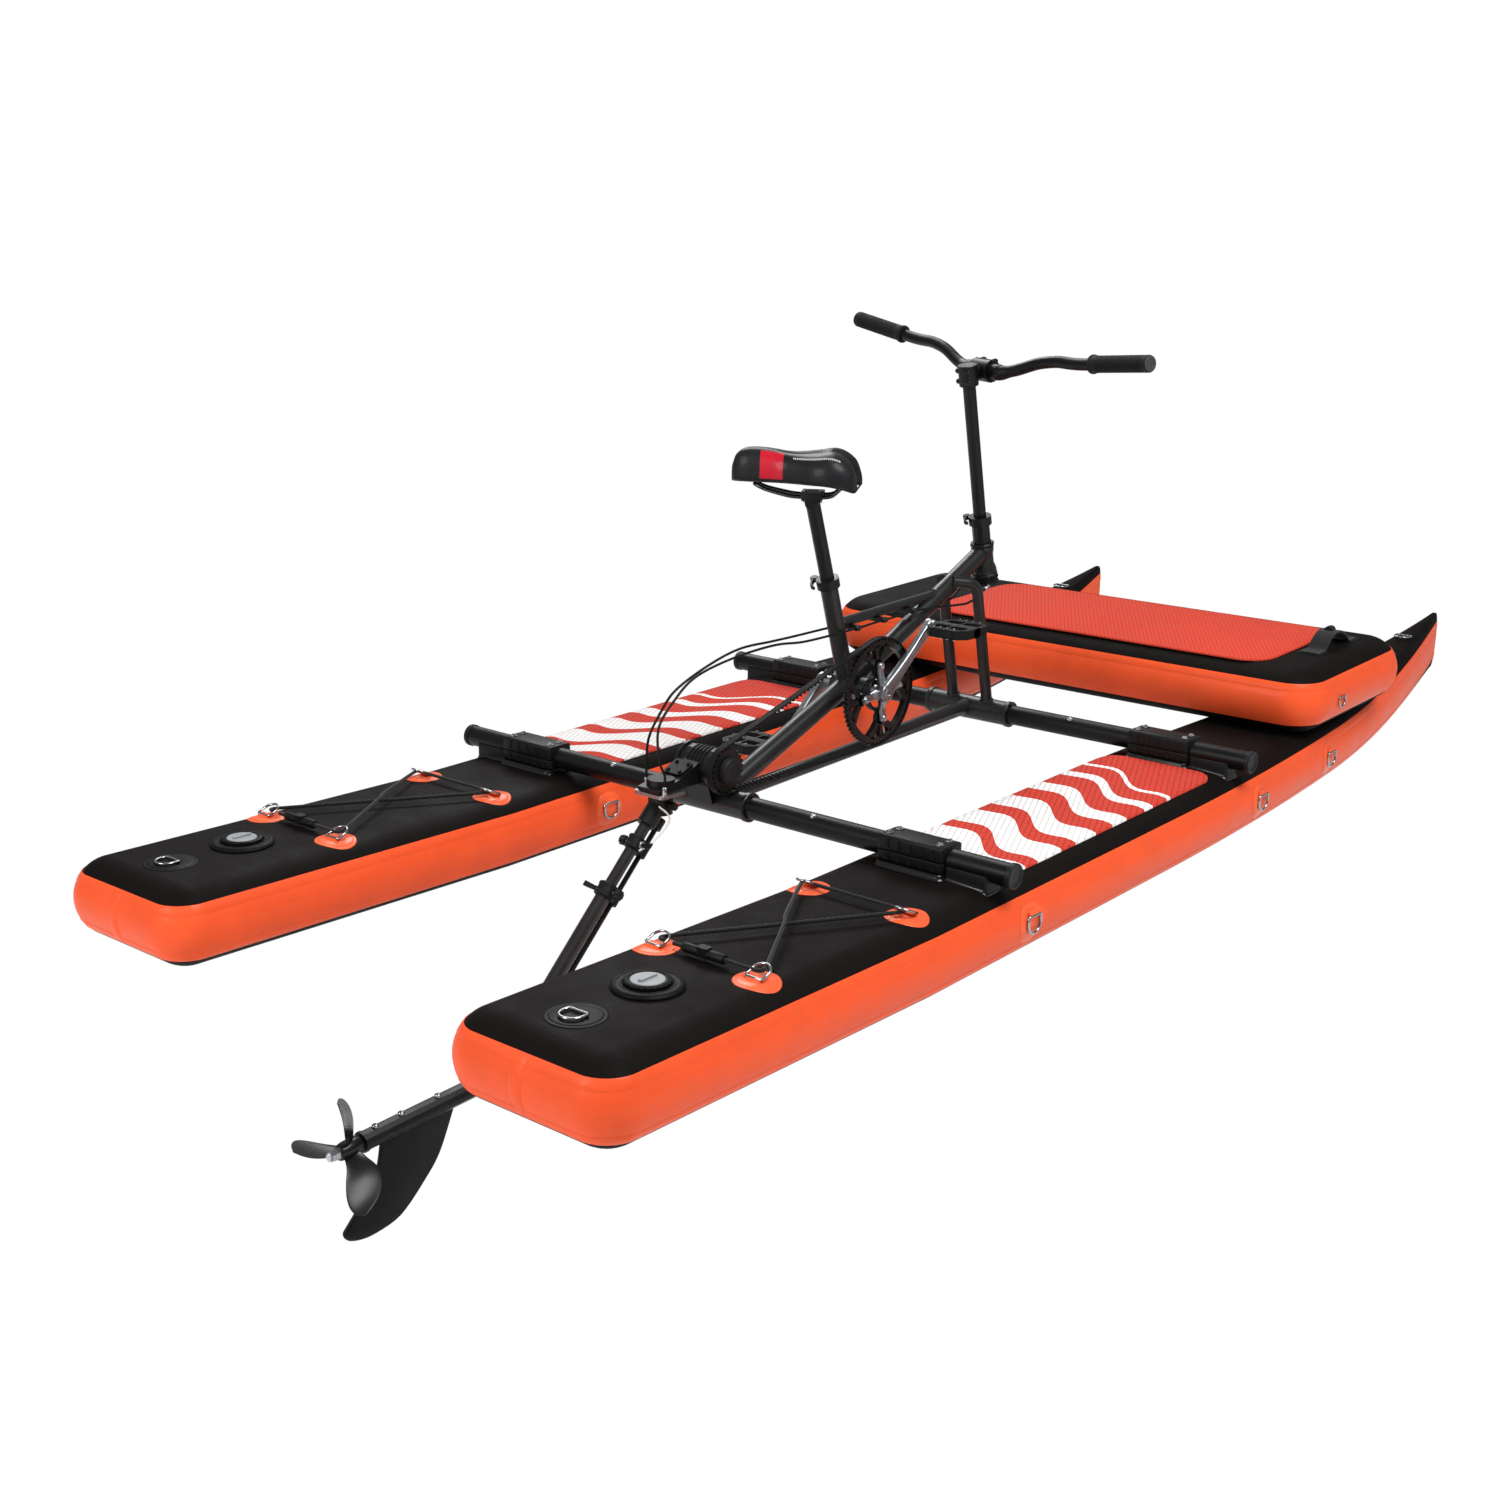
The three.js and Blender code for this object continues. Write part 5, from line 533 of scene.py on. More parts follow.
class Shape:
    """A mesh in the making, in millimetres, from parts that may have different finishes."""

    def __init__(self, name: str) -> None:
        """Starts an empty mesh.

        Args:
            name: The piece's name.
        """
        self.name = name
        self.points: list[Vector] = []
        self.faces: list[tuple[int, ...]] = []
        self.slots: list[int] = []
        self.along: dict[int, Pair] = {}

    def face(self, corners: Sequence[int], slot: int = 0) -> None:
        """Adds a face, without repeated corners.

        Args:
            corners: The points' numbers.
            slot: The finish.
        """
        kept = [c for i, c in enumerate(corners) if c != corners[i - 1]]
        if len(kept) > 2:
            self.faces.append(tuple(kept))
            self.slots.append(slot)

    def ring(self, points: Sequence[Vector]) -> list[int]:
        """Adds places and returns their numbers."""
        self.points += points
        return list(range(len(self.points) - len(points), len(self.points)))

    def skin(self, rings: Sequence[Sequence[Vector]], slot: int | Callable[[int, int], int] = 0, caps: bool = True,
             closed: bool = True, endless: bool = False) -> list[list[int]]:
        """Covers a row of rings that have the same number of places.

        Args:
            rings: The rings' places.
            slot: The finish, or a function from ring and place number to a finish.
            caps: Whether the first and the last ring are filled.
            closed: Whether each ring is a closed loop.
            endless: Whether the last ring joins the first.

        Returns:
            The rings' point numbers.
        """
        rows = [self.ring(r) for r in rings]
        pick = slot if callable(slot) else lambda _row, _column: slot
        count = len(rows[0])
        for r in range(len(rows) if endless else len(rows) - 1):
            near, far = rows[r], rows[(r + 1) % len(rows)]
            for i in range(count if closed else count - 1):
                j = (i + 1) % count
                self.face((near[i], near[j], far[j], far[i]), pick(r, i))
        if caps and not endless and closed:
            self.face(rows[0][::-1], pick(0, 0))
            self.face(rows[-1], pick(len(rows) - 2, 0))
        return rows

    def tube(self, path: Sequence[Vector], radius: float | Callable[[float], float], steps: int = 20, slot: int = 0,
             closed: bool = False) -> list[Vector]:
        """Sweeps a round section along a line.

        Args:
            path: Places on the line.
            radius: The section's radius, or a function of the share of the line.
            steps: Sides of the section.
            slot: The finish.
            closed: Whether the line returns to its start.

        Returns:
            The line.
        """
        count, first, travelled, rings = len(path), len(self.points), 0.0, []
        held = (lambda i: i % count) if closed else (lambda i: min(max(i, 0), count - 1))
        tangents = [(path[held(i + 1)] - path[held(i - 1)]).normalized() for i in range(count)]
        side = square_to(tangents[0])[0]
        for i, (place, tangent) in enumerate(zip(path, tangents)):
            side = (side - tangent * side.dot(tangent)).normalized()
            up = tangent.cross(side)
            reach = radius(i / (count - 1)) if callable(radius) else radius
            rings.append([place + side * a + up * b for a, b in circle(reach, steps)])
            travelled += (place - path[max(0, i - 1)]).length * MM
            self.along.update({first + i * steps + k: (travelled, k / steps) for k in range(steps)})
        self.skin(rings, slot, caps=not closed, endless=closed)
        return list(path)

    def rod(self, start: Vector, end: Vector, radius: float, end_radius: float | None = None, steps: int = 24,
            slot: int = 0) -> None:
        """Adds a straight round bar, or a cone where the end radius differs."""
        far = radius if end_radius is None else end_radius
        self.tube([start, end], lambda share: radius + (far - radius) * share, steps, slot)

    def lathe(self, profile: Sequence[Pair], origin: Vector, axis: Vector, steps: int = 40,
              slot: int | Callable[[int], int] = 0, loop: bool = False) -> None:
        """Turns a profile of radius and distance pairs about an axis.

        Args:
            profile: The pairs in order; a radius of 0 closes the shape on the axis.
            origin: Where distance is 0.
            axis: The axis' direction.
            steps: Sides round the axis.
            slot: The finish, or a function from the profile's piece number to a finish.
            loop: Whether the profile's end joins its start, as round a bore.
        """
        unit = axis.normalized()
        side, up = square_to(unit)
        rows = [self.ring([origin + unit * distance + side * a + up * b
                           for a, b in (circle(reach, steps) if reach else [(0, 0)])]) for reach, distance in profile]
        pick = slot if callable(slot) else lambda _piece: slot
        for r in range(len(rows) if loop else len(rows) - 1):
            near, far = rows[r], rows[(r + 1) % len(rows)]
            for k in range(steps if len(near) + len(far) > 2 else 0):
                j = (k + 1) % steps
                self.face((near[k % len(near)], near[j % len(near)], far[j % len(far)], far[k % len(far)]), pick(r))

    def plate(self, outline: Sequence[Pair], depth: float, origin: Vector, across: Vector, up: Vector,
              holes: Sequence[Sequence[Pair]] = (), slot: int = 0) -> None:
        """Cuts a flat outline from sheet and gives it a thickness.

        Args:
            outline: The outline's pairs along across and up.
            depth: The thickness, towards across crossed with up.
            origin: Where the pairs are 0.
            across: The first direction.
            up: The second direction.
            holes: Outlines of the openings.
            slot: The finish.
        """
        normal = across.cross(up).normalized() * depth
        loops = [[origin + across * a + up * b for a, b in loop] for loop in (outline, *holes)]
        lows = [self.ring(loop) for loop in loops]
        highs = [self.ring([p + normal for p in loop]) for loop in loops]
        low_flat, high_flat = ([i for loop in level for i in loop] for level in (lows, highs))
        for corners in tessellate_polygon(loops):
            self.face([low_flat[c] for c in corners][::-1], slot)
            self.face([high_flat[c] for c in corners], slot)
        for low, high in zip(lows, highs):
            for i in range(len(low)):
                j = (i + 1) % len(low)
                self.face((low[i], low[j], high[j], high[i]), slot)

    def block(self, centre: Vector, size: Sequence[float], axes: Sequence[Vector] = (ALONG_X, ALONG_Y, ALONG_Z),
              corner: float = 2.0, slot: int = 0) -> None:
        """Adds a block whose edges along the third axis are rounded.

        Args:
            centre: Its middle.
            size: Its three sizes.
            axes: The directions of its edges.
            corner: The rounded edges' radius.
            slot: The finish.
        """
        half_x, half_y, half_z = (s / 2 for s in size)
        self.plate(rounded(half_x, half_y, min(corner, half_x, half_y), 3), size[2], centre - axes[2] * half_z,
                   axes[0], axes[1], slot=slot)

    def bolt(self, seat: Vector, axis: Vector, radius: float, height: float, slot: int = 0) -> None:
        """Adds a socket-head bolt with its washer."""
        shares = ((0, 0), (1.5, 0), (1.5, 0.2), (1, 0.22), (1, 0.9), (0.88, 1), (0.5, 1), (0.45, 0.6), (0, 0.6))
        self.lathe([(radius * r, height * h) for r, h in shares], seat, axis, 18, slot)

    def build(self, finishes: Sequence[Finish], bevel: float = 0.0, smooth: float = SHARP_DEGREES) -> bpy.types.Object:
        """Makes the Blender object.

        Args:
            finishes: The finish of each slot number.
            bevel: Width of the bevel on sharp edges.
            smooth: Edges bent by more degrees than this stay sharp.

        Returns:
            The object, in metres, with its finishes.
        """
        mesh = bpy.data.meshes.new(self.name)
        mesh.from_pydata([p * MM for p in self.points], [], self.faces)
        mesh.polygons.foreach_set("material_index", self.slots)
        for finish in finishes:
            mesh.materials.append(finish.material())
        if self.along:
            layer = mesh.uv_layers.new(name="along")
            for loop in mesh.loops:
                layer.data[loop.index].uv = self.along.get(loop.vertex_index, (0.0, 0.0))
        work = bmesh.new()
        work.from_mesh(mesh)
        bmesh.ops.recalc_face_normals(work, faces=work.faces)
        work.to_mesh(mesh)
        work.free()
        mesh.shade_smooth()
        mesh.set_sharp_from_angle(angle=math.radians(smooth))
        piece = bpy.data.objects.new(self.name, mesh)
        bpy.context.scene.collection.objects.link(piece)
        if bevel:
            edge = piece.modifiers.new("soft_edges", "BEVEL")
            edge.width, edge.segments, edge.harden_normals = bevel * MM, 2, True
            edge.limit_method, edge.angle_limit = "ANGLE", math.radians(SHARP_DEGREES)
        return piece


def fit(piece: bpy.types.Object, body: str, slot: str, *stands_for: str) -> bpy.types.Object:
    """Makes a piece ride on its body, names its finish slot and hides the solids that it stands for.

    Args:
        piece: The object.
        body: The body that it moves with.
        slot: The record's finish slot.
        stands_for: Nodes that the piece replaces.

    Returns:
        The piece.
    """
    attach(piece, body)
    if stands_for:
        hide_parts(*stands_for)
    LOG.info("%s rides on %s%s", piece.name, body, f" for {', '.join(stands_for)}" if stands_for else "")
    return piece


def tie_down(piece: bpy.types.Object, path: Sequence[Vector], radius: float) -> None:
    """Declares a cord whose two ends are both fixed on the object.

    Args:
        piece: The cord's mesh.
        path: The line that it follows, in millimetres.
        radius: Its radius in millimetres.
    """
    length = sum((b - a).length for a, b in zip(path, path[1:])) * MM


# The inflatable hulls


@dataclass
class HullForm:
    """The shape that both hulls share, and what stands on them follows."""

    length: float = 2920
    width: float = 320
    thickness: float = 130
    centre: float = 449
    rocker_start: float = 705
    rocker_slope: float = 0.028
    bow_start: float = 2155
    bow_rise: float = 78
    taper_start: float = 1405
    stem_half: float = 9
    stem_round: float = 16
    fullness: float = 0.8
    stern_flat: float = 1.1
    top_angle: float = 84
    corner_steps: int = 26
    taper_steps: int = 44
    fold_depth: float = 1.1
    fold_angle: float = 24

    stations = (180, 420, 700, 940, 1180)
    stem_turns = tuple(math.radians(turn) for turn in (18, 36, 54, 72))

    def __post_init__(self) -> None:
        """Works out the sidewall's radius and the place where the round stem starts."""
        self.radius, self.stem = self.thickness / 2, self.length - self.stem_round

    def middle(self, x: float) -> float:
        """Returns the height of the sidewall's middle at a distance from the stern."""
        share = max(0.0, x - self.bow_start) / (self.length - self.bow_start)
        return self.radius + self.rocker_slope * max(0.0, x - self.rocker_start) + self.bow_rise * share**2

    def deck(self, x: float) -> float:
        """Returns the height of the deck."""
        return self.middle(x) + self.radius

    def half_width(self, x: float) -> float:
        """Returns half the hull's width, with its round side."""
        share = max(0.0, x - self.taper_start) / (self.stem - self.taper_start)
        return self.stem_half + (self.width / 2 - self.stem_half) * (1 - min(1.0, share) ** 2)

    def section(self, x: float) -> Pair:
        """Works out the hull's section at a place.

        Args:
            x: Distance from the stern.

        Returns:
            The half flat and the round side's radius.
        """
        width = self.half_width(x)
        side = min(width, self.radius * (width / (self.width / 2)) ** self.fullness)
        return max(0.0, width - side), side

    def levels(self, seam: float, wall_steps: int) -> list[float]:
        """Returns the angles of a skin's level lines in degrees, from the bottom to the deck."""
        upper = [seam + (self.top_angle - seam) * i / 8 for i in range(9)]
        return [-a for a in reversed(upper)] + [2 * seam * i / wall_steps - seam for i in range(1, wall_steps)] + upper

    def fold(self, turn: float, latitude: float) -> float:
        """Returns how far a glued wall's small folds stand out at a stern corner."""
        depth = self.fold_depth * max(0.0, math.cos(math.radians(2 * (abs(latitude) - self.fold_angle))))
        return depth * math.sin(2 * turn) * noise.noise(vec(11 * turn, latitude / 34, 0.5))

    def loop(self, latitude: float, extra: float = 0.0) -> list[Vector]:
        """Draws one level line round the hull, on the middle plane.

        Args:
            latitude: Angle up the round sidewall, in degrees.
            extra: Distance outside the skin.

        Returns:
            Places on the line, from the stern's middle round by port.
        """
        angle, tall, stern = math.radians(latitude), self.radius + extra, self.radius - self.stern_flat
        out, up = math.cos(angle), math.sin(angle) / math.sin(math.radians(self.top_angle))
        level = self.middle(0) + tall * up
        half = [vec(stern - (stern + extra) * out, (self.width / 2 - self.radius) * i / 3, level) for i in range(3)]
        for turn in (math.pi / 2 * i / self.corner_steps for i in range(self.corner_steps + 1)):
            back, side = polar((tall + self.fold(turn, latitude)) * out, turn)
            half.append(vec(stern - back * stern / self.radius, self.width / 2 - self.radius + side, level))
        run, steps = self.stem - self.taper_start, self.taper_steps
        for x in (*self.stations, *(self.taper_start + run * i / steps for i in range(steps + 1))):
            flat, side = self.section(x)
            half.append(vec(x, flat + (side + extra) * out, self.middle(x) + tall * up))
        flat, side = self.section(self.stem)
        for bend in self.stem_turns:
            low, ahead = self.stem_round * (1 - math.cos(bend)), math.sin(bend) / math.sin(self.stem_turns[-1])
            half.append(vec(self.stem + self.stem_round * ahead, flat * math.cos(bend) + (side * math.cos(bend) + extra)
                            * out, self.middle(self.stem) + (tall - low) * up))
        return half + [vec(p.x, -p.y, p.z) for p in half[:0:-1]]

    def deck_point(self, x: float, y: float, extra: float = 0.0) -> Vector:
        """Finds the place on the deck above a spot beside the middle plane.

        Args:
            x: Distance from the stern.
            y: Distance from the middle plane.
            extra: Distance above the deck.

        Returns:
            The place.
        """
        flat, side = self.section(x)
        over = max(0.0, abs(y) - flat)
        drop = 1 - math.sqrt(max(0.0, 1 - (over / side) ** 2)) if over else 0.0
        return vec(x, y, self.deck(x) - self.radius * drop + extra)

    def side_point(self, x: float, z: float, towards: int, extra: float = 0.0) -> Vector:
        """Finds the place on one sidewall at a height above its middle.

        Args:
            x: Distance from the stern.
            z: The height.
            towards: -1 to starboard, 1 to port.
            extra: Distance outside the skin.

        Returns:
            The place.
        """
        flat, side = self.section(x)
        reach = flat + (side + extra) * math.sqrt(max(0.0, 1 - (z / self.radius) ** 2))
        return vec(x, towards * reach, self.middle(x) + z)


FORM = HullForm()
# Each seam tape's edges: degrees below the seam, and height above the skin
HULL_TAPE = ((0, 0.1), (0, 0.8), (2, 1.04), (14, 0.8), (15, 0.1))
FLOAT_TAPE = ((0, 0.1), (0, 0.8), (2, 1.1), (13, 0.8), (14, 0.1))


def wall_rows(levels: Sequence[float], seam: float) -> Callable[[int, int], int]:
    """Returns a function that tells the orange wall's rows, 1, from the black ones, 0."""
    return lambda row, _: int(abs(levels[row] + levels[row + 1]) / 2 <= seam)


@dataclass
class Hull:
    """One inflatable hull with its seams, patches, rings, valve, lashing and deck pad."""

    name: str
    side: int
    seam_angle: float = 42
    tape_thickness: float = 0.8
    patch_thickness: float = 2.5
    patch_radius: float = 34
    side_patch_radius: float = 33
    stern_patch_radius: float = 42
    stern_ring: float = 105
    bow_ring: float = 2735
    valve_at: float = 238
    valve_radius: float = 32.6
    lash_rear: float = 353
    lash_front: float = 694
    lash_half_spacing: float = 92
    lash_ring_tilt: float = 24
    outer_rings: tuple[float, ...] = (933, 1728, 2076)
    inner_ring: float = 920
    ring_width: float = 40
    ring_length: float = 34
    ring_bar: float = 5
    lash_ring_share: float = 0.85
    tab_length: float = 16
    tab_width: float = 26
    lash_radius: float = 3
    pad_rear: float = 946
    pad_front: float = 1621
    pad_half: float = 112
    pad_corner: float = 42
    pad_thickness: float = 4
    pad_edge: float = 1.6

    def at(self, place: Vector) -> Vector:
        """Moves a place from the middle plane to this hull."""
        return place + ALONG_Y * (self.side * FORM.centre)

    def build(self) -> None:
        """Makes all the hull's pieces."""
        body = "hull_and_frame"
        fit(self.skin(), body, "hull_vinyl", f"{self.name}_pontoon")
        fit(self.tapes(), body, "hull_vinyl")
        fit(self.patches(), body, "hull_vinyl")
        fit(self.rings(), body, "steel")
        fit(self.valve(), body, "valve_plastic", f"{self.name}_valve")
        fit(self.deck_pad(), body, "deck_foam", f"{self.name}_deck_pad")
        self.lashing(body)

    def skin(self) -> bpy.types.Object:
        """Makes the airtight skin: black deck and bottom, orange wall.

        Returns:
            The skin.
        """
        shape, levels = Shape(f"{self.name}_hull_skin"), FORM.levels(self.seam_angle, 22)
        rows = shape.skin([[self.at(p) for p in FORM.loop(a)] for a in levels], wall_rows(levels, self.seam_angle),
                          caps=False)
        for row in (rows[0], rows[-1]):
            for i in range(len(row) // 2):
                shape.face((row[i], row[i + 1], row[-i - 1], row[-i]))
        return shape.build([DECK_BLACK, HULL_ORANGE])

    def tapes(self) -> bpy.types.Object:
        """Makes the glued tapes below the deck seam and the wall's overlap at the stern.

        Returns:
            The tapes.
        """
        shape, lift = Shape(f"{self.name}_seam_tapes"), self.tape_thickness
        for turn in (1, -1):
            shape.skin([[self.at(p) for p in FORM.loop(turn * (self.seam_angle - a), e)] for a, e in HULL_TAPE],
                       caps=False)
        stern, rows = FORM.radius - FORM.stern_flat, []
        for i in range(15):
            angle = math.radians(self.seam_angle * (i / 7 - 1))
            rows.append([self.at(vec(stern - (stern + extra) * math.cos(angle), y,
                                     FORM.middle(0) + (FORM.radius + extra) * math.sin(angle)))
                         for y, extra in ((15, 0.1), (14, lift), (-7, lift), (-8, 0.1))])
        shape.skin(rows, closed=False)
        return shape.build([HULL_ORANGE], smooth=60)

    def disc(self, shape: Shape, surface: Callable[[float, float, float], Vector], radius: float, slot: int) -> None:
        """Lays a round two-ply patch on a curved surface.

        Args:
            shape: The mesh that it is added to.
            surface: Turns two plane coordinates and a height into a place.
            radius: The patch's radius.
            slot: The finish.
        """
        levels = ((1.0, 0.2), (0.985, 0.9), (0.94, 1.3), (0.9, 1.1), (0.86, 1.1), (0.83, 1.9), (0.8, 2.2),
                  (0.5, self.patch_thickness), (0.02, self.patch_thickness))
        shape.skin([[surface(a, b, height) for a, b in circle(radius * share, 40)] for share, height in levels], slot)

    def patches(self) -> bpy.types.Object:
        """Makes the round reinforcement patches and the tabs that hold the rings.

        Returns:
            The patches and tabs.
        """
        shape, low = Shape(f"{self.name}_patches"), -self.ring_bar / 2 - 1.5
        for x, y, radius, slot in self.deck_spots():
            self.disc(shape, lambda a, b, h, x=x, y=y: self.at(FORM.deck_point(x + a, y + b, h)), radius, slot)
        for x, towards in self.side_spots():
            self.disc(shape, lambda a, b, h, x=x, t=towards: self.at(FORM.side_point(x + a, b, t, h)),
                      self.side_patch_radius, 0)
        for origin, across, up, slot in self.ring_places():
            normal = across.cross(up)
            seat, half, rows = origin + (up + normal) * (self.ring_bar / 2), self.tab_width / 2, []
            for along in (self.tab_length * (i / 12 - 0.5) for i in range(13)):
                hump = (self.ring_bar / 2 + 1.6) * math.exp(-((along / 4.2) ** 2)) + low + 1.3
                rows.append([seat + up * along + across * y + normal * z
                             for y, z in ((-half, low), (1 - half, hump), (half - 1, hump), (half, low))])
            shape.skin(rows, slot)
        return shape.build([PATCH_ORANGE, PATCH_BLACK], smooth=50)

    def deck_spots(self) -> list[tuple[float, float, float, int]]:
        """Lists the patches on the deck.

        Returns:
            Distance, offset, radius and finish of each.
        """
        spots = [(self.stern_ring, 0, self.stern_patch_radius, 1), (self.bow_ring, 0, self.patch_radius / 2, 1)]
        return spots + [(x, to * self.lash_half_spacing, self.patch_radius, 0)
                        for x in (self.lash_rear, self.lash_front) for to in (-1, 1)]

    def side_spots(self) -> list[tuple[float, int]]:
        """Returns distance and side of each patch on the walls."""
        return [(x, self.side) for x in self.outer_rings] + [(self.inner_ring, -self.side)]

    def ring_places(self) -> list[tuple[Vector, Vector, Vector, int]]:
        """Works out where each ring's straight bar lies.

        Returns:
            Each bar's middle, its direction, the ring's, and the finish of its tab.
        """
        lift, spots = self.patch_thickness + CLEARANCE, [(self.stern_ring, 0, -1, 1, 0), (self.bow_ring, 0, -1, 1, 0)]
        for x, heading in ((self.lash_rear, 1), (self.lash_front, -1)):
            spots += [(x, to * self.lash_half_spacing, heading, 0, self.lash_ring_tilt) for to in (-1, 1)]
        places = []
        for x, y, heading, slot, tilt in spots:
            ahead, up = polar(1, math.radians(tilt))
            places.append((self.at(vec(x - heading * self.tab_length / 2, y, FORM.deck(x) + lift)),
                           ALONG_Y * -heading, vec(heading * ahead, 0, up), slot))
        for x, towards in self.side_spots():
            origin = vec(x, towards * (FORM.half_width(x) + lift), FORM.middle(x) + self.ring_length / 2)
            places.append((self.at(origin), ALONG_X * towards, -ALONG_Z, 0))
        return places

    def rings(self) -> bpy.types.Object:
        """Bends the D-rings from steel wire.

        Returns:
            The rings.
        """
        shape, bar = Shape(f"{self.name}_d_rings"), self.ring_bar / 2
        for origin, across, up, _ in self.ring_places():
            half = (self.ring_width / 2 - bar) * (self.lash_ring_share if up.z > 0 else 1)
            outline = [(-half, bar * 1.6), (-half * 0.86, bar), (half * 0.86, bar), (half, bar * 1.6)]
            outline += [(a, self.ring_length - bar - half + b) for a, b in
                        (polar(half, math.pi * i / 16) for i in range(17))]
            middle = origin + across.cross(up) * bar
            shape.tube([middle + across * a + up * b for a, b in outline], bar * 0.86, 12, closed=True)
        return shape.build([STEEL], smooth=60)

    def valve(self) -> bpy.types.Object:
        """Makes the inflation valve: a flange with a plain moulded face, a ribbed cap and its grip.

        Returns:
            The valve.
        """
        shape, seat = Shape(f"{self.name}_inflation_valve"), self.at(FORM.deck_point(self.valve_at, 0, CLEARANCE))
        shape.lathe([(0, 0), (51, 0), (51, 2.5), (49.5, 4.5), (46, 6.4), (44, 6.6), (43, 5.8), (38, 5.8), (37, 6.6),
                     (35.5, 6.6), (34.5, 5), (0, 5)], seat, ALONG_Z, 64)
        shape.lathe([(0, 5), (32.5, 5), (33, 9), (32.6, 10.4), (30.6, 11.6), (27.5, 12), (26.5, 11), (24, 10.8),
                     (23, 11.8), (0, 12.2)], seat, ALONG_Z, 64, lambda piece: int(piece > 6))
        for a, b in circle(1, 24):
            rib = vec(a, b, 0)
            shape.block(seat + rib * self.valve_radius + ALONG_Z * 8, (2.2, 2.6, 5),
                        (rib, rib.cross(-ALONG_Z), ALONG_Z), 0.8)
        shape.block(seat + ALONG_Z * 13, (34, 7, 4), corner=3.2, slot=1)
        return shape.build([PATCH_BLACK, VALVE_GREY], bevel=0.5)

    def deck_pad(self) -> bpy.types.Object:
        """Lays the foam pad between the two crossbars.

        Returns:
            The pad.
        """
        rear, front, half, corner = self.pad_rear, self.pad_front, self.pad_half, self.pad_corner
        shape, edge, thick = Shape(f"{self.name}_foam_pad"), self.pad_edge, self.pad_thickness
        ends = [(rear + corner * (1 - math.cos(t)), half - corner * (1 - math.sin(t)))
                for t in (math.pi / 16 * i for i in range(9))]
        run = front - rear - 2 * corner
        stations = ends + [(rear + corner + run * i / 40, half) for i in range(1, 40)]
        stations += [(front + rear - x, width) for x, width in reversed(ends)]
        rows = []
        for x, width in stations:
            inward = x + (math.copysign(edge, rear + corner - x) if width < half - 0.01 else 0)
            cross = [(x, -width, 0.1), (x, -width, thick - edge * 0.8)]
            cross += [(inward, (width - edge) * share, thick) for share in (-1, -0.8, -0.4, 0, 0.4, 0.8, 1)]
            cross += [(x, width, thick - edge * 0.8), (x, width, 0.1)]
            rows.append([self.at(FORM.deck_point(a, b, h + CLEARANCE)) for a, b, h in cross])
        shape.skin(rows)
        return shape.build([PAD_RED], smooth=50)

    def lashing(self, body: str) -> None:
        """Threads the elastic cord through the four deck rings, and slides the cord lock on it.

        Args:
            body: The body that both ride on.
        """
        radius, half, hook = self.lash_radius, self.lash_half_spacing, self.ring_length - self.tab_length
        height = FORM.deck(self.lash_rear) + self.patch_thickness + self.ring_bar + radius + 2 * CLEARANCE
        aft, fore = self.lash_rear + hook, self.lash_front - hook
        middle, turn_x, turn_y = (aft + fore) / 2, 4 * radius, 3 * radius
        # Each place is a distance, an offset and a level, and the two crossing runs lie on two levels
        route = [self.at(vec(x, y, height + level * 2 * (radius + CLEARANCE))) for x, y, level in (
            (aft - turn_x, half - turn_y, 0), (aft, half, 0), (middle, 0, 0), (fore, -half, 0),
            (fore + turn_x, turn_y - half, 0), (fore + turn_x, 0, 0), (fore + turn_x, half - turn_y, 0),
            (fore, half, 0.4), (middle + turn_x, turn_y, 1.2), (middle - turn_x, -turn_y, 1.2), (aft, -half, 0.4),
            (aft - turn_x, turn_y - half, 0), (aft - turn_x, 0, 0), (aft - turn_x, half - 3 * turn_y, 0))]
        shape, lock, seat = Shape(f"{self.name}_elastic_cord"), Shape(f"{self.name}_cord_lock"), route[-2]
        path = shape.tube(through(route, 8, 0.25), radius, 12)
        cord = fit(shape.build([BUNGEE], smooth=70), body, "bungee", f"{self.name}_lashing")
        for start in (-30, 10):
            lock.lathe([(3.2, 0), (6.6, 0.6), (7.4, 3), (7.4, 32), (6, 36), (3.2, 36)], seat + ALONG_Y * start, ALONG_Y,
                       20, loop=True)
        lock.block(seat + ALONG_Y * 8 + ALONG_Z * 2, (15, 20, 15), corner=4)
        fit(lock.build([NYLON_BLACK], bevel=0.8), body, "black_plastic")
        tie_down(cord, path, radius)


# The inflatable cross float


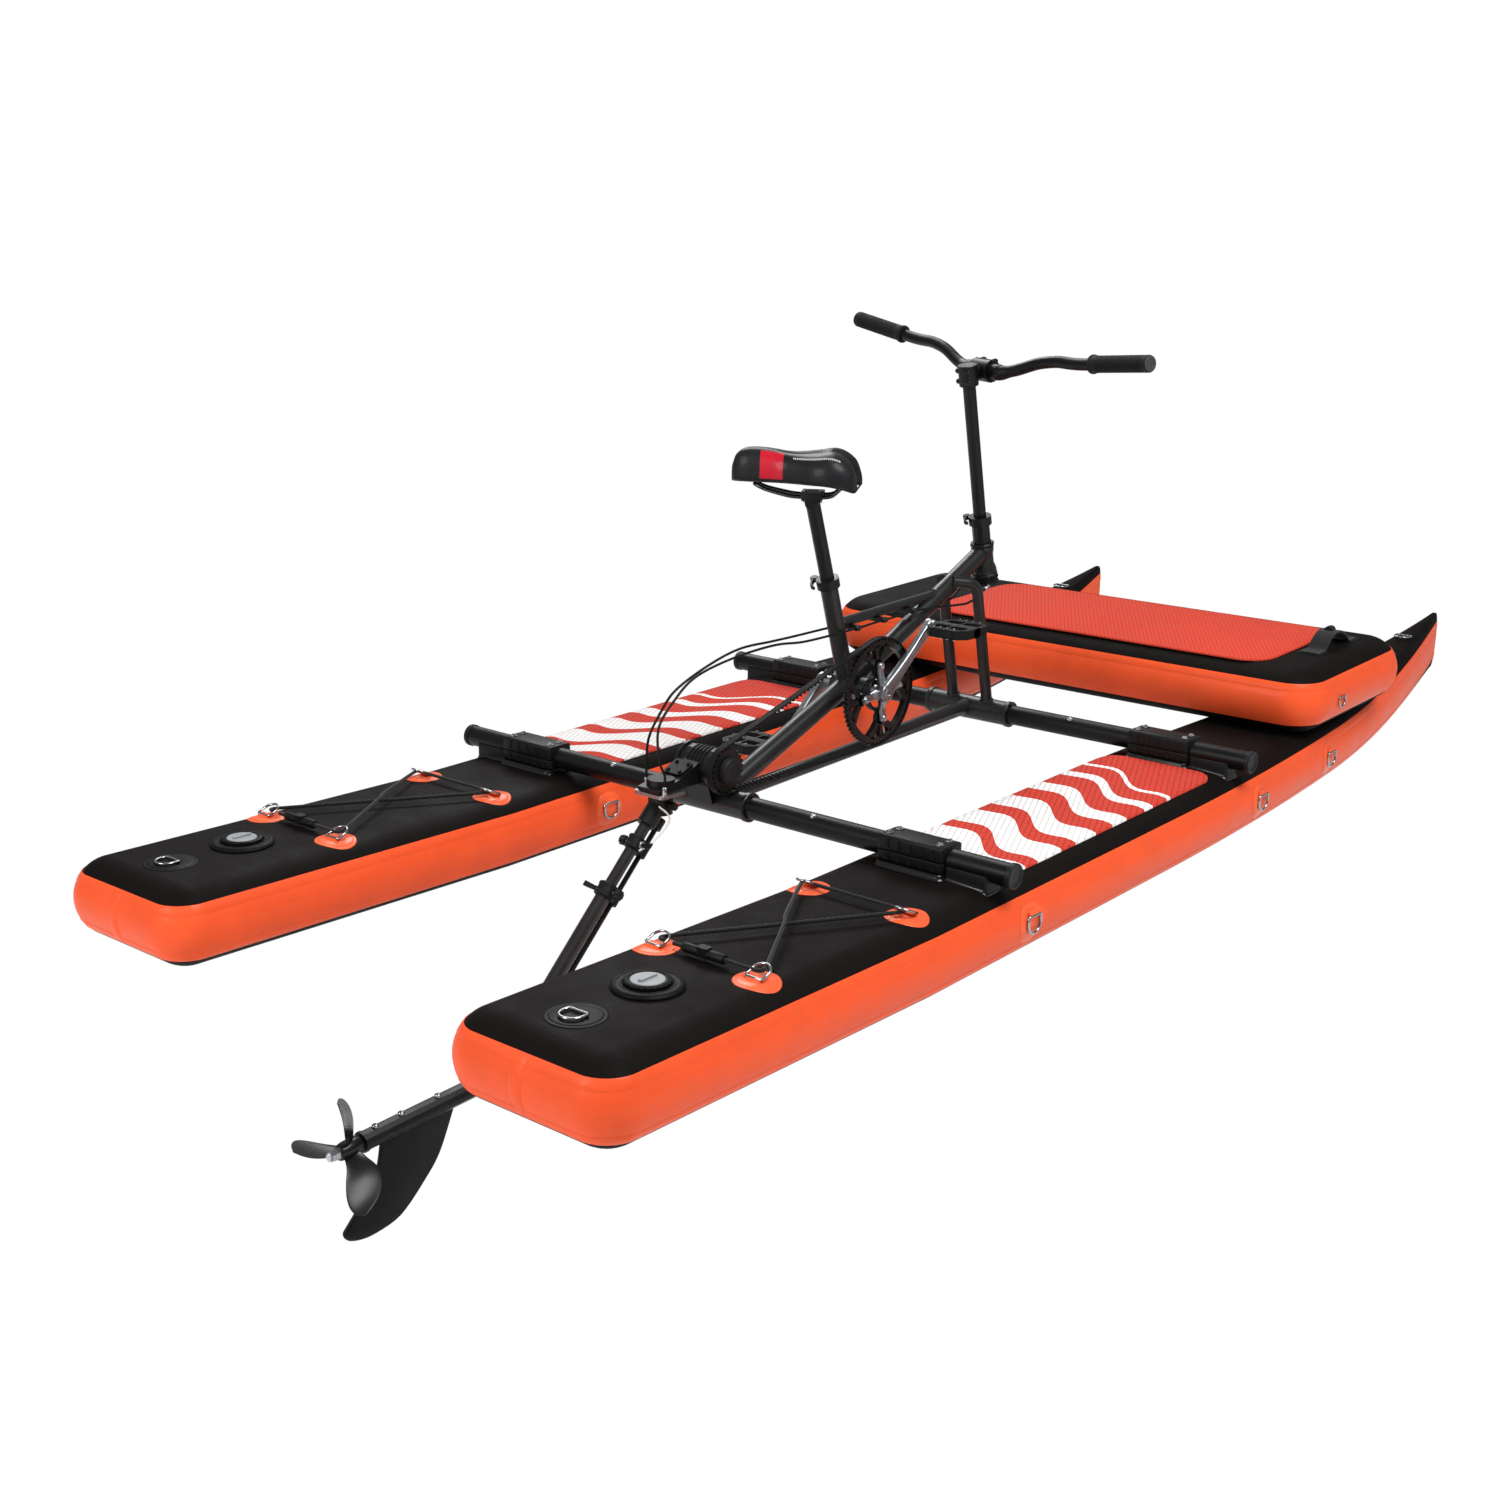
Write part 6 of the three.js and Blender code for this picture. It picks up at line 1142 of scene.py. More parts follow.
@dataclass
class CrossFloat:
    """The inflatable float athwart the bows, with its foam pad, carry handle and end rings."""

    rear: float = 1928
    length: float = 462
    starboard_reach: float = 600
    port_reach: float = 585
    thickness: float = 130
    corner: float = 78
    pad_thickness: float = 4
    pad_rear_inset: float = 42
    pad_front_inset: float = 74
    pad_starboard_inset: float = 130
    pad_port_inset: float = 250
    pad_corner: float = 62
    seam_angle: float = 40
    strap_width: float = 38
    strap_thickness: float = 2.8
    strap_span: float = 112
    strap_rise: float = 30
    strap_foot: float = 34
    strap_from_pad: float = 16
    strap_middle: float = 37
    ring_half: float = 13
    ring_from_rear: float = 128

    def __post_init__(self) -> None:
        """Works out the pitch at which the float lies on both decks."""
        low, high = self.rear + self.thickness / 2, self.rear + self.length - self.thickness / 2
        pitch = math.atan2(FORM.deck(high) - FORM.deck(low), high - low)
        self.across, self.up = upright(pitch), upright(pitch + math.pi / 2)
        self.origin = vec(self.rear + self.length / 2, (self.port_reach - self.starboard_reach) / 2,
                          (FORM.deck(low) + FORM.deck(high)) / 2 + CLEARANCE + self.thickness / 2)
        self.half_y = (self.port_reach + self.starboard_reach) / 2

    def at(self, x: float, y: float, z: float) -> Vector:
        """Returns a place in the float's own directions from its middle."""
        return self.origin + self.across * x + ALONG_Y * y + self.up * z

    def build(self) -> None:
        """Makes the float's pieces."""
        body = "hull_and_frame"
        fit(self.skin(), body, "float_vinyl", "cross_float")
        fit(self.tapes(), body, "float_vinyl")
        fit(self.pad(), body, "float_foam", "float_pad")
        fit(self.handle(), body, "webbing", "float_handle")
        fit(self.end_rings(), body, "steel")

    def loop(self, latitude: float, extra: float = 0.0) -> list[Vector]:
        """Draws one level line round the float, lifted where it lies on a hull.

        Args:
            latitude: Angle up the round sidewall, in degrees.
            extra: Distance outside the skin.

        Returns:
            Places on the line.
        """
        radius, angle, places = self.thickness / 2, math.radians(latitude), []
        inset = radius * (1 - math.cos(angle)) - extra * math.cos(angle)
        height = (radius + extra) * math.sin(angle) / math.sin(math.radians(FORM.top_angle))
        for x, y in rounded(self.length / 2 - inset, self.half_y - inset, max(self.corner - inset, 8), 12):
            spot = self.at(x, y, height)
            if abs(abs(spot.y) - FORM.centre) < FORM.half_width(spot.x):
                beside = spot.y - math.copysign(FORM.centre, spot.y)
                spot.z = max(spot.z, FORM.deck_point(spot.x, beside, CLEARANCE).z)
            places.append(spot)
        return places

    def skin(self) -> bpy.types.Object:
        """Makes the airtight skin: black top and bottom, orange wall.

        Returns:
            The skin.
        """
        shape, levels = Shape("cross_float_skin"), FORM.levels(self.seam_angle, 16)
        shape.skin([self.loop(a) for a in levels], wall_rows(levels, self.seam_angle))
        return shape.build([DECK_BLACK, HULL_ORANGE])

    def tapes(self) -> bpy.types.Object:
        """Makes the glued tape below the top seam.

        Returns:
            The tape.
        """
        shape = Shape("cross_float_seam_tape")
        shape.skin([self.loop(self.seam_angle - a, e) for a, e in FLOAT_TAPE], caps=False)
        return shape.build([HULL_ORANGE], smooth=60)

    def pad(self) -> bpy.types.Object:
        """Lays the foam pad on the float.

        Returns:
            The pad.
        """
        rear, front = -self.length / 2 + self.pad_rear_inset, self.length / 2 - self.pad_front_inset
        low, high = -self.half_y + self.pad_starboard_inset, self.half_y - self.pad_port_inset
        shape, rings, thick = Shape("cross_float_pad"), [], self.pad_thickness
        for inset, height in ((0, 0.1), (0, thick - 1.4), (0.5, thick - 0.5), (1.5, thick)):
            rings.append([self.at((rear + front) / 2 + x, (low + high) / 2 + y, self.thickness / 2 + CLEARANCE + height)
                          for x, y in rounded((front - rear) / 2 - inset, (high - low) / 2 - inset,
                                              self.pad_corner - inset, 10)])
        shape.skin(rings)
        return shape.build([FLOAT_RED], smooth=50)

    def handle(self) -> bpy.types.Object:
        """Makes the webbing handle: stitched feet on glued patches, and an arch with a rubber grip.

        Returns:
            The handle.
        """
        y = -self.half_y + self.pad_starboard_inset - self.strap_from_pad - self.strap_width / 2
        level, half, middle = self.thickness / 2 + CLEARANCE, self.strap_span / 2, self.strap_middle
        shape, rows, wide, thick = Shape("carry_handle"), [], self.strap_width / 2, self.strap_thickness / 2
        line = [(-half - self.strap_foot, 1.5), (-half - 4, 1.5), (-half + 2, 4)]
        line += [(self.strap_span * i / 14 - half, 1.5 + self.strap_rise * math.sin(math.pi * i / 14) ** 0.8)
                 for i in range(1, 14)]
        line += [(half - 2, 4), (half + 4, 1.5), (half + self.strap_foot, 1.5)]
        for i, (x, z) in enumerate(line):
            before, after = line[max(0, i - 1)], line[min(len(line) - 1, i + 1)]
            lean = math.atan2(after[1] - before[1], after[0] - before[0])
            rows.append([self.at(middle + x - math.sin(lean) * t, y + w, level + z + math.cos(lean) * t)
                         for w, t in ((-wide, -thick), (wide, -thick), (wide, thick), (-wide, thick))])
        shape.skin(rows)
        shape.tube([self.at(middle + x, y, level + z) for x, z in line[8:-8]], 9.5, 16, slot=1)
        for foot in (middle - half - self.strap_foot / 2, middle + half + self.strap_foot / 2):
            shape.plate(rounded(27, 27, 12, 5), 1.2, self.at(foot, y, level - CLEARANCE), self.across, ALONG_Y, slot=2)
            for share in (-0.8, -0.27, 0.27, 0.8):
                start = self.at(foot + share * self.strap_foot / 2, y - 15, level + 3)
                shape.tube([start, start + ALONG_Y * 30], 0.5, 6, slot=3)
        return shape.build([WEBBING, TOUGH_RUBBER, PATCH_BLACK, BUNGEE], bevel=0.4)

    def end_rings(self) -> bpy.types.Object:
        """Hangs a D-ring on the wall of each end of the float.

        Returns:
            The two rings.
        """
        shape, half = Shape("float_end_rings"), self.ring_half
        ring = [(-half, 1), (2 - half, 0), (half - 2, 0), (half, 1)]
        ring += [(a, 8 + b) for a, b in (polar(half, math.pi * i / 12) for i in range(13))]
        for end in (-1, 1):
            seat = self.at(self.ring_from_rear - self.length / 2, end * (self.half_y + 2.5), 4)
            shape.tube([seat + self.across * a - self.up * b for a, b in ring], 1.9, 10, closed=True)
        return shape.build([STEEL], smooth=60)


# Lines and levels that the sub-assemblies share


@dataclass(frozen=True)
class Line:
    """A straight line that pieces are placed along."""

    origin: Vector
    direction: Vector

    def at(self, distance: float) -> Vector:
        """Returns the place at a distance from the origin."""
        return self.origin + self.direction * distance


def tilted(x: float, z: float, angle: float) -> Line:
    """Returns a line in the middle plane that leans aft from upright by an angle in degrees."""
    return Line(vec(x, 0, z), upright(math.radians(90 + angle)))


def between(start: Vector, end: Vector) -> Line:
    """Returns the line from one place to another."""
    return Line(start, (end - start).normalized())


STEERING = tilted(1678, 481, 12.8)
SEAT = tilted(1178, 504, 18.6)
LEG = Line(vec(749, 0, 190), -upright(math.radians(44.7)))
LEG_AHEAD = LEG.direction.cross(ALONG_Y)
POD = Line(vec(373, 0, -183), upright(math.radians(3.2)))
CRANK = vec(1267, 0, 291)
PULLEY = vec(846, 0, 228)
BAR_RADIUS = 19
BAR_ABOVE_DECK = 27.5
REAR_BAR, FRONT_BAR = (vec(x, 0, FORM.deck(x) + BAR_ABOVE_DECK) for x in (875, 1658))
SPAR_FOOT = vec(1244, 0, 300)
STAY_RADIUS = 18
SPINDLE_RADIUS = 12
BELT_PLANE = 54


def on_leg(distance: float, ahead: float = 0.0) -> Vector:
    """Returns a place along the leg and ahead of it."""
    return LEG.at(distance) + LEG_AHEAD * ahead


def pod_axis(x: float) -> Vector:
    """Returns the place on the propeller unit's axis at a distance from the sterns."""
    return POD.at((x - POD.origin.x) / POD.direction.x)


def meet(start: Vector, direction: Vector, into: Line, radius: float, near: float) -> Vector:
    """Finds where a line runs into a round tube.

    Args:
        start: A place on the line.
        direction: The line's unit direction.
        into: The tube's centre line.
        radius: The tube's radius.
        near: Distance from the start, near the place.

    Returns:
        The place.
    """
    base, gap = into.direction.normalized(), start - into.origin
    run, off = direction - base * direction.dot(base), gap - base * gap.dot(base)
    a, b, c = run.dot(run), 2 * run.dot(off), off.dot(off) - radius**2
    root = math.sqrt(max(0.0, b * b - 4 * a * c))
    return start + direction * min(((-b - root) / (2 * a), (-b + root) / (2 * a)), key=lambda t: abs(t - near))


def weld_bead(shape: Shape, tube: Line, radius: float, into: Line, into_radius: float, near: float) -> None:
    """Lays a rippled fillet weld where one round tube ends on another.

    Args:
        shape: The mesh that it is added to.
        tube: The centre line of the tube that ends there.
        radius: That tube's radius.
        into: The centre line of the tube that it ends on.
        into_radius: The other tube's radius.
        near: Distance along the first line, near the weld.
    """
    side, up = square_to(tube.direction)
    sides, bead, ripple, first = 8, 2.3, 0.16, len(shape.points)
    path = [meet(tube.origin + side * x + up * y, tube.direction, into, into_radius, near)
            for x, y in circle(radius, 72)]
    shape.tube(path, bead, sides, closed=True)
    for spot in range(first, len(shape.points)):
        i = (spot - first) // sides
        shape.points[spot] = path[i] + (shape.points[spot] - path[i]) * (1 + ripple * (i % 3 - 1))


def bent(start: Vector, corner: Vector, end: Vector, radius: float, steps: int) -> list[Vector]:
    """Returns a line whose corner is bent to a radius.

    Args:
        start: Where it starts.
        corner: Where its two straight parts would meet.
        end: Where it ends.
        radius: The bend's radius.
        steps: Pieces of the bend.

    Returns:
        Places on the line.
    """
    back, ahead = (start - corner).normalized(), (end - corner).normalized()
    reach = radius / math.tan(back.angle(ahead) / 2)
    leave, arrive = corner + back * reach, corner + ahead * reach
    arc = [leave.lerp(corner, i / steps).lerp(corner.lerp(arrive, i / steps), i / steps) for i in range(steps + 1)]
    return [start, *arc, end]


# Crossbars and their brackets


@dataclass
class Crossbars:
    """Two tubes across both hulls, and the clamps that hold them on the decks."""

    over_hull: float = 164
    cap_radius: float = 20.5
    cap_length: float = 10
    length: float = 124
    half_width: float = 27
    cover: float = 5
    centre_from_hull: float = 16
    plate_half_width: float = 33
    plate_corner: float = 9
    plate_thickness: float = 9
    foot_start: float = 62
    foot_length: float = 78
    foot_half_width: float = 21
    foot_corner: float = 6
    bolt_inset: float = 14
    split: float = 0.7
    block_corner: float = 5
    rib_spacing: float = 22

    button_leans = vec(-0.5, 0, 0.86)

    def build(self) -> None:
        """Makes both bars and the four brackets."""
        for name, hub, button in (("rear", REAR_BAR, 227), ("front", FRONT_BAR, 235)):
            fit(self.bar(name, hub, button), "hull_and_frame", "bar_paint", f"{name}_crossbar")
            for side_name, side in SIDES:
                fit(self.bracket(f"{side_name}_{name}", hub, side), "hull_and_frame", "bracket_paint",
                    f"{side_name}_{name}_bracket")

    def bar(self, name: str, hub: Vector, button: float) -> bpy.types.Object:
        """Makes a tube with dished end caps and the spring buttons that lock it in the frame.

        Args:
            name: Which bar.
            hub: Its middle.
            button: Distance of the spring buttons from its middle.

        Returns:
            The bar.
        """
        shape, rim, wall = Shape(f"{name}_bar"), self.cap_radius, BAR_RADIUS
        shoulder = ALONG_Y * (FORM.centre + self.over_hull - self.cap_length)
        shape.rod(hub - shoulder, hub + shoulder, wall, steps=56)
        for side in (-1, 1):
            shape.lathe([(wall - 1, 0), (rim - 0.8, 0), (rim, 0.9), (rim, 8.4), (rim - 1.6, 10), (rim - 3.6, 10),
                         (rim - 4.6, 8.8), (9, 7.4), (3, 7.9), (0, 8)], hub + shoulder * side, ALONG_Y * side, 48, 1)
            shape.lathe([(5.2, wall - 0.6), (5.2, wall + 0.5), (4, wall + 0.9), (3.6, wall + 3), (2, wall + 4.2),
                         (0, wall + 4.6)], hub + ALONG_Y * (side * button), self.button_leans, 20, 2)
        return shape.build([BAR_BLACK, CAP_BLACK, BOLT_STEEL], smooth=40)

    def bracket(self, name: str, hub: Vector, side: int) -> bpy.types.Object:
        """Makes a clamp: a rubber foot that follows the deck, a two-part block, its bolts and an outboard arm.

        Args:
            name: Which bracket.
            hub: The bar's middle.
            side: -1 to starboard, 1 to port.

        Returns:
            The bracket.
        """
        shape, offset = Shape(f"{name}_bar_bracket"), side * FORM.centre
        centre, top = offset - side * self.centre_from_hull, hub.z + BAR_RADIUS + self.cover

        def boot(y: float, half_x: float, half_y: float, corner: float, levels: Sequence[Pair]) -> list[list[Vector]]:
            """Returns the rings of a rubber boot on the deck, from how far each grows and how high it lies."""
            return [[FORM.deck_point(hub.x + a, y - offset + b, CLEARANCE + lift) + ALONG_Y * offset
                     for a, b in rounded(half_x + grow, half_y + grow, corner + grow)] for grow, lift in levels]

        shape.skin(boot(centre, self.plate_half_width, self.length / 2, self.plate_corner, (
            (3.5, 0), (3.5, 1.6), (2.4, 2.8), (0.6, 4), (0, 6), (-0.4, 8), (-1.6, self.plate_thickness))), 1)
        split = hub.z - 1
        self.half_block(shape, hub, centre, FORM.deck(hub.x) + self.plate_thickness - 1, split - self.split)
        self.half_block(shape, hub, centre, split + self.split, top)
        middle = centre + side * (self.foot_start + self.foot_length / 2)
        rings = boot(middle, self.foot_half_width, self.foot_length / 2, self.foot_corner,
                     ((2.5, 0), (2.5, 1.5), (0.8, 3), (0, 5), (0, 12)))
        rings += [[vec(hub.x + x, middle + y, hub.z - drop) for x, y in rounded(
            self.foot_half_width - inset, self.foot_length / 2 - inset, self.foot_corner - inset)]
                  for drop, inset in ((7, 0), (5.4, 0.6), (5, 2))]
        shape.skin(rings, lambda row, _: int(row < 3))
        for across, along in ((-1, -1), (-1, 1), (1, -1), (1, 1)):
            seat = vec(hub.x + across * (self.half_width - self.bolt_inset),
                       centre + along * (self.length / 2 - self.bolt_inset), top)
            shape.lathe([(7.6, -0.4), (7.6, 0.5), (6.6, 0.9), (0, 0.9)], seat, ALONG_Z, 24)
            shape.bolt(seat + ALONG_Z * 0.5, ALONG_Z, 4.1, 3.6, 2)
        return shape.build([NYLON_BLACK, GLOSS_RUBBER, BOLT_STEEL], bevel=0.5)

    def half_block(self, shape: Shape, hub: Vector, centre: float, low: float, high: float) -> None:
        """Adds one half of the block, with its outer corners rounded and shallow ribs on its long faces.

        Args:
            shape: The mesh that it is added to.
            hub: The bar's middle.
            centre: The block's middle across the hulls.
            low: The half's underside.
            high: Its top.
        """
        rows, middle = [], (low + high) / 2
        for y, inset in ((-1, 2.2), (-0.985, 0.6), (-0.96, 0), (0.96, 0), (0.985, 0.6), (1, 2.2)):
            row = []
            for x, z, start in QUARTERS:
                reach = self.block_corner if (z > 0) == (high > hub.z) else 1.0
                for a, b in (polar(reach, math.radians(start + 22.5 * i)) for i in range(5)):
                    row.append(vec(hub.x + x * (self.half_width - inset - reach) + a, centre + y * self.length / 2,
                                   middle + z * ((high - low) / 2 - inset - reach) + b))
            rows.append(row)
        shape.skin(rows)
        for rib in range(-2, 3):
            for x in (-self.half_width, self.half_width):
                shape.block(vec(hub.x + x, centre + rib * self.rib_spacing, middle), (2.4, 9, (high - low) * 0.62),
                            corner=1.1)


# Welded frame


@dataclass
class Frame:
    """The welded aluminium frame: head, spar, seat tube, stays, front legs and the two bar sleeves."""

    head_half: float = 27
    head_radius: float = 20
    head_top_radius: float = 22
    head_low_radius: float = 24.5
    head_bore: float = 17.1
    spar_radius: float = 17.5
    spar_bend: float = 150
    seat_radius: float = 16
    seat_bore: float = 13.1
    seat_bore_depth: float = 30
    top_radius: float = 9.5
    leg_radius: float = 11
    leg_bend: float = 30
    lower_front_radius: float = 15
    lower_rear_radius: float = 10.5
    leg_head_spacing: float = 12
    leg_spacing: float = 40
    sleeve_radius: float = 23.5
    sleeve_bore: float = 19.3
    collar_radius: float = 25.5
    collar_length: float = 9
    rear_half: float = 88
    front_half: float = 96
    shell_radius: float = 22
    shell_half: float = 36.5
    shell_bore: float = 17
    guide_shares: tuple[float, ...] = (0.13, 0.4, 0.71)
    guide_spacing: float = 19.2
    guide_drop: float = 12

    top_rear, top_front = vec(1208, 0, 417), vec(1508, 0, 430)
    spar_kink = vec(1384, 0, 360)
    low_front, low_rear = FRONT_BAR + ALONG_Z * 5, REAR_BAR - ALONG_Z * 9
    stay_end = REAR_BAR - ALONG_Z * 6

    def __post_init__(self) -> None:
        """Works out where the spar meets the head, and each front leg's top, corner and foot."""
        self.spar_top = STEERING.at(self.head_half * 0.6)
        self.legs = [(vec(1556, side * self.leg_head_spacing, 452), vec(1598, side * self.leg_spacing, 446),
                      FRONT_BAR + ALONG_Y * (side * self.leg_spacing)) for _, side in SIDES]

    def guide(self, share: float) -> Vector:
        """Returns the middle of a cable guide under the top tube."""
        return self.top_rear.lerp(self.top_front, share) - ALONG_Z * self.guide_drop

    def build(self) -> None:
        """Makes the welded frame in one piece."""
        shape = Shape("welded_frame")
        self.head_and_spar(shape)
        self.tubes(shape)
        self.sleeves(shape)
        self.guides(shape)
        self.welds(shape)
        fit(shape.build([FRAME_GREY], smooth=38), "hull_and_frame", "frame_paint", "bike_frame")

    def head_and_spar(self, shape: Shape) -> None:
        """Adds the flared head tube, and the bent spar whose end is cut to it.

        Args:
            shape: The frame's mesh.
        """
        half, low, wall, top = self.head_half, self.head_low_radius, self.head_radius, self.head_top_radius
        shape.lathe([(self.head_bore, -half), (low - 1, -half), (low, 1 - half), (low, -half * 0.78),
                     (wall + 2.2, -half * 0.5), (wall, -half * 0.3), (wall, half * 0.4), (wall + 1, half * 0.58),
                     (top, half * 0.72), (top, half - 1), (top - 1, half), (self.head_bore, half)],
                    STEERING.origin, STEERING.direction, 64, loop=True)
        first, sides, up = len(shape.points), 48, between(self.spar_kink, self.spar_top).direction
        shape.tube(bent(self.spar_top, self.spar_kink, SPAR_FOOT, self.spar_bend, 14), self.spar_radius, sides)
        del shape.faces[-2], shape.slots[-2]
        for spot in range(first, first + sides):
            shape.points[spot] = meet(shape.points[spot], up, STEERING, self.head_bore + 1.4, -30)

    def tubes(self, shape: Shape) -> None:
        """Adds the main stay, seat tube, top tube, lower tube and front legs.

        Args:
            shape: The frame's mesh.
        """
        stay, bore = STAY_RADIUS, self.seat_bore
        shape.rod(SPAR_FOOT, self.stay_end, stay, steps=48)
        shape.lathe([(0, -14), (13, -14), (stay, -7), (stay, 1), (0, 1)], SPAR_FOOT,
                    SPAR_FOOT - self.stay_end + vec(0, 0, 0.1), 48)
        shape.rod(SPAR_FOOT, SEAT.at(-1), self.seat_radius, steps=48)
        shape.lathe([(self.seat_radius, -1.2), (self.seat_radius, 0), (bore, 0), (bore, -self.seat_bore_depth),
                     (0, -self.seat_bore_depth)], SEAT.origin, SEAT.direction, 48)
        shape.rod(self.top_rear, self.top_front, self.top_radius, steps=36)
        shape.rod(self.low_front, self.low_rear, self.lower_front_radius, self.lower_rear_radius, 44)
        for top, corner, foot in self.legs:
            shape.tube(bent(top, corner, foot, self.leg_bend, 12), self.leg_radius, 36)

    def sleeves(self, shape: Shape) -> None:
        """Adds the two sleeves that take the crossbars, with their end collars, and the crank shell.

        Args:
            shape: The frame's mesh.
        """
        rim, wall = self.collar_radius, self.sleeve_radius
        for hub, half in ((REAR_BAR, self.rear_half), (FRONT_BAR, self.front_half)):
            side = [(wall, half - self.collar_length), (rim, half - self.collar_length + 1), (rim, half - 1),
                    (rim - 1, half), (self.sleeve_bore, half)]
            shape.lathe([(r, -y) for r, y in reversed(side)] + side, hub, ALONG_Y, 60, loop=True)
        shape.lathe(collar_profile(self.shell_bore, self.shell_radius, self.shell_half, 0.8), CRANK, ALONG_Y, 56,
                    loop=True)

    def guides(self, shape: Shape) -> None:
        """Adds the cable guides, each a block with a ferrule on either side.

        Args:
            shape: The frame's mesh.
        """
        for share in self.guide_shares:
            middle = self.guide(share)
            shape.block(middle, (9, 48, 9), corner=3.6)
            for _, side in SIDES:
                shape.lathe([(2.9, -6.5), (4.4, -6.5), (5, -5.6), (5, 5.6), (4.4, 6.5), (2.9, 6.5)],
                            middle + ALONG_Y * (side * self.guide_spacing), ALONG_X, 24, loop=True)

    def welds(self, shape: Shape) -> None:
        """Lays the beads where the tubes meet.

        Args:
            shape: The frame's mesh.
        """
        spar_up, spar_low = between(self.spar_kink, self.spar_top), between(SPAR_FOOT, self.spar_kink)
        seat, top = between(SPAR_FOOT, SEAT.origin), between(self.top_rear, self.top_front)
        rear_hub, front_hub, shell = Line(REAR_BAR, ALONG_Y), Line(FRONT_BAR, ALONG_Y), Line(CRANK, ALONG_Y)
        sleeve, spar = self.sleeve_radius, self.spar_radius
        # Each row: the tube and its radius, what it ends on and that radius, and about how far along the weld lies
        for row in (
            (spar_up, spar, STEERING, self.head_radius + 0.4, (self.spar_top - self.spar_kink).length - 30),
            (top, self.top_radius, seat, self.seat_radius, 14),
            (top, self.top_radius, spar_up, spar, (self.top_front - self.top_rear).length - 20),
            (seat, self.seat_radius, spar_low, spar, 24), (seat, self.seat_radius, shell, self.shell_radius, 10),
            (spar_low, spar, shell, self.shell_radius, 50),
            (between(SPAR_FOOT, self.stay_end), STAY_RADIUS, rear_hub, sleeve, 350),
            (between(self.low_front, self.low_rear), self.lower_front_radius, front_hub, sleeve, 18),
            (between(self.low_rear, self.low_front), self.lower_rear_radius, rear_hub, sleeve, 20),
            *((between(corner, foot), self.leg_radius, front_hub, sleeve, (foot - corner).length - 24)
              for _, corner, foot in self.legs),
        ):
            weld_bead(shape, *row)


# Quick-release collars


def lever_blade(shape: Shape, line: Sequence[Vector], axis: Vector,
                section: Callable[[float, float], Sequence[Pair]]) -> None:
    """Forms a cam lever's blade along a line.

    Args:
        shape: The mesh that it is added to.
        line: Places on the line.
        axis: The direction of the blade's width.
        section: Turns the share of the line, and 1 at its tip or else 0, into an outline.
    """
    rows, last = [], len(line) - 1
    for i, place in enumerate(line):
        flat = axis.cross(line[min(i + 1, last)] - line[max(i - 1, 0)]).normalized()
        rows.append([place + axis * x + flat * y for x, y in section(i / last, float(i == last))])
    shape.skin(rows)


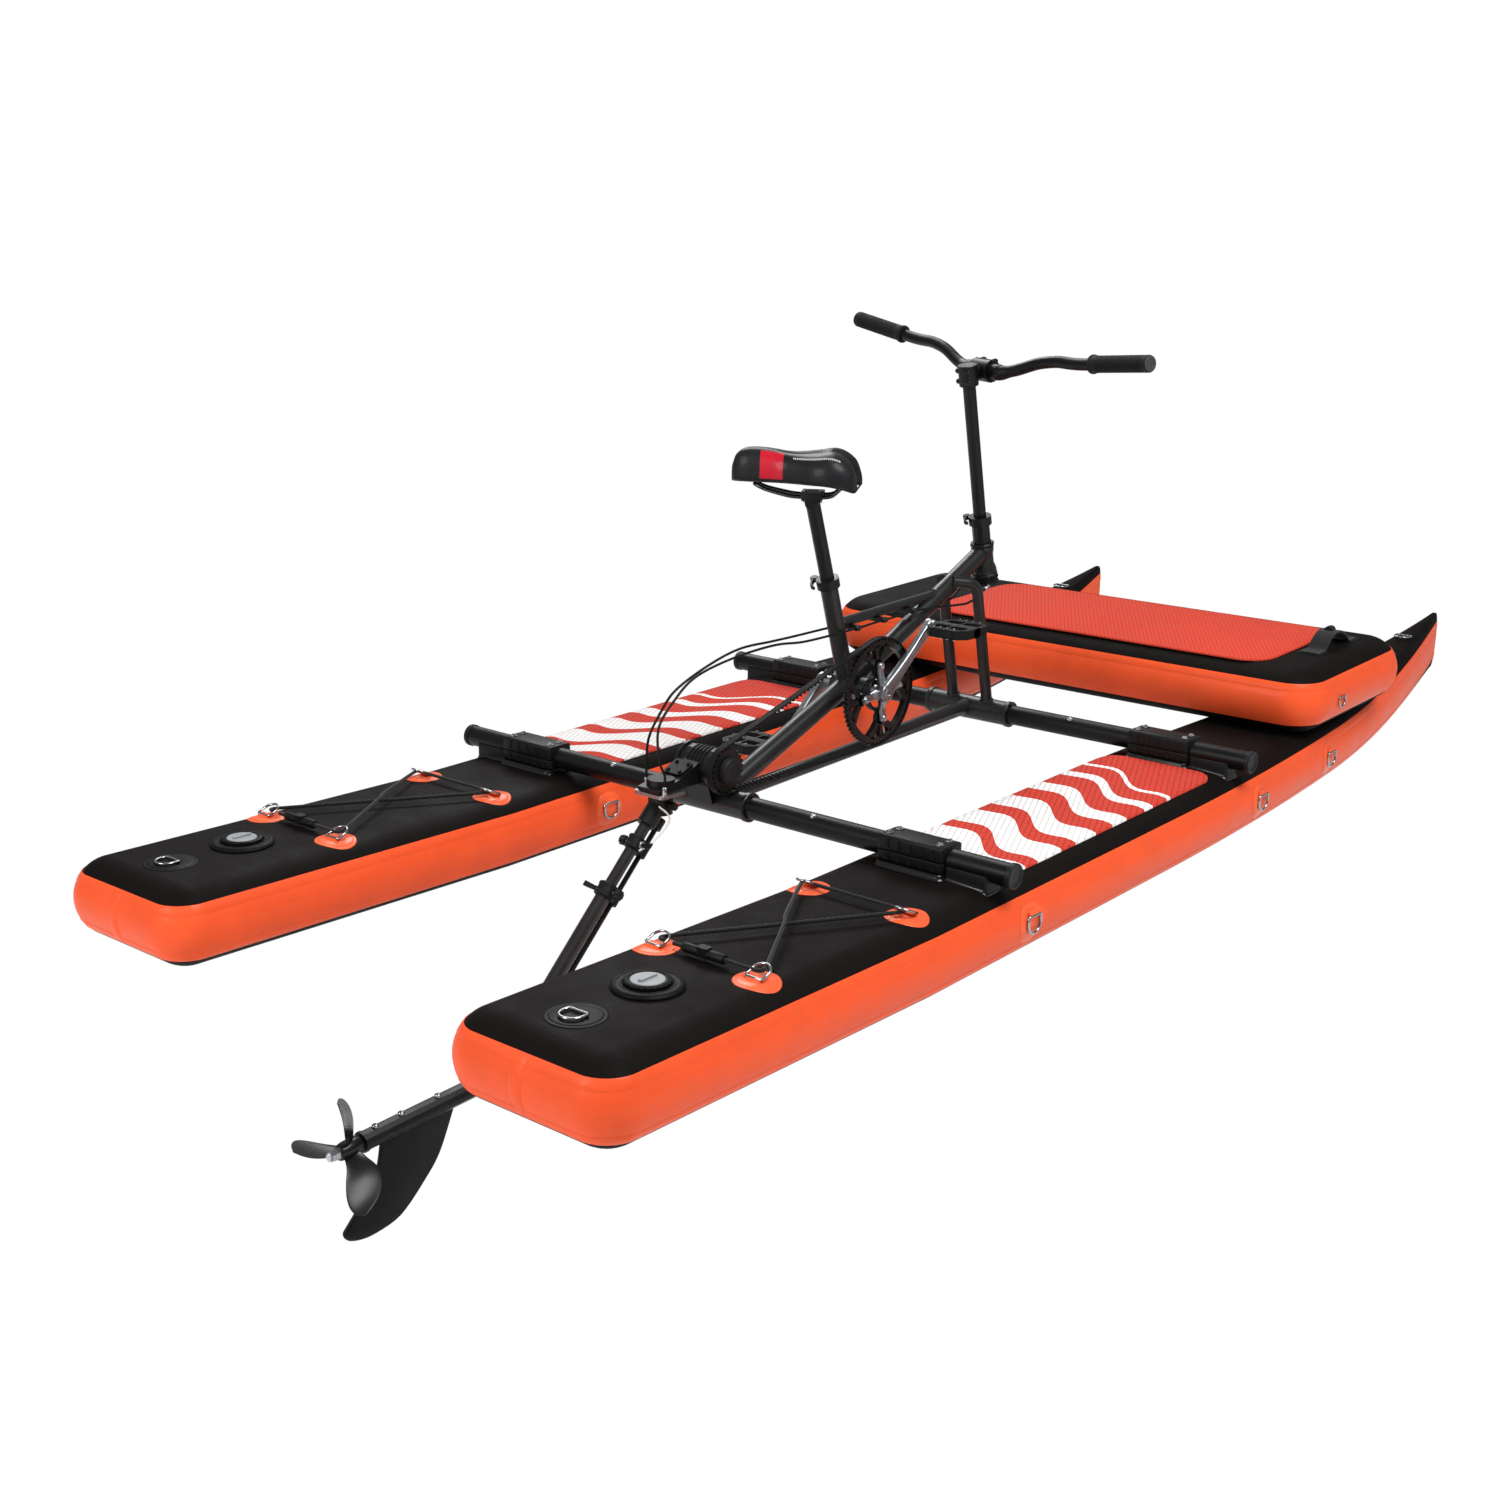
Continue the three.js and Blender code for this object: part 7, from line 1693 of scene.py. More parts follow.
@dataclass
class QuickRelease:
    """A split collar with a cross bolt and a cam lever."""

    name: str
    centre: Vector
    axis: Vector
    inner: float
    height: float = 17
    wall: float = 4.5
    lug_reach: float = 12
    lug_width: float = 16
    slot: float = 2.5
    bolt_radius: float = 3
    bolt_overhang: float = 7
    lever_width: float = 9
    hub_radius: float = 7.5

    slot_faces = vec(0.77, 0.64, 0)
    lever_line = ((0, 0), (-18, 6), (-32, 7), (-40, 3))

    def __post_init__(self) -> None:
        """Works out which way the slot and the lever face, and how far out the bolt lies."""
        self.out = (self.slot_faces - self.axis * self.slot_faces.dot(self.axis)).normalized()
        self.across = self.axis.cross(self.out)
        self.outer = self.inner + self.wall
        self.bolt = self.outer + self.lug_reach / 2

    def at(self, out: float, across: float, up: float = 0.0) -> Vector:
        """Returns a place in the collar's own directions."""
        return self.centre + self.out * out + self.across * across + self.axis * up

    def fit(self, body: str, lever_body: str) -> None:
        """Makes the collar and its lever and fits each to its body."""
        fit(self.collar(), body, "black_alloy", f"{self.name}_collar")
        fit(self.lever(), lever_body, "black_alloy", f"{self.name}_collar_lever")

    def collar(self) -> bpy.types.Object:
        """Cuts the split band with its two lugs, and puts in the bolt.

        Returns:
            The collar.
        """
        shape, outer, inner = Shape(f"{self.name}_collar_band"), self.outer, self.inner
        lug = outer + self.lug_reach
        half_slot, half_lug, bolt = self.slot / 2, self.lug_width / 2, self.bolt
        start, end = math.asin(half_lug / outer), math.asin(half_slot / inner)
        outline = [(inner * math.cos(end), half_slot), (lug - 1.5, half_slot), (lug, half_slot + 1.5),
                   (lug, half_lug - 2.5), (lug - 2.5, half_lug), (outer * math.cos(start) + 1, half_lug)]
        outline += [polar(outer, start + (math.tau - 2 * start) * i / 48) for i in range(49)]
        outline += [(x, -y) for x, y in reversed(outline[:6])]
        outline += [(a, -b) for a, b in (polar(inner, end + (math.tau - 2 * end) * i / 48) for i in range(1, 48))]
        shape.plate(outline, self.height, self.at(0, 0, -self.height / 2), self.out, self.across)
        shape.rod(self.at(bolt, -half_lug - 3), self.at(bolt, half_lug + self.bolt_overhang), self.bolt_radius, slot=1)
        shape.bolt(self.at(bolt, -half_lug), -self.across, 4.4, 4, 1)
        shape.rod(self.at(bolt, half_lug), self.at(bolt, half_lug + 2.2), 5.6, slot=1)
        return shape.build([ALLOY_BLACK, BOLT_STEEL], bevel=0.7)

    def lever(self) -> bpy.types.Object:
        """Makes the cam lever on the bolt's end.

        Returns:
            The lever.
        """
        shape, half = Shape(f"{self.name}_cam_lever"), self.lever_width / 2
        hub = self.at(self.bolt, self.lug_width / 2 + self.bolt_overhang + self.hub_radius + CLEARANCE)
        shape.lathe(collar_profile(0, self.hub_radius, half, 0.8), hub, self.axis, 32)

        def section(share: float, tip: float) -> list[Pair]:
            """Returns the blade's outline, widest past its middle and rounded off at its tip."""
            wide = 3.2 + 1.6 * math.sin(math.pi * min(1, share * 1.1)) - 2.4 * tip
            return [(wide * x, (2.6 - 0.7 * share - 1.2 * tip) * y) for x, y in rounded(1, 1, 0.6, 4)]

        line = through([hub + self.out * a + self.across * b for a, b in self.lever_line], 8, 0.4)
        lever_blade(shape, line, self.axis, section)
        return shape.build([ALLOY_BLACK], smooth=45)


# Saddle and its post


@dataclass
class Seat:
    """The saddle on its rails, clamp and telescoping post."""

    exposed: float = 148
    insertion: float = 118
    post_radius: float = 12.7
    length: float = 226
    half_width: float = 78
    height: float = 52
    yaw: float = 122
    clamp_from_tail: float = 84
    underside: float = 40
    base_depth: float = 7
    channel_depth: float = 15
    channel_half: float = 14
    channel_end_share: float = 0.66
    channel_fade_share: float = 0.2
    tail_notch: float = 46
    notch_share: float = 0.3
    lobe_drop: float = 15
    lobe_share: float = 0.3
    dome: float = 0.72
    flank: float = 0.55
    rail_radius: float = 3.5
    rail_spacing: float = 22
    rail_nose_spacing: float = 9
    rail_level: float = 10.9

    # Half width and height along the saddle, from the tail to the nose
    widths_shares = ((0, 0.62), (0.05, 0.86), (0.18, 1), (0.32, 0.93), (0.46, 0.7), (0.6, 0.5), (0.76, 0.42),
                     (0.9, 0.37), (0.97, 0.27), (1, 0.12))
    heights_shares = ((0, 0.5), (0.05, 0.82), (0.18, 1.02), (0.32, 0.95), (0.46, 0.9), (0.6, 0.92), (0.76, 1),
                      (0.9, 0.97), (0.97, 0.75), (1, 0.4))
    band_shares = (0.575, 0.76)
    stitch_shares = (0.14, 0.5)

    def __post_init__(self) -> None:
        """Works out the saddle's directions."""
        self.top = SEAT.at(self.exposed)
        self.noseward = vec(*polar(1, math.radians(self.yaw)), 0)
        self.left = ALONG_Z.cross(self.noseward)

    def at(self, along: float, left: float, up: float) -> Vector:
        """Returns a place in the saddle's own directions from the post's head."""
        return self.top + self.noseward * along + self.left * left + ALONG_Z * up

    def surface(self, share: float, angle: float, extra: float = 0.0) -> Vector:
        """Finds a place on the cushion.

        Args:
            share: Share of the length from the tail.
            angle: Angle round the section, 0 to the left and a quarter turn at the top.
            extra: Distance outside the cover.

        Returns:
            The place.
        """
        height = self.height * follow(self.heights_shares, share)
        cos, sin = polar(1, angle)
        left = self.half_width * follow(self.widths_shares, share) * math.copysign(abs(cos) ** self.flank, cos)
        fade = min(1.0, max(0.0, (self.channel_end_share - share) / self.channel_fade_share))
        groove = self.channel_depth * math.exp(-((left / self.channel_half) ** 2)) * fade * fade * (3 - 2 * fade)
        up = height * sin**self.dome - groove if sin > 0 else self.base_depth * sin
        spread = left / (self.half_width * self.dome)
        up -= self.lobe_drop * max(0.0, 1 - share / self.lobe_share) ** 2 * min(1.0, spread**2)
        notch = self.tail_notch * max(0.0, 1 - share / self.notch_share)
        notch *= math.exp(-((left / (2 * self.channel_half)) ** 2))
        return self.at(self.length * share - self.clamp_from_tail + notch, left + cos * extra,
                       self.underside + up + max(sin, 0.0) * extra)

    def build(self) -> None:
        """Makes the seat's pieces."""
        QuickRelease("seat", SEAT.at(-8.5), SEAT.direction, 16.3).fit("hull_and_frame", "seat_lever")
        fit(self.post(), "seat", "black_alloy", "seatpost")
        fit(self.clamp(), "seat", "forged_alloy", "saddle_clamp")
        fit(self.rails(), "seat", "steel", "saddle_rails")
        fit(self.base(), "seat", "black_plastic")
        fit(self.stitches(), "seat", "saddle_cover")
        fit(self.cushion(), "seat", "saddle_cover", "saddle")

    def cushion(self) -> bpy.types.Object:
        """Makes the padded cover, with a red band on each flank of the nose.

        Returns:
            The cushion.
        """
        shape, around, stations = Shape("saddle_cushion"), 64, 72
        shares = [(1 - math.cos(math.pi * i / stations)) / 2 for i in range(stations + 1)]
        first, last = self.band_shares
        shape.skin([[self.surface(min(s, 0.9999), math.tau * k / around) for k in range(around)] for s in shares],
                   lambda row, k: int(first < shares[row] < last and k < around / 2 and abs(k / around - 0.25) > 0.07))
        return shape.build([SADDLE_BLACK, SADDLE_RED], smooth=60)

    def stitches(self) -> bpy.types.Object:
        """Sews the two rows of thread over the edges, behind the waist.

        Returns:
            The thread.
        """
        shape, (first, last) = Shape("saddle_stitching"), self.stitch_shares
        for turn in (0.27, 0.73):
            for share in (first + (last - first) * i / 25 for i in range(26)):
                shape.tube([self.surface(share + 0.006 * t, math.pi * (turn + 0.03 * (t - 0.5)),
                                         0.1 + 0.6 * math.sin(math.pi * t)) for t in (0, 0.33, 0.67, 1)], 0.75, 6)
        return shape.build([THREAD_WHITE])

    def base(self) -> bpy.types.Object:
        """Makes the moulded shell's lip below the cushion.

        Returns:
            The lip.
        """
        shape, shares = Shape("saddle_shell_lip"), [0.02 + 0.95 * i / 60 for i in range(61)]
        shape.tube([self.surface(share, math.pi) for share in shares] + [self.surface(share, 0) for share in
                                                                         reversed(shares)], 1.7, 8, closed=True)
        return shape.build([NYLON_BLACK])

    def post(self) -> bpy.types.Object:
        """Makes the post and its cradle barrel.

        Returns:
            The post.
        """
        shape = Shape("seat_post")
        shape.rod(SEAT.at(-self.insertion), self.top, self.post_radius, steps=44)
        shape.lathe(collar_profile(0, 12, 18), self.top, self.left, 36)
        return shape.build([ALLOY_BLACK])

    def clamp(self) -> bpy.types.Object:
        """Makes the two forged halves that hold the rails, and their bolts.

        Returns:
            The clamp.
        """
        shape, axes, level = Shape("saddle_rail_clamp"), (self.noseward, self.left, ALONG_Z), self.rail_level
        shape.block(self.at(0, 0, level + 4.6), (38, 58, 7), axes, 6)
        shape.block(self.at(0, 0, level - 3.6), (36, 56, 6), axes, 8)
        for left in (-self.rail_spacing, self.rail_spacing):
            shape.lathe([(3.7, -17), (6.2, -17), (6.6, -16), (6.6, 16), (6.2, 17), (3.7, 17)], self.at(0, left, level),
                        self.noseward, 24, loop=True)
        for along in (-14, 14):
            shape.bolt(self.at(along, 0, level + 8), ALONG_Z, 3.8, 3.6, 1)
            shape.rod(self.at(along, 0, level - 12), self.at(along, 0, level + 8), 3, slot=1)
        return shape.build([ALLOY_BLACK, BOLT_STEEL], bevel=0.8)

    def rails(self) -> bpy.types.Object:
        """Bends the one-piece wire rail.

        Returns:
            The rails.
        """
        shape, level, radius, half = Shape("saddle_wire_rails"), self.rail_level, self.rail_radius, self.rail_spacing
        top = self.underside - self.base_depth - radius - 0.8
        run = ((-52, half, top), (-36, half, level + radius), (-17, half, level), (22, half, level),
               (44, half * 0.95, level + radius * 0.6), (80, (half + self.rail_nose_spacing) / 2, top - radius * 2.2),
               (100, self.rail_nose_spacing, top))
        points = [self.at(a, -b, c) for a, b, c in run] + [self.at(*spot) for spot in reversed(run)]
        shape.tube(through(points, 10, 0.4), radius, 16)
        return shape.build([BLACK_CHROME], smooth=60)


# Steering: stem, handlebar and grips


@dataclass
class Steering:
    """Everything above the frame that turns with the handlebar."""

    steerer_top: float = 89.6
    riser_exposed: float = 300
    reach: float = 40
    stem_height: float = 40
    stem_bore: float = 12.6
    stem_radius: float = 18.5
    bar_radius: float = 11.2
    bar_clamp_radius: float = 15.6
    bar_clamp_outer: float = 21.5
    bar_clamp_length: float = 46
    bar_half: float = 400
    taper_start: float = 42
    taper_length: float = 24
    turned: float = 13.4
    plug: float = 6
    end_forward: float = 28
    end_rise: float = 52
    grip_length: float = 134
    grip_radius: float = 15.5
    grip_bore: float = 11.8
    groove_depth: float = 1.1
    groove_pitch: float = 4.2
    flange_radius: float = 17.5

    # Shares of the half length, of the sweep and of the rise, from the middle out
    bends_shares = ((0, 0, 0), (0.105, 0, 0), (0.135, 0.036, 0.019), (0.21, 0.286, 0.154), (0.32, 0.714, 0.423),
                    (0.43, 0.929, 0.558), (0.58, 1, 0.596))

    def __post_init__(self) -> None:
        """Works out the directions along and across the handlebar."""
        turn, ahead = math.radians(self.turned), vec(STEERING.direction.z, 0, -STEERING.direction.x)
        self.portward = ALONG_Y * math.cos(turn) + ahead * math.sin(turn)
        self.forward = ahead * math.cos(turn) - ALONG_Y * math.sin(turn)
        self.level = self.steerer_top + self.riser_exposed - self.stem_height / 2

    def at(self, forward: float, port: float, up: float) -> Vector:
        """Returns a place in the stem's own directions."""
        return STEERING.at(self.level + up) + self.forward * forward + self.portward * port

    def build(self) -> None:
        """Makes the steering's pieces."""
        QuickRelease("riser", STEERING.at(self.steerer_top - 8.5), STEERING.direction, 17.8).fit("steerer",
                                                                                                 "riser_lever")
        fit(self.stem(), "riser", "black_alloy", "stem")
        fit(self.handlebar(), "riser", "black_alloy", "handlebar")
        for name, side in SIDES:
            fit(self.grip(name, side), "riser", "grip_rubber", f"{name}_grip")

    def stem(self) -> bpy.types.Object:
        """Makes the forged stem: riser clamp, neck, two-part bar clamp and eight bolts.

        Returns:
            The stem.
        """
        shape, half, up = Shape("forged_stem"), self.stem_height / 2, STEERING.direction
        shape.lathe(collar_profile(self.stem_bore, self.stem_radius, half), self.at(0, 0, 0), up, 48, loop=True)
        shape.skin([[self.at(10 + 22 * share, x, y) for x, y in rounded(wide, tall, 8)]
                    for share, tall, wide in ((0, 16.5, 13), (0.3, 15, 12), (0.6, 13.5, 12), (1, 13, 14))])
        for sign in (-90, 90):
            turns = [math.radians(sign - 86 + 172 * i / 24) for i in range(25)]
            outline = [polar(self.bar_clamp_outer, a) for a in turns]
            outline += [polar(self.bar_clamp_radius, a) for a in reversed(turns)]
            shape.plate(outline, self.bar_clamp_length, self.at(self.reach, -self.bar_clamp_length / 2, 0), up,
                        self.forward)
        for sign, port in ((-1, -1), (-1, 1), (1, -1), (1, 1)):
            seat = self.at(self.reach + 17.5, port * 15.6, sign * 14.6)
            shape.rod(seat - self.forward * 16, seat, 5.4)
            shape.bolt(seat, self.forward, 3.4, 4, 1)
        for sign, port in ((-1, -1), (-1, 1), (1, -1), (1, 1)):
            seat = self.at(-13, port * 15.5, sign * half / 2)
            shape.rod(self.at(-13, 0, sign * half / 2), seat, 5.2)
            shape.bolt(seat, self.portward * port, 3.1, 3, 1)
        return shape.build([ALLOY_BLACK, BLACK_CHROME], bevel=0.6)

    def on_grip(self, side: int, port: float) -> Vector:
        """Finds a place on a straight end of the bar.

        Args:
            side: -1 to starboard, 1 to port.
            port: Distance sideways from the stem.

        Returns:
            The place.
        """
        start, forward, rise = self.bends_shares[-1]
        share = (port / self.bar_half - start) / (1 - start)
        return self.at(self.reach + (forward + (1 - forward) * share) * self.end_forward, side * port,
                       (rise + (1 - rise) * share) * self.end_rise)

    def handlebar(self) -> bpy.types.Object:
        """Bends the handlebar, thicker where the stem holds it.

        Returns:
            The handlebar.
        """
        shape, middle = Shape("bent_handlebar"), self.at(self.reach, 0, 0)
        half = [[self.at(self.reach + f * self.end_forward, side * p * self.bar_half, r * self.end_rise)
                 for p, f, r in self.bends_shares] + [self.on_grip(side, self.bar_half - self.plug)]
                for side in (-1, 1)]
        line = through(half[0][::-1] + half[1][1:], 12, 0.42)

        def radius(share: float) -> float:
            """Returns the bar's radius at a share of its line."""
            away, held = (line[round(share * (len(line) - 1))] - middle).length, self.bar_clamp_radius - CLEARANCE
            return held - (held - self.bar_radius) * min(1.0, max(0.0, (away - self.taper_start) / self.taper_length))

        shape.tube(line, radius, 36)
        return shape.build([BAR_BLACK], smooth=50)

    def grip(self, name: str, side: int) -> bpy.types.Object:
        """Moulds a ribbed grip with its inner flange and a grey end plug.

        Args:
            name: The side's name.
            side: -1 to starboard, 1 to port.

        Returns:
            The grip.
        """
        shape, tip = Shape(f"{name}_ribbed_grip"), self.on_grip(side, self.bar_half)
        inner = self.on_grip(side, self.bar_half - self.plug - self.grip_length)
        axis, length = (tip - inner).normalized(), (tip - inner).length
        body, flange, low, along = self.grip_radius, self.flange_radius, self.grip_radius - self.groove_depth, 15.0
        profile = [(self.grip_bore, 0), (flange - 0.8, 0), (flange, 0.8), (flange, 4.2), (flange - 1.6, 5),
                   (body + 0.4, 12)]
        while along < length - 14:
            profile += [(body, along), (body, along + 1.7), (low, along + 2.2), (low, along + 3.4)]
            along += self.groove_pitch
        profile += [(body, along), (body, length - 3.4), (body - 1.2, length - 2.2), (body - 1.2, length - 1.6),
                    (self.grip_bore, length - 1.6)]
        shape.lathe(profile, inner, axis, 44, loop=True)
        shape.lathe([(0, -5), (11.6, -5), (11.6, 0), (13.6, 0), (14.4, 0.7), (13.6, 1.5), (8, 1.6), (7.4, 0.9),
                     (0, 0.9)], tip - axis * 1.6, axis, 36, 1)
        return shape.build([TOUGH_RUBBER, PLUG_GREY], smooth=40)


# Cranks, belt drive and pedals


@dataclass
class Drive:
    """The cranks on their spindle, the toothed ring, belt and pulley, and the pedals."""

    arm_length: float = 170
    angle: float = 38.8
    arm_inner: float = 63.5
    arm_thickness: float = 15
    hub_radius: float = 17
    end_radius: float = 12.5
    arms: int = 4
    spider_turn: float = -31
    spider_thickness: float = 8
    bolt_circle: float = 50
    pitch: float = 10.3
    tooth: float = 3.4
    slack: float = 0.5
    ring_teeth: int = 60
    pulley_teeth: int = 24
    belt_width: float = 12
    belt_thickness: float = 3
    belt_ribs: int = 5
    belt_rib_width: float = 1.4
    ring_thickness: float = 9
    rim_depth: float = 11
    hub_rim: float = 36
    ring_bore: float = 30
    boss_radius: float = 12
    boss_bore: float = 4.3
    spoke_turn: float = 22
    cap_radius: float = 22
    pedal_length: float = 98
    pedal_width: float = 90
    pedal_thickness: float = 17
    pedal_corner: float = 18
    pedal_rim: float = 14
    pedal_end: float = 11
    pedal_barrel: float = 10.5
    pedal_bridge: float = 2
    pedal_from_arm: float = 9
    pin_height: float = 2.9

    # Half widths of a crank arm along its length
    waists = ((0, 15.5), (0.12, 14), (0.3, 11.2), (0.62, 9.5), (0.85, 10.6), (1, 12.5))

    def __post_init__(self) -> None:
        """Works out the wheels' radii and where the belt leaves them."""
        self.arm_outer = self.arm_inner + self.arm_thickness
        self.spider_face = BELT_PLANE + self.ring_thickness / 2 + CLEARANCE
        self.pedal_inner = self.arm_outer + self.pedal_from_arm
        self.along = upright(math.radians(self.angle))
        self.ring_radius, self.pulley_radius = (self.pitch * n / math.tau for n in (self.ring_teeth, self.pulley_teeth))
        span = CRANK - PULLEY
        tilt, line = math.asin((self.ring_radius - self.pulley_radius) / span.length), math.atan2(span.z, span.x)
        self.top_tangent, self.low_tangent = line + math.pi / 2 + tilt, line - math.pi / 2 - tilt
        self.run = span.length * math.cos(tilt)
        self.ring_wrap = (self.top_tangent - self.low_tangent) * self.ring_radius
        self.pulley_wrap = (math.tau - self.top_tangent + self.low_tangent) * self.pulley_radius
        self.low_end = self.ring_wrap + self.run
        self.back = self.low_end + self.pulley_wrap

    def build(self) -> None:
        """Makes the drive's pieces."""
        for name, side in SIDES:
            fit(self.crank(name, side), "crankset", "forged_alloy", f"{name}_crank")
            fit(self.pedal(name, side), f"{name}_pedal", "black_plastic", f"{name}_pedal")
        fit(self.ring(), "crankset", "black_alloy", "belt_ring")
        fit(self.belt(), "hull_and_frame", "belt_rubber", "drive_belt")
        fit(self.pulley(), "pulley", "black_alloy", "belt_pulley")

    def boss(self, arm: int, y: float) -> Vector:
        """Returns the middle of a spider bolt at a distance to port."""
        turn = math.radians(self.angle + self.spider_turn + 360 / self.arms * arm)
        return CRANK + upright(turn) * self.bolt_circle + ALONG_Y * y

    def crank(self, name: str, side: int) -> bpy.types.Object:
        """Forges a crank arm; the starboard one has the spindle and the spider.

        Args:
            name: The side's name.
            side: -1 to starboard, 1 to port.

        Returns:
            The crank.
        """
        shape, along, out, rows = Shape(f"{name}_forged_crank"), self.along * -side, ALONG_Y * side, []
        middle, face = CRANK + out * ((self.arm_inner + self.arm_outer) / 2), CRANK + out * self.arm_outer
        tall, hub, end, length = along.cross(ALONG_Y), self.hub_radius, self.end_radius, self.arm_length
        for i in range(57):
            place = (length + hub + end) * (1 - math.cos(math.pi * i / 56)) / 2 - hub
            wide = follow(self.waists, min(1.0, max(0.0, place / length)))
            if place < hub * 0.42:
                wide = max(wide if place > 0 else 0, math.sqrt(max(0.0, hub**2 - place**2)))
            elif place > length:
                wide = math.sqrt(max(0.0, end**2 - (place - length) ** 2))
            wide = max(wide, 0.5)
            rows.append([middle + along * place + tall * x + ALONG_Y * y
                         for x, y in rounded(wide, self.arm_thickness / 2 - 0.2, min(4.5, wide), 5)])
        shape.skin(rows)
        shape.lathe([(14, -1.5), (14, 0.6), (12.6, 1), (9.6, 1), (9, 2.5), (5.4, 2.5), (4.6, -3), (0, -3)], face, out,
                    36, lambda piece: int(piece > 2))
        shape.lathe([(9.6, -1), (9.6, 0.5), (8.4, 0.9), (4.2, 0.9), (3.6, -2.4), (0, -2.4)], face + along * length, out,
                    28, lambda piece: int(piece > 1))
        if side < 0:
            near, far = self.spider_face, self.arm_outer - 2
            shape.rod(CRANK + ALONG_Y * 73, CRANK - ALONG_Y * self.arm_outer, SPINDLE_RADIUS, steps=36)
            shape.lathe([(0, near), (hub - 1, near), (hub, near + 1), (hub, far), (0, far)], CRANK, -ALONG_Y, 44)
            for arm in range(self.arms):
                self.spider_arm(shape, arm)
        return shape.build([FORGED_SILVER, BOLT_STEEL], smooth=42)

    def spider_arm(self, shape: Shape, arm: int) -> None:
        """Adds one tapered arm of the spider with its bolt.

        Args:
            shape: The crank's mesh.
            arm: The arm's number.
        """
        out, rows, eye = (self.boss(arm, 0) - CRANK).normalized(), [], 8.1
        for place in (4 + 54 * i / 12 for i in range(13)):
            half = 11.5 - 4.6 * math.sin(math.pi / 2 * min(1.0, place / 38))
            if place > self.bolt_circle:
                half = math.sqrt(max(0.2, eye**2 - (place - self.bolt_circle) ** 2))
            deep = self.spider_thickness / 2 + 3.5 * max(0.0, 1 - place / 30)
            centre = CRANK + out * place - ALONG_Y * (self.spider_face + deep)
            rows.append([centre + out.cross(ALONG_Y) * x + ALONG_Y * y for x, y in rounded(half, deep, 2.4, 4)])
        shape.skin(rows)
        seat = self.boss(arm, -self.spider_face - self.spider_thickness)
        shape.bolt(seat, -ALONG_Y, 4.6, 3, 1)
        shape.rod(self.boss(arm, self.ring_thickness / 2 - BELT_PLANE), seat, 3.9, slot=1)

    def teeth(self, centre: Vector, radius: float, count: int, start: float) -> list[Pair]:
        """Draws the outline of a toothed wheel.

        Args:
            centre: The wheel's middle.
            radius: The belt's pitch radius on it.
            count: How many teeth it has.
            start: The angle of its first gap.

        Returns:
            The outline.
        """
        tip, root, step = radius - CLEARANCE, radius - self.tooth - CLEARANCE, math.tau / count
        side = ((-0.32, root), (-0.23, tip - 0.8), (-0.19, tip))
        tooth = side + tuple((-offset, reach) for offset, reach in reversed(side))
        spots = [polar(reach, start + step * (i + 0.5 + offset)) for i in range(count) for offset, reach in tooth]
        return [(centre.x + a, centre.z + b) for a, b in spots]

    def ring(self) -> bpy.types.Object:
        """Cuts the toothed ring with its forked spokes.

        Returns:
            The ring.
        """
        shape, inner = Shape("toothed_belt_ring"), self.ring_radius - self.tooth - self.rim_depth
        origin = ALONG_Y * (self.ring_thickness / 2 - BELT_PLANE)

        def slab(outline: Sequence[Pair], *holes: Sequence[Pair]) -> None:
            """Adds a flat part of the ring."""
            shape.plate(outline, self.ring_thickness, origin, ALONG_X, ALONG_Z, holes)

        slab(self.teeth(CRANK, self.ring_radius, self.ring_teeth, self.top_tangent),
             circle(inner, 72, CRANK.x, CRANK.z))
        slab(circle(self.hub_rim, 48, CRANK.x, CRANK.z), circle(self.ring_bore, 48, CRANK.x, CRANK.z))
        spoke = ((-1, -1.6, 0), (-1, -1, 0.5), (-1.2, -1.8, 1), (1.2, 1.8, 1), (1, 1, 0.5), (1, 1.6, 0))
        for boss in (self.boss(arm, 0) for arm in range(self.arms)):
            slab(circle(self.boss_radius, 28, boss.x, boss.z), circle(self.boss_bore, 16, boss.x, boss.z))
            start = math.atan2(boss.z - CRANK.z, boss.x - CRANK.x)
            for turn, reach, half in ((-1, inner + 2, 5.2), (1, inner + 2, 5.2), (0, inner + 2, 4),
                                      (0, self.hub_rim - 2, 7)):
                foot = CRANK + upright(start + turn * math.radians(self.spoke_turn)) * reach
                begin = boss + (foot - boss).normalized() * 7
                square = (foot - begin).normalized().cross(ALONG_Y) * half
                ends = [(begin + square * a).lerp(foot + square * b, t) for a, b, t in spoke]
                slab([(place.x, place.z) for place in ends])
        return shape.build([ALLOY_BLACK], bevel=0.5)

    def on_belt(self, distance: float, depth: float) -> Pair:
        """Finds a place on the belt.

        Args:
            distance: How far along it from the ring's top tangent.
            depth: How far in towards the wheels.

        Returns:
            The place, along X and Z.
        """
        def around(centre: Vector, radius: float, angle: float) -> Vector:
            """Returns a place round a wheel."""
            return centre + upright(angle) * (radius - depth)

        top, low = self.top_tangent, self.low_tangent
        big, small = (CRANK, self.ring_radius), (PULLEY, self.pulley_radius)
        if distance <= self.ring_wrap:
            place = around(*big, top - distance / self.ring_radius)
        elif distance <= self.low_end:
            place = around(*big, low).lerp(around(*small, low), (distance - self.ring_wrap) / self.run)
        elif distance <= self.back:
            place = around(*small, low - (distance - self.low_end) / self.pulley_radius)
        else:
            place = around(*small, top).lerp(around(*big, top), (distance - self.back) / self.run)
        return place.x, place.z

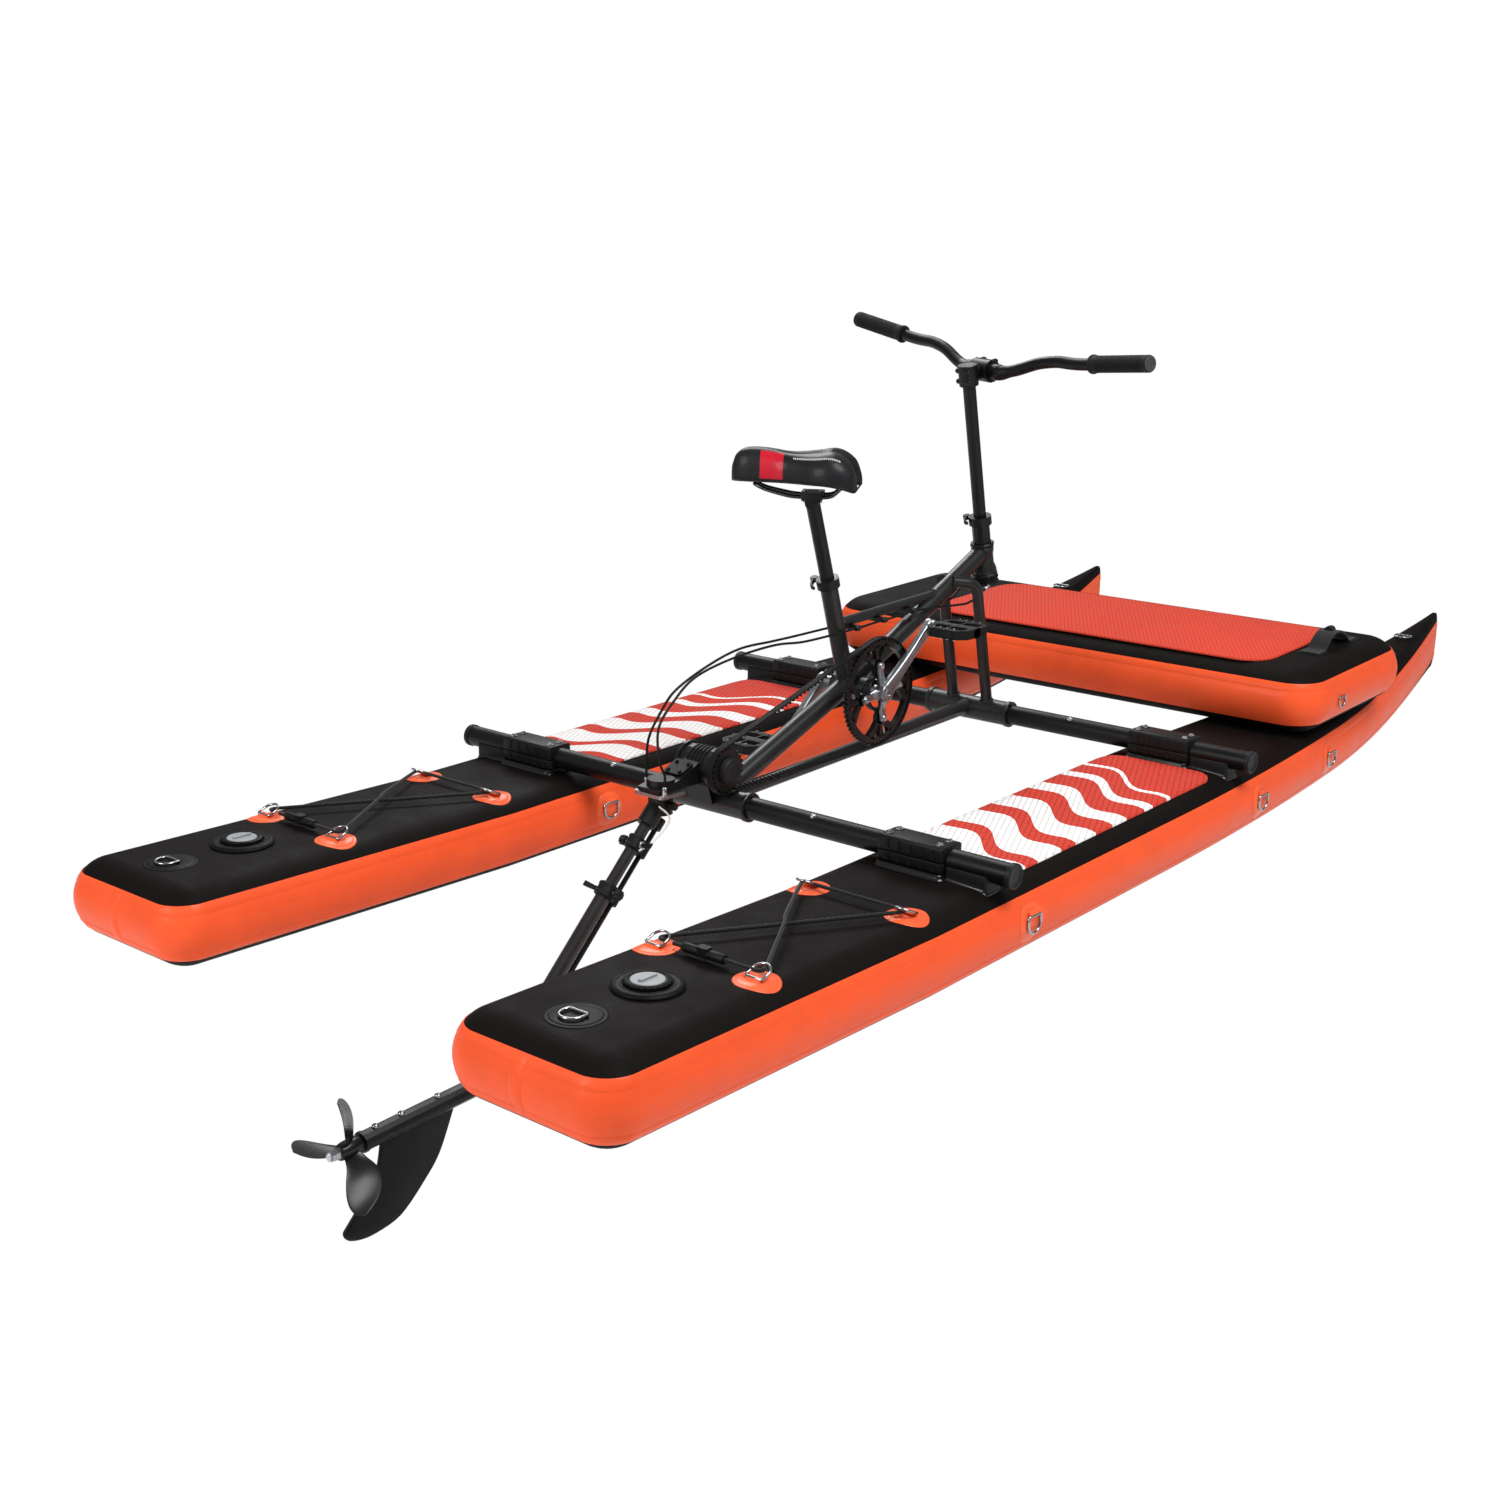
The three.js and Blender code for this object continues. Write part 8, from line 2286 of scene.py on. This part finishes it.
    def run_teeth(self, start: float, near: float, far: float) -> list[Pair]:
        """Spaces the teeth on a free run of the belt.

        Args:
            start: How far along the belt the run starts.
            near: Radius of the wheel that it leaves.
            far: Radius of the wheel that it comes to.

        Returns:
            Distance and depth of each corner.
        """
        first, last = (math.sqrt((radius + CLEARANCE) ** 2 - (radius - self.tooth) ** 2) + self.pitch / 2
                       for radius in (near, far))
        first, last = start + first, start + self.run - last
        count = math.floor((last - first) / self.pitch)
        base, tip, deep = self.pitch * 0.3 - self.slack, self.pitch * 0.18 - self.slack, self.tooth
        side = ((-base, -self.slack), (-tip, deep - 0.5), (0.5 - tip, deep))
        tooth = side + tuple((-offset, depth) for offset, depth in reversed(side))
        return [((first + last + (2 * i - count) * self.pitch) / 2 + offset, depth) for i in range(count + 1)
                for offset, depth in tooth]

    def belt(self) -> bpy.types.Object:
        """Moulds the belt, with teeth on its free runs and a ribbed back.

        Returns:
            The belt.
        """
        big, small, front = self.ring_radius, self.pulley_radius, self.belt_width / 2 - BELT_PLANE
        over_ring = [self.ring_wrap * i / 56 for i in range(57)]
        over_pulley = [self.low_end + self.pulley_wrap * i / 32 for i in range(33)]
        inner = [(d, -self.slack) for d in over_ring] + self.run_teeth(self.ring_wrap, big, small)
        inner += [(d, -self.slack) for d in over_pulley] + self.run_teeth(self.back, small, big)
        shape, outer = Shape("toothed_drive_belt"), over_ring + over_pulley

        def band(outside: float, hole: Sequence[Pair], face: float, width: float) -> None:
            """Adds a band round both wheels, from its outside to a hole."""
            shape.plate([self.on_belt(d, outside) for d in outer], width, ALONG_Y * face, ALONG_X, ALONG_Z,
                        [[self.on_belt(*spot) for spot in hole]])

        band(0.4 - self.belt_thickness, inner, front, self.belt_width)
        for rib in range(self.belt_ribs):
            face = front - 0.4 - rib * (self.belt_width - 2.1) / (self.belt_ribs - 1)
            band(-self.belt_thickness, [(d, 0.6 - self.belt_thickness) for d in outer], face, self.belt_rib_width)
        return shape.build([BELT_RUBBER])

    def pulley(self) -> bpy.types.Object:
        """Makes the small toothed wheel with its plain round cap.

        Returns:
            The pulley.
        """
        shape, rim = Shape("toothed_belt_pulley"), self.cap_radius
        front = PULLEY - ALONG_Y * (BELT_PLANE + self.belt_width / 2)
        start = self.low_tangent + (self.low_end % self.pitch) / self.pulley_radius
        shape.plate(self.teeth(PULLEY, self.pulley_radius, self.pulley_teeth, start), self.belt_width,
                    ALONG_Y * (self.belt_width / 2 - BELT_PLANE), ALONG_X, ALONG_Z)
        shape.rod(front, PULLEY - ALONG_Y * 21, 9, steps=32)
        shape.lathe([(0, -2), (rim, -2), (rim, 3), (rim - 0.8, 3.8), (rim - 0.8, 5), (rim, 5.8), (rim, 8.4), (20, 11.2),
                     (17.6, 12), (16.4, 11.3), (5, 11.6), (0, 11.7)], front, -ALONG_Y, 56, 1)
        return shape.build([ALLOY_BLACK, CAP_BLACK], bevel=0.3)

    def pedal(self, name: str, side: int) -> bpy.types.Object:
        """Moulds a cage pedal with pins, reflector seats and its steel axle.

        Args:
            name: The side's name.
            side: -1 to starboard, 1 to port.

        Returns:
            The pedal.
        """
        shape, out, cut, inner = Shape(f"{name}_cage_pedal"), ALONG_Y * side, self.pedal_corner, self.pedal_inner
        axle = CRANK + self.along * (-side * self.arm_length)
        centre, deep = axle + out * (inner + self.pedal_width / 2), self.pedal_thickness / 2
        half_x, half_y = self.pedal_length / 2, self.pedal_width / 2
        body = [(half_x, cut - half_y), (half_x, half_y - cut), (half_x - cut, half_y), (cut - half_x, half_y)]
        body += [(-x, -y) for x, y in body]
        window_x = (half_x - self.pedal_rim - self.pedal_barrel) / 2
        window_y = (half_y - self.pedal_end - self.pedal_bridge) / 2
        holes = [[(end * (self.pedal_barrel + window_x) + x, row * (self.pedal_bridge + window_y) + y)
                  for x, y in rounded(window_x, window_y, 5, 4)] for end in (-1, 1) for row in (-1, 1)]
        shape.plate(body, 2 * deep, centre - ALONG_Z * deep, ALONG_X, ALONG_Y, holes)
        shape.rod(axle + out * inner, axle + out * (inner + self.pedal_width), 10.4, steps=32)
        for end in (-1, 1):
            shape.block(centre + ALONG_X * (end * (half_x - 1.2)), (3.2, 42, 11), corner=1, slot=2)
            for spot in (-1, -0.33, 0.33, 1):
                pin, reach = centre + vec(end * (half_x - 7), spot * (half_y - 23), 0), deep + self.pin_height
                shape.rod(pin - ALONG_Z * reach, pin + ALONG_Z * reach, 2, 2, 12, 1)
        arm, face = self.arm_inner, self.arm_outer + CLEARANCE
        shape.lathe([(0, arm), (6.4, arm), (6.4, face), (9.9, face), (9.9, self.arm_outer + 5),
                     (7, self.arm_outer + 5.6), (7, inner + 2), (0, inner + 2)], axle, out, 24, 1)
        return shape.build([NYLON_BLACK, BOLT_STEEL, CAP_BLACK], bevel=0.9)


# Gearbox details that stand on the frame's own solids


@dataclass
class Gearbox:
    """The end cover, seal flange, bolts and cooling ribs of the gearbox."""

    port_face: float = 34
    starboard_face: float = 42
    bolts: int = 6
    cover_bolt_circle: float = 19.5
    flange_bolt_circle: float = 28.5
    barrel_radius: float = 33.1
    ribs: int = 5
    rib_spacing: float = 8

    def build(self) -> None:
        """Makes the details in one piece."""
        shape, barrel = Shape("gearbox_end_cover"), self.barrel_radius
        cover, flange = PULLEY + ALONG_Y * self.port_face, PULLEY - ALONG_Y * self.starboard_face
        shape.lathe([(0, 0.2), (26, 0.2), (27.5, 1.6), (27.5, 3.6), (25, 4.8), (13, 4.8), (11, 3), (0, 3)], cover,
                    ALONG_Y, 48)
        shape.lathe([(9.9, 0.1), (22, 0.1), (23, 1), (23, 2), (21, 2.8), (9.9, 2.8)], flange, -ALONG_Y, 48, loop=True)
        for out in (upright(math.tau * (k + 0.5) / self.bolts) for k in range(self.bolts)):
            shape.bolt(cover + out * self.cover_bolt_circle + ALONG_Y * 4.6, ALONG_Y, 2.5, 2.6, 1)
            shape.bolt(flange + out * self.flange_bolt_circle + ALONG_Y * 0.2, -ALONG_Y, 2.2, 2.4, 1)
        for rib in range(self.ribs):
            shape.lathe([(barrel, 0), (barrel + 1.5, 0.4), (barrel + 1.5, 2), (barrel, 2.4)],
                        PULLEY + ALONG_Y * (4 - rib * self.rib_spacing), ALONG_Y, 64, loop=True)
        fit(shape.build([NYLON_BLACK, BOLT_STEEL], smooth=40), "hull_and_frame", "black_plastic")


# Steerable leg


@dataclass
class Leg:
    """The leg under the gearbox: steering plate, tubes, clamps, gearcase, fin and propeller."""

    swivel_x: float = 745
    plate_top: float = 204
    upper_radius: float = 10
    lower_radius: float = 12.6
    socket_radius: float = 17
    rod_offset: float = 25
    rod_radius: float = 4.4
    clamp_height: float = 22
    clamp_wall: float = 5
    clamp_groove: float = 1.2
    lug_radius: float = 9.5
    knob_radius: float = 8.2
    knob_flutes: int = 9
    flute_depth: float = 0.75
    lever_reach: float = 30
    lever_drop: float = 9
    pod_top: float = 14.4
    prop_radius: float = 97
    blades: int = 3
    blade_half: float = 30
    blade_thickness: float = 3.2
    root_pitch: float = 62
    pitch_drop: float = 30
    rake: float = 30
    hub_length: float = 40
    hub_front_x: float = 102.5
    turned: float = -15
    hand: int = -1

    # Half widths of a blade, as shares along its reach
    widths_shares = ((0.1, 0.42), (0.25, 0.55), (0.42, 0.83), (0.6, 1), (0.76, 0.96), (0.88, 0.74), (0.96, 0.42),
                     (1, 0.1))
    fin_line = ((139, -190), (281, -184), (281, -206), (253, -266), (223, -301), (172, -343), (115, -354), (78, -347),
                (66, -332), (79, -316), (122, -272), (133, -245), (139, -216))

    def build(self) -> None:
        """Makes the leg's pieces."""
        fit(self.plate_bolts(), "leg", "steel")
        fit(self.clamp("upper", 92, self.upper_radius, 1), "leg", "black_plastic", "upper_leg_clamp")
        fit(self.clamp("lower", 186, self.lower_radius, -1), "lower_leg", "black_plastic", "lower_leg_clamp")
        fit(self.tube_ends(), "lower_leg", "black_plastic")
        fit(self.pod_screws(), "lower_leg", "steel")
        fit(self.fin(), "lower_leg", "black_plastic", "fin")
        fit(self.propeller(), "propeller", "black_plastic", "propeller")

    def plate_bolts(self) -> bpy.types.Object:
        """Adds the bolts and cable anchors on the steering plate.

        Returns:
            The bolts and anchors.
        """
        shape, centre = Shape("steering_plate_bolts"), vec(self.swivel_x, 0, self.plate_top)
        for x, y, height in ((-19, -20, 1.6), (-19, 20, 1.6), (-22, 0, 1.2)):
            shape.bolt(centre + vec(x, y, -0.2), ALONG_Z, 3.3, height)
        for x, y in ((-26, -33), (-2, 30)):
            shape.lathe([(4.6, 0), (6.2, 0.2), (6.2, 1.4), (4.6, 1.8)], centre + vec(x, y, CLEARANCE), ALONG_Z, 20,
                        loop=True)
        return shape.build([BOLT_STEEL])

    def clamp(self, name: str, distance: float, tube: float, side: int) -> bpy.types.Object:
        """Makes a clamp with an ear for the guide rod, a fluted knob and a cam lever.

        Args:
            name: Which clamp.
            distance: How far down the leg it sits.
            tube: Radius of the tube in it.
            side: Which side the knob is on.

        Returns:
            The clamp.
        """
        shape, half, down, lug = Shape(f"{name}_leg_clamp_body"), self.clamp_height / 2, LEG.direction, self.lug_radius
        outer, inner, middle, out = tube + CLEARANCE + self.clamp_wall, tube + 0.2, on_leg(distance), ALONG_Y * side
        waist, ear = outer - self.clamp_groove, self.rod_offset
        edge = [(waist, half - 5.2), (outer, half - 4), (outer, half - 1), (outer - 1, half), (inner, half)]
        shape.lathe([(r, -y) for r, y in reversed(edge)] + edge, middle, down, 44, loop=True)
        shape.lathe(collar_profile(self.rod_radius + 0.2, lug, half, 0.8), on_leg(distance, ear), down, 32, loop=True)
        shape.block(on_leg(distance, (outer + ear - lug) / 2), (abs(ear - lug - outer) + 5, 10, self.clamp_height - 5),
                    (LEG_AHEAD, down.cross(LEG_AHEAD), down), 1.5)
        knob = middle + out * (outer + 3)
        shape.rod(middle + out * (outer - 1.5), knob, 4, slot=1)
        turns, rows = [math.tau * k / 54 for k in range(54)], []
        for grow, place in ((-1.6, 0), (0, 1.2), (0, 10.6), (-1, 12), (-2.6, 12.8)):
            rows.append([knob + out * place + down * x + LEG_AHEAD * y for x, y in (
                polar(self.knob_radius + self.flute_depth * math.cos(self.knob_flutes * a) + grow, a) for a in turns)])
        shape.skin(rows)
        line = through([middle - out * (outer - 3 + self.lever_reach * a) - LEG_AHEAD * (self.lever_drop * b)
                        for a, b in ((0.2, 0), (0.45, 0.1), (0.75, 0.5), (1, 1))], 7, 0.4)
        lever_blade(shape, line, down, lambda share, tip: rounded(
            3.4 + 1.4 * share - 1.6 * tip, 3.2 - 1.1 * share - 0.96 * tip, 1.2, 3))
        shape.bolt(middle - out * (outer - 0.4), -out, 4.2, 2, 1)
        return shape.build([NYLON_BLACK, BOLT_STEEL], bevel=0.4)

    def tube_ends(self) -> bpy.types.Object:
        """Adds the moulded bush at the mouth of the lower tube and the socket's lip.

        Returns:
            The bush and the lip.
        """
        shape = Shape("lower_leg_bushes")
        for distance, inner, wall, tall in ((173, self.upper_radius + 0.6, self.lower_radius, 6),
                                            (484, self.socket_radius + 0.1, self.socket_radius, 5)):
            shape.lathe([(inner, 0), (wall + 1, 0), (wall + 1.8, 1), (wall + 1.8, tall - 1), (wall + 1, tall),
                         (inner, tall)], on_leg(distance), LEG.direction, 40, loop=True)
        return shape.build([NYLON_BLACK])

    def pod_screws(self) -> bpy.types.Object:
        """Puts the dome-headed screws in a row along the gearcase.

        Returns:
            The screws.
        """
        shape = Shape("gearcase_screws")
        for x in (252, 181, 132):
            shape.lathe([(5.6, 0), (5.6, 1.2), (5.2, 2.6), (3.6, 3.9), (2, 4.3), (1.6, 3.2), (0, 3.2)],
                        pod_axis(x) + ALONG_Z * self.pod_top, ALONG_Z, 24)
        return shape.build([STEEL], smooth=50)

    def fin(self) -> bpy.types.Object:
        """Moulds the skeg fin: a smooth curved outline with a foil's rounded edges.

        Returns:
            The fin.
        """
        shape, corners = Shape("skeg_fin"), [vec(x, 0, z) for x, z in self.fin_line]
        line = corners[:2] + through(corners[2:], 5, 0.45)
        inward = [(line[(i + 1) % len(line)] - line[i - 1]).normalized().cross(-ALONG_Y) for i in range(len(line))]
        shape.skin([[p + n * inset + ALONG_Y * y for p, n in zip(line, inward)] for y, inset in (
            (-5, 5), (-4.2, 3), (-2.6, 1.1), (-1, 0.15), (1, 0.15), (2.6, 1.1), (4.2, 3), (5, 5))])
        return shape.build([NYLON_BLACK], smooth=50)

    def propeller(self) -> bpy.types.Object:
        """Moulds the three-bladed propeller.

        Returns:
            The propeller.
        """
        shape, front = Shape("moulded_propeller"), pod_axis(self.hub_front_x)
        ahead, length = POD.direction, self.hub_length
        shape.lathe([(6.3, 0), (13, 0), (14, 1), (14, 24), (13.4, 30), (11.8, length - 2), (10.8, length - 0.4),
                     (10, length), (6.3, length)], front, -ahead, 48, loop=True)
        for blade in range(self.blades):
            outward = vec(0, *polar(1, math.pi / 2 - math.radians(self.turned) - math.tau * blade / self.blades))
            outward = (outward - ahead * outward.dot(ahead)).normalized()
            sideways, rows = ahead.cross(outward), []
            for reach in (math.sin(math.pi / 2 * i / 24) for i in range(25)):
                share, thick = 0.1 + 0.9 * reach, self.blade_thickness * (1 - 0.7 * reach)
                half = self.blade_half * follow(self.widths_shares, share)
                cos, sin = polar(1, self.hand * math.radians(self.root_pitch - self.pitch_drop * reach))
                chord, normal = sideways * cos + ahead * sin, ahead * cos - sideways * sin
                centre = front - ahead * (length / 2 + self.rake * reach**2) + outward * (self.prop_radius * share)
                rows.append([centre + chord * (half * a) + normal * (thick * b * (0.55 + 0.45 * abs(b)))
                             for a, b in circle(1, 28)])
            shape.skin(rows)
        return shape.build([GLOSS_BLACK], smooth=50)


# Steering cables and cord


@dataclass
class Cables:
    """Both steering cables from the drum to the steering plate, and the white cord beside the leg."""

    radius: float = 2.2
    ferrule_radius: float = 4
    ferrule_length: float = 14
    end_level: float = 206.3
    guide_half: float = 9
    cord_radius: float = 1.6

    # The places outside the frame's guides that each cable runs through, from the drum
    port_route = ((1660, 27.6, 433), (1640, 26, 424), (1600, 22.5, 407), (1560, 22.5, 407.5), (1500, 21.5, 411),
                  (1190, 19.2, 406.5), (1100, 12, 408), (1030, 3, 411), (945, 5, 410), (862, 4.5, 393),
                  (785, 3.4, 366), (757, 10, 334), (740, 22, 290), (743, 30, 245), (743, 30, 225))
    starboard_route = ((1660, -27.6, 433), (1640, -26, 424), (1600, -22.5, 407), (1560, -22.5, 407.5),
                       (1500, -21.5, 411), (1190, -19.2, 405), (1100, -12, 402), (1030, -3, 405), (920, -5, 400),
                       (826, -4.5, 383), (775, -3.4, 352), (727, -12, 314), (714, -26, 265), (719, -33, 240),
                       (719, -33, 225))
    cord_route = ((716, -24, 186), (735, -30, 160), (700, -24, 128), (676, -17, 118))

    def route(self, side: int) -> list[Vector]:
        """Lists the places that a steering cable runs through, with the frame's guides.

        Args:
            side: -1 to starboard, 1 to port.

        Returns:
            The places.
        """
        frame, points = Frame(), [vec(*spot) for spot in (self.port_route if side > 0 else self.starboard_route)]
        for share in reversed(frame.guide_shares):
            middle, half = frame.guide(share) + ALONG_Y * (side * frame.guide_spacing), ALONG_X * self.guide_half
            spot = next(i for i, p in enumerate(points) if p.x < middle.x)
            points[spot:spot] = [middle + half, middle, middle - half]
        return [*points, vec(points[-1].x, points[-1].y, self.end_level)]

    def build(self) -> None:
        """Lays both cables with their ferrules, and the cord."""
        rim, length = self.ferrule_radius, self.ferrule_length
        for name, side in reversed(SIDES):
            shape, points = Shape(f"{name}_cable_housing"), self.route(side)
            path = shape.tube(through(points, 8), self.radius, 14)
            for seat, axis in ((points[-1], ALONG_Z), (path[0], path[1] - path[0])):
                shape.lathe([(self.radius, 0), (rim - 0.4, 0), (rim, 0.6), (rim, length - 2), (rim - 0.6, length - 0.6),
                             (self.radius, length)], seat, axis, 20, 1, loop=True)
            piece = fit(shape.build([CABLE_SLEEVE, BOLT_STEEL], smooth=60), "hull_and_frame", "cable_sleeve",
                        f"{name}_steering_cable")
            tie_down(piece, path, self.radius)
        shape = Shape("leg_pull_cord")
        path = shape.tube(through([vec(*spot) for spot in self.cord_route], 8), self.cord_radius, 12)
        tie_down(fit(shape.build([CORD_WHITE], smooth=60), "leg", "white_cord", "leg_cord"), path, self.cord_radius)


# Studio


@dataclass
class Studio:
    """A camera, three soft lamps, a pale floor and white surroundings."""

    azimuth: float = 40.1
    tilt: float = 15.09
    roll: float = 0.97
    focal_pixels: float = 1923.6
    picture_pixels: float = 1500
    sensor: float = 36
    ambient: float = 0.3
    floor_level: float = -362
    floor_half: float = 60000
    floor_colour: str = "F4F4F3"

    stand = vec(-1496.0, -2079.0, 1097.7)
    target = vec(1450, 0, 200)
    # Each lamp's name, place, width in metres and power in watts
    lamps = (("key_softbox", vec(900, -2600, 4200), 2.6, 215), ("far_softbox", vec(3600, 3000, 3600), 2.6, 110),
             ("stern_strip", vec(-2600, 600, 1900), 1.8, 70))

    def build(self) -> None:
        """Sets up the whole studio."""
        bpy.context.scene.view_settings.view_transform = "Standard"
        self.camera()
        for lamp in self.lamps:
            self.lamp(*lamp)
        self.surroundings()
        self.floor()

    def camera(self) -> None:
        """Stands the camera where the photograph was taken from."""
        azimuth, tilt, roll = (math.radians(angle) for angle in (self.azimuth, self.tilt, self.roll))
        look = vec(math.cos(tilt) * math.cos(azimuth), math.cos(tilt) * math.sin(azimuth), -math.sin(tilt))
        level = vec(math.sin(azimuth), -math.cos(azimuth), 0)
        tall = level.cross(look)
        right, up = level * math.cos(roll) + tall * math.sin(roll), tall * math.cos(roll) - level * math.sin(roll)
        lens = bpy.data.cameras.new("view")
        lens.sensor_width, lens.lens = self.sensor, self.sensor * self.focal_pixels / self.picture_pixels
        lens.clip_start, lens.clip_end = 0.05, 200
        camera = bpy.data.objects.new("view", lens)
        bpy.context.scene.collection.objects.link(camera)
        camera.matrix_world = Matrix.Translation(self.stand * MM) @ Matrix((right, up, -look)).transposed().to_4x4()
        bpy.context.scene.camera = camera

    def lamp(self, name: str, place: Vector, size: float, power: float) -> None:
        """Hangs a round soft lamp that faces the craft.

        Args:
            name: The lamp's name.
            place: Where it hangs.
            size: Its width in metres.
            power: Its power in watts.
        """
        lamp = bpy.data.lights.new(name, "AREA")
        lamp.shape, lamp.size, lamp.energy = "DISK", size, power
        holder = bpy.data.objects.new(name, lamp)
        bpy.context.scene.collection.objects.link(holder)
        holder.location, holder.rotation_mode = place * MM, "QUATERNION"
        holder.rotation_quaternion = (self.target * MM - holder.location).to_track_quat("-Z", "Y")

    @staticmethod
    def seen(tree: bpy.types.NodeTree) -> bpy.types.Node:
        """Returns a node that gives 1 where the camera sees a surface directly or through glass."""
        paths = add_node(tree, "LightPath").outputs
        return add_node(tree, "Math", {0: paths["Is Camera Ray"], 1: paths["Is Transmission Ray"]}, operation="MAXIMUM")

    def surroundings(self) -> None:
        """Makes the surroundings white to the camera and dimmer to the craft."""
        world = bpy.data.worlds.new("studio")
        bpy.context.scene.world = world
        world.use_nodes = True
        world.node_tree.nodes.clear()
        strength = add_node(world.node_tree, "MapRange", {0: self.seen(world.node_tree), 3: self.ambient, 4: 1.0})
        sky = add_node(world.node_tree, "Background", {"Color": (1, 1, 1, 1), "Strength": strength})
        add_node(world.node_tree, "OutputWorld", {0: sky})

    def floor(self) -> None:
        """Lays the floor, which shows white and takes soft shadows."""
        shape, half, paint = Shape("floor"), self.floor_half, bpy.data.materials.new("matt_white_floor")
        shape.face(shape.ring([vec(x * half, y * half, self.floor_level)
                               for x, y in ((-1, -1), (1, -1), (1, 1), (-1, 1))]))
        paint.use_nodes = True
        tree = paint.node_tree
        shader = tree.nodes["Principled BSDF"]
        shader.inputs["Base Color"].default_value = linear(self.floor_colour)
        shader.inputs["Roughness"].default_value = 0.9
        seen = self.seen(tree)
        glow = add_node(tree, "Emission", {"Color": (1, 1, 1, 1), "Strength": 1.0})
        mixed = add_node(tree, "MixShader", {0: seen, 1: shader, 2: glow})
        tree.links.new(mixed.outputs[0], tree.nodes["Material Output"].inputs[0])
        floor = shape.build([])
        floor.data.materials.append(paint)


def dress_solids(frame: dict) -> None:
    """Gives every solid of the frame the finish of its slot and a smooth look.
    """
    for row in frame["record"]["subparts"]:
        mesh = frame["nodes"][row["node"]].data
        mesh.materials.clear()
        mesh.materials.append(SLOT_FINISH[row["material_slot"]].material())
        mesh.shade_smooth()
        mesh.set_sharp_from_angle(angle=math.radians(SHARP_DEGREES))


def main() -> None:
    """Builds the studio and every sub-assembly in order."""
    logging.basicConfig(level=logging.INFO, format="%(name)s: %(message)s")
    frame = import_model()
    Studio().build()
    dress_solids(frame)
    for part in (*(Hull(name, side) for name, side in SIDES), CrossFloat(), Crossbars(), Frame(), Seat(), Steering(),
                 Drive(), Gearbox(), Leg(), Cables()):
        LOG.info("building: %s", part.__doc__)
        part.build()
    bpy.context.view_layer.update()


if __name__ == "__main__":
    main()
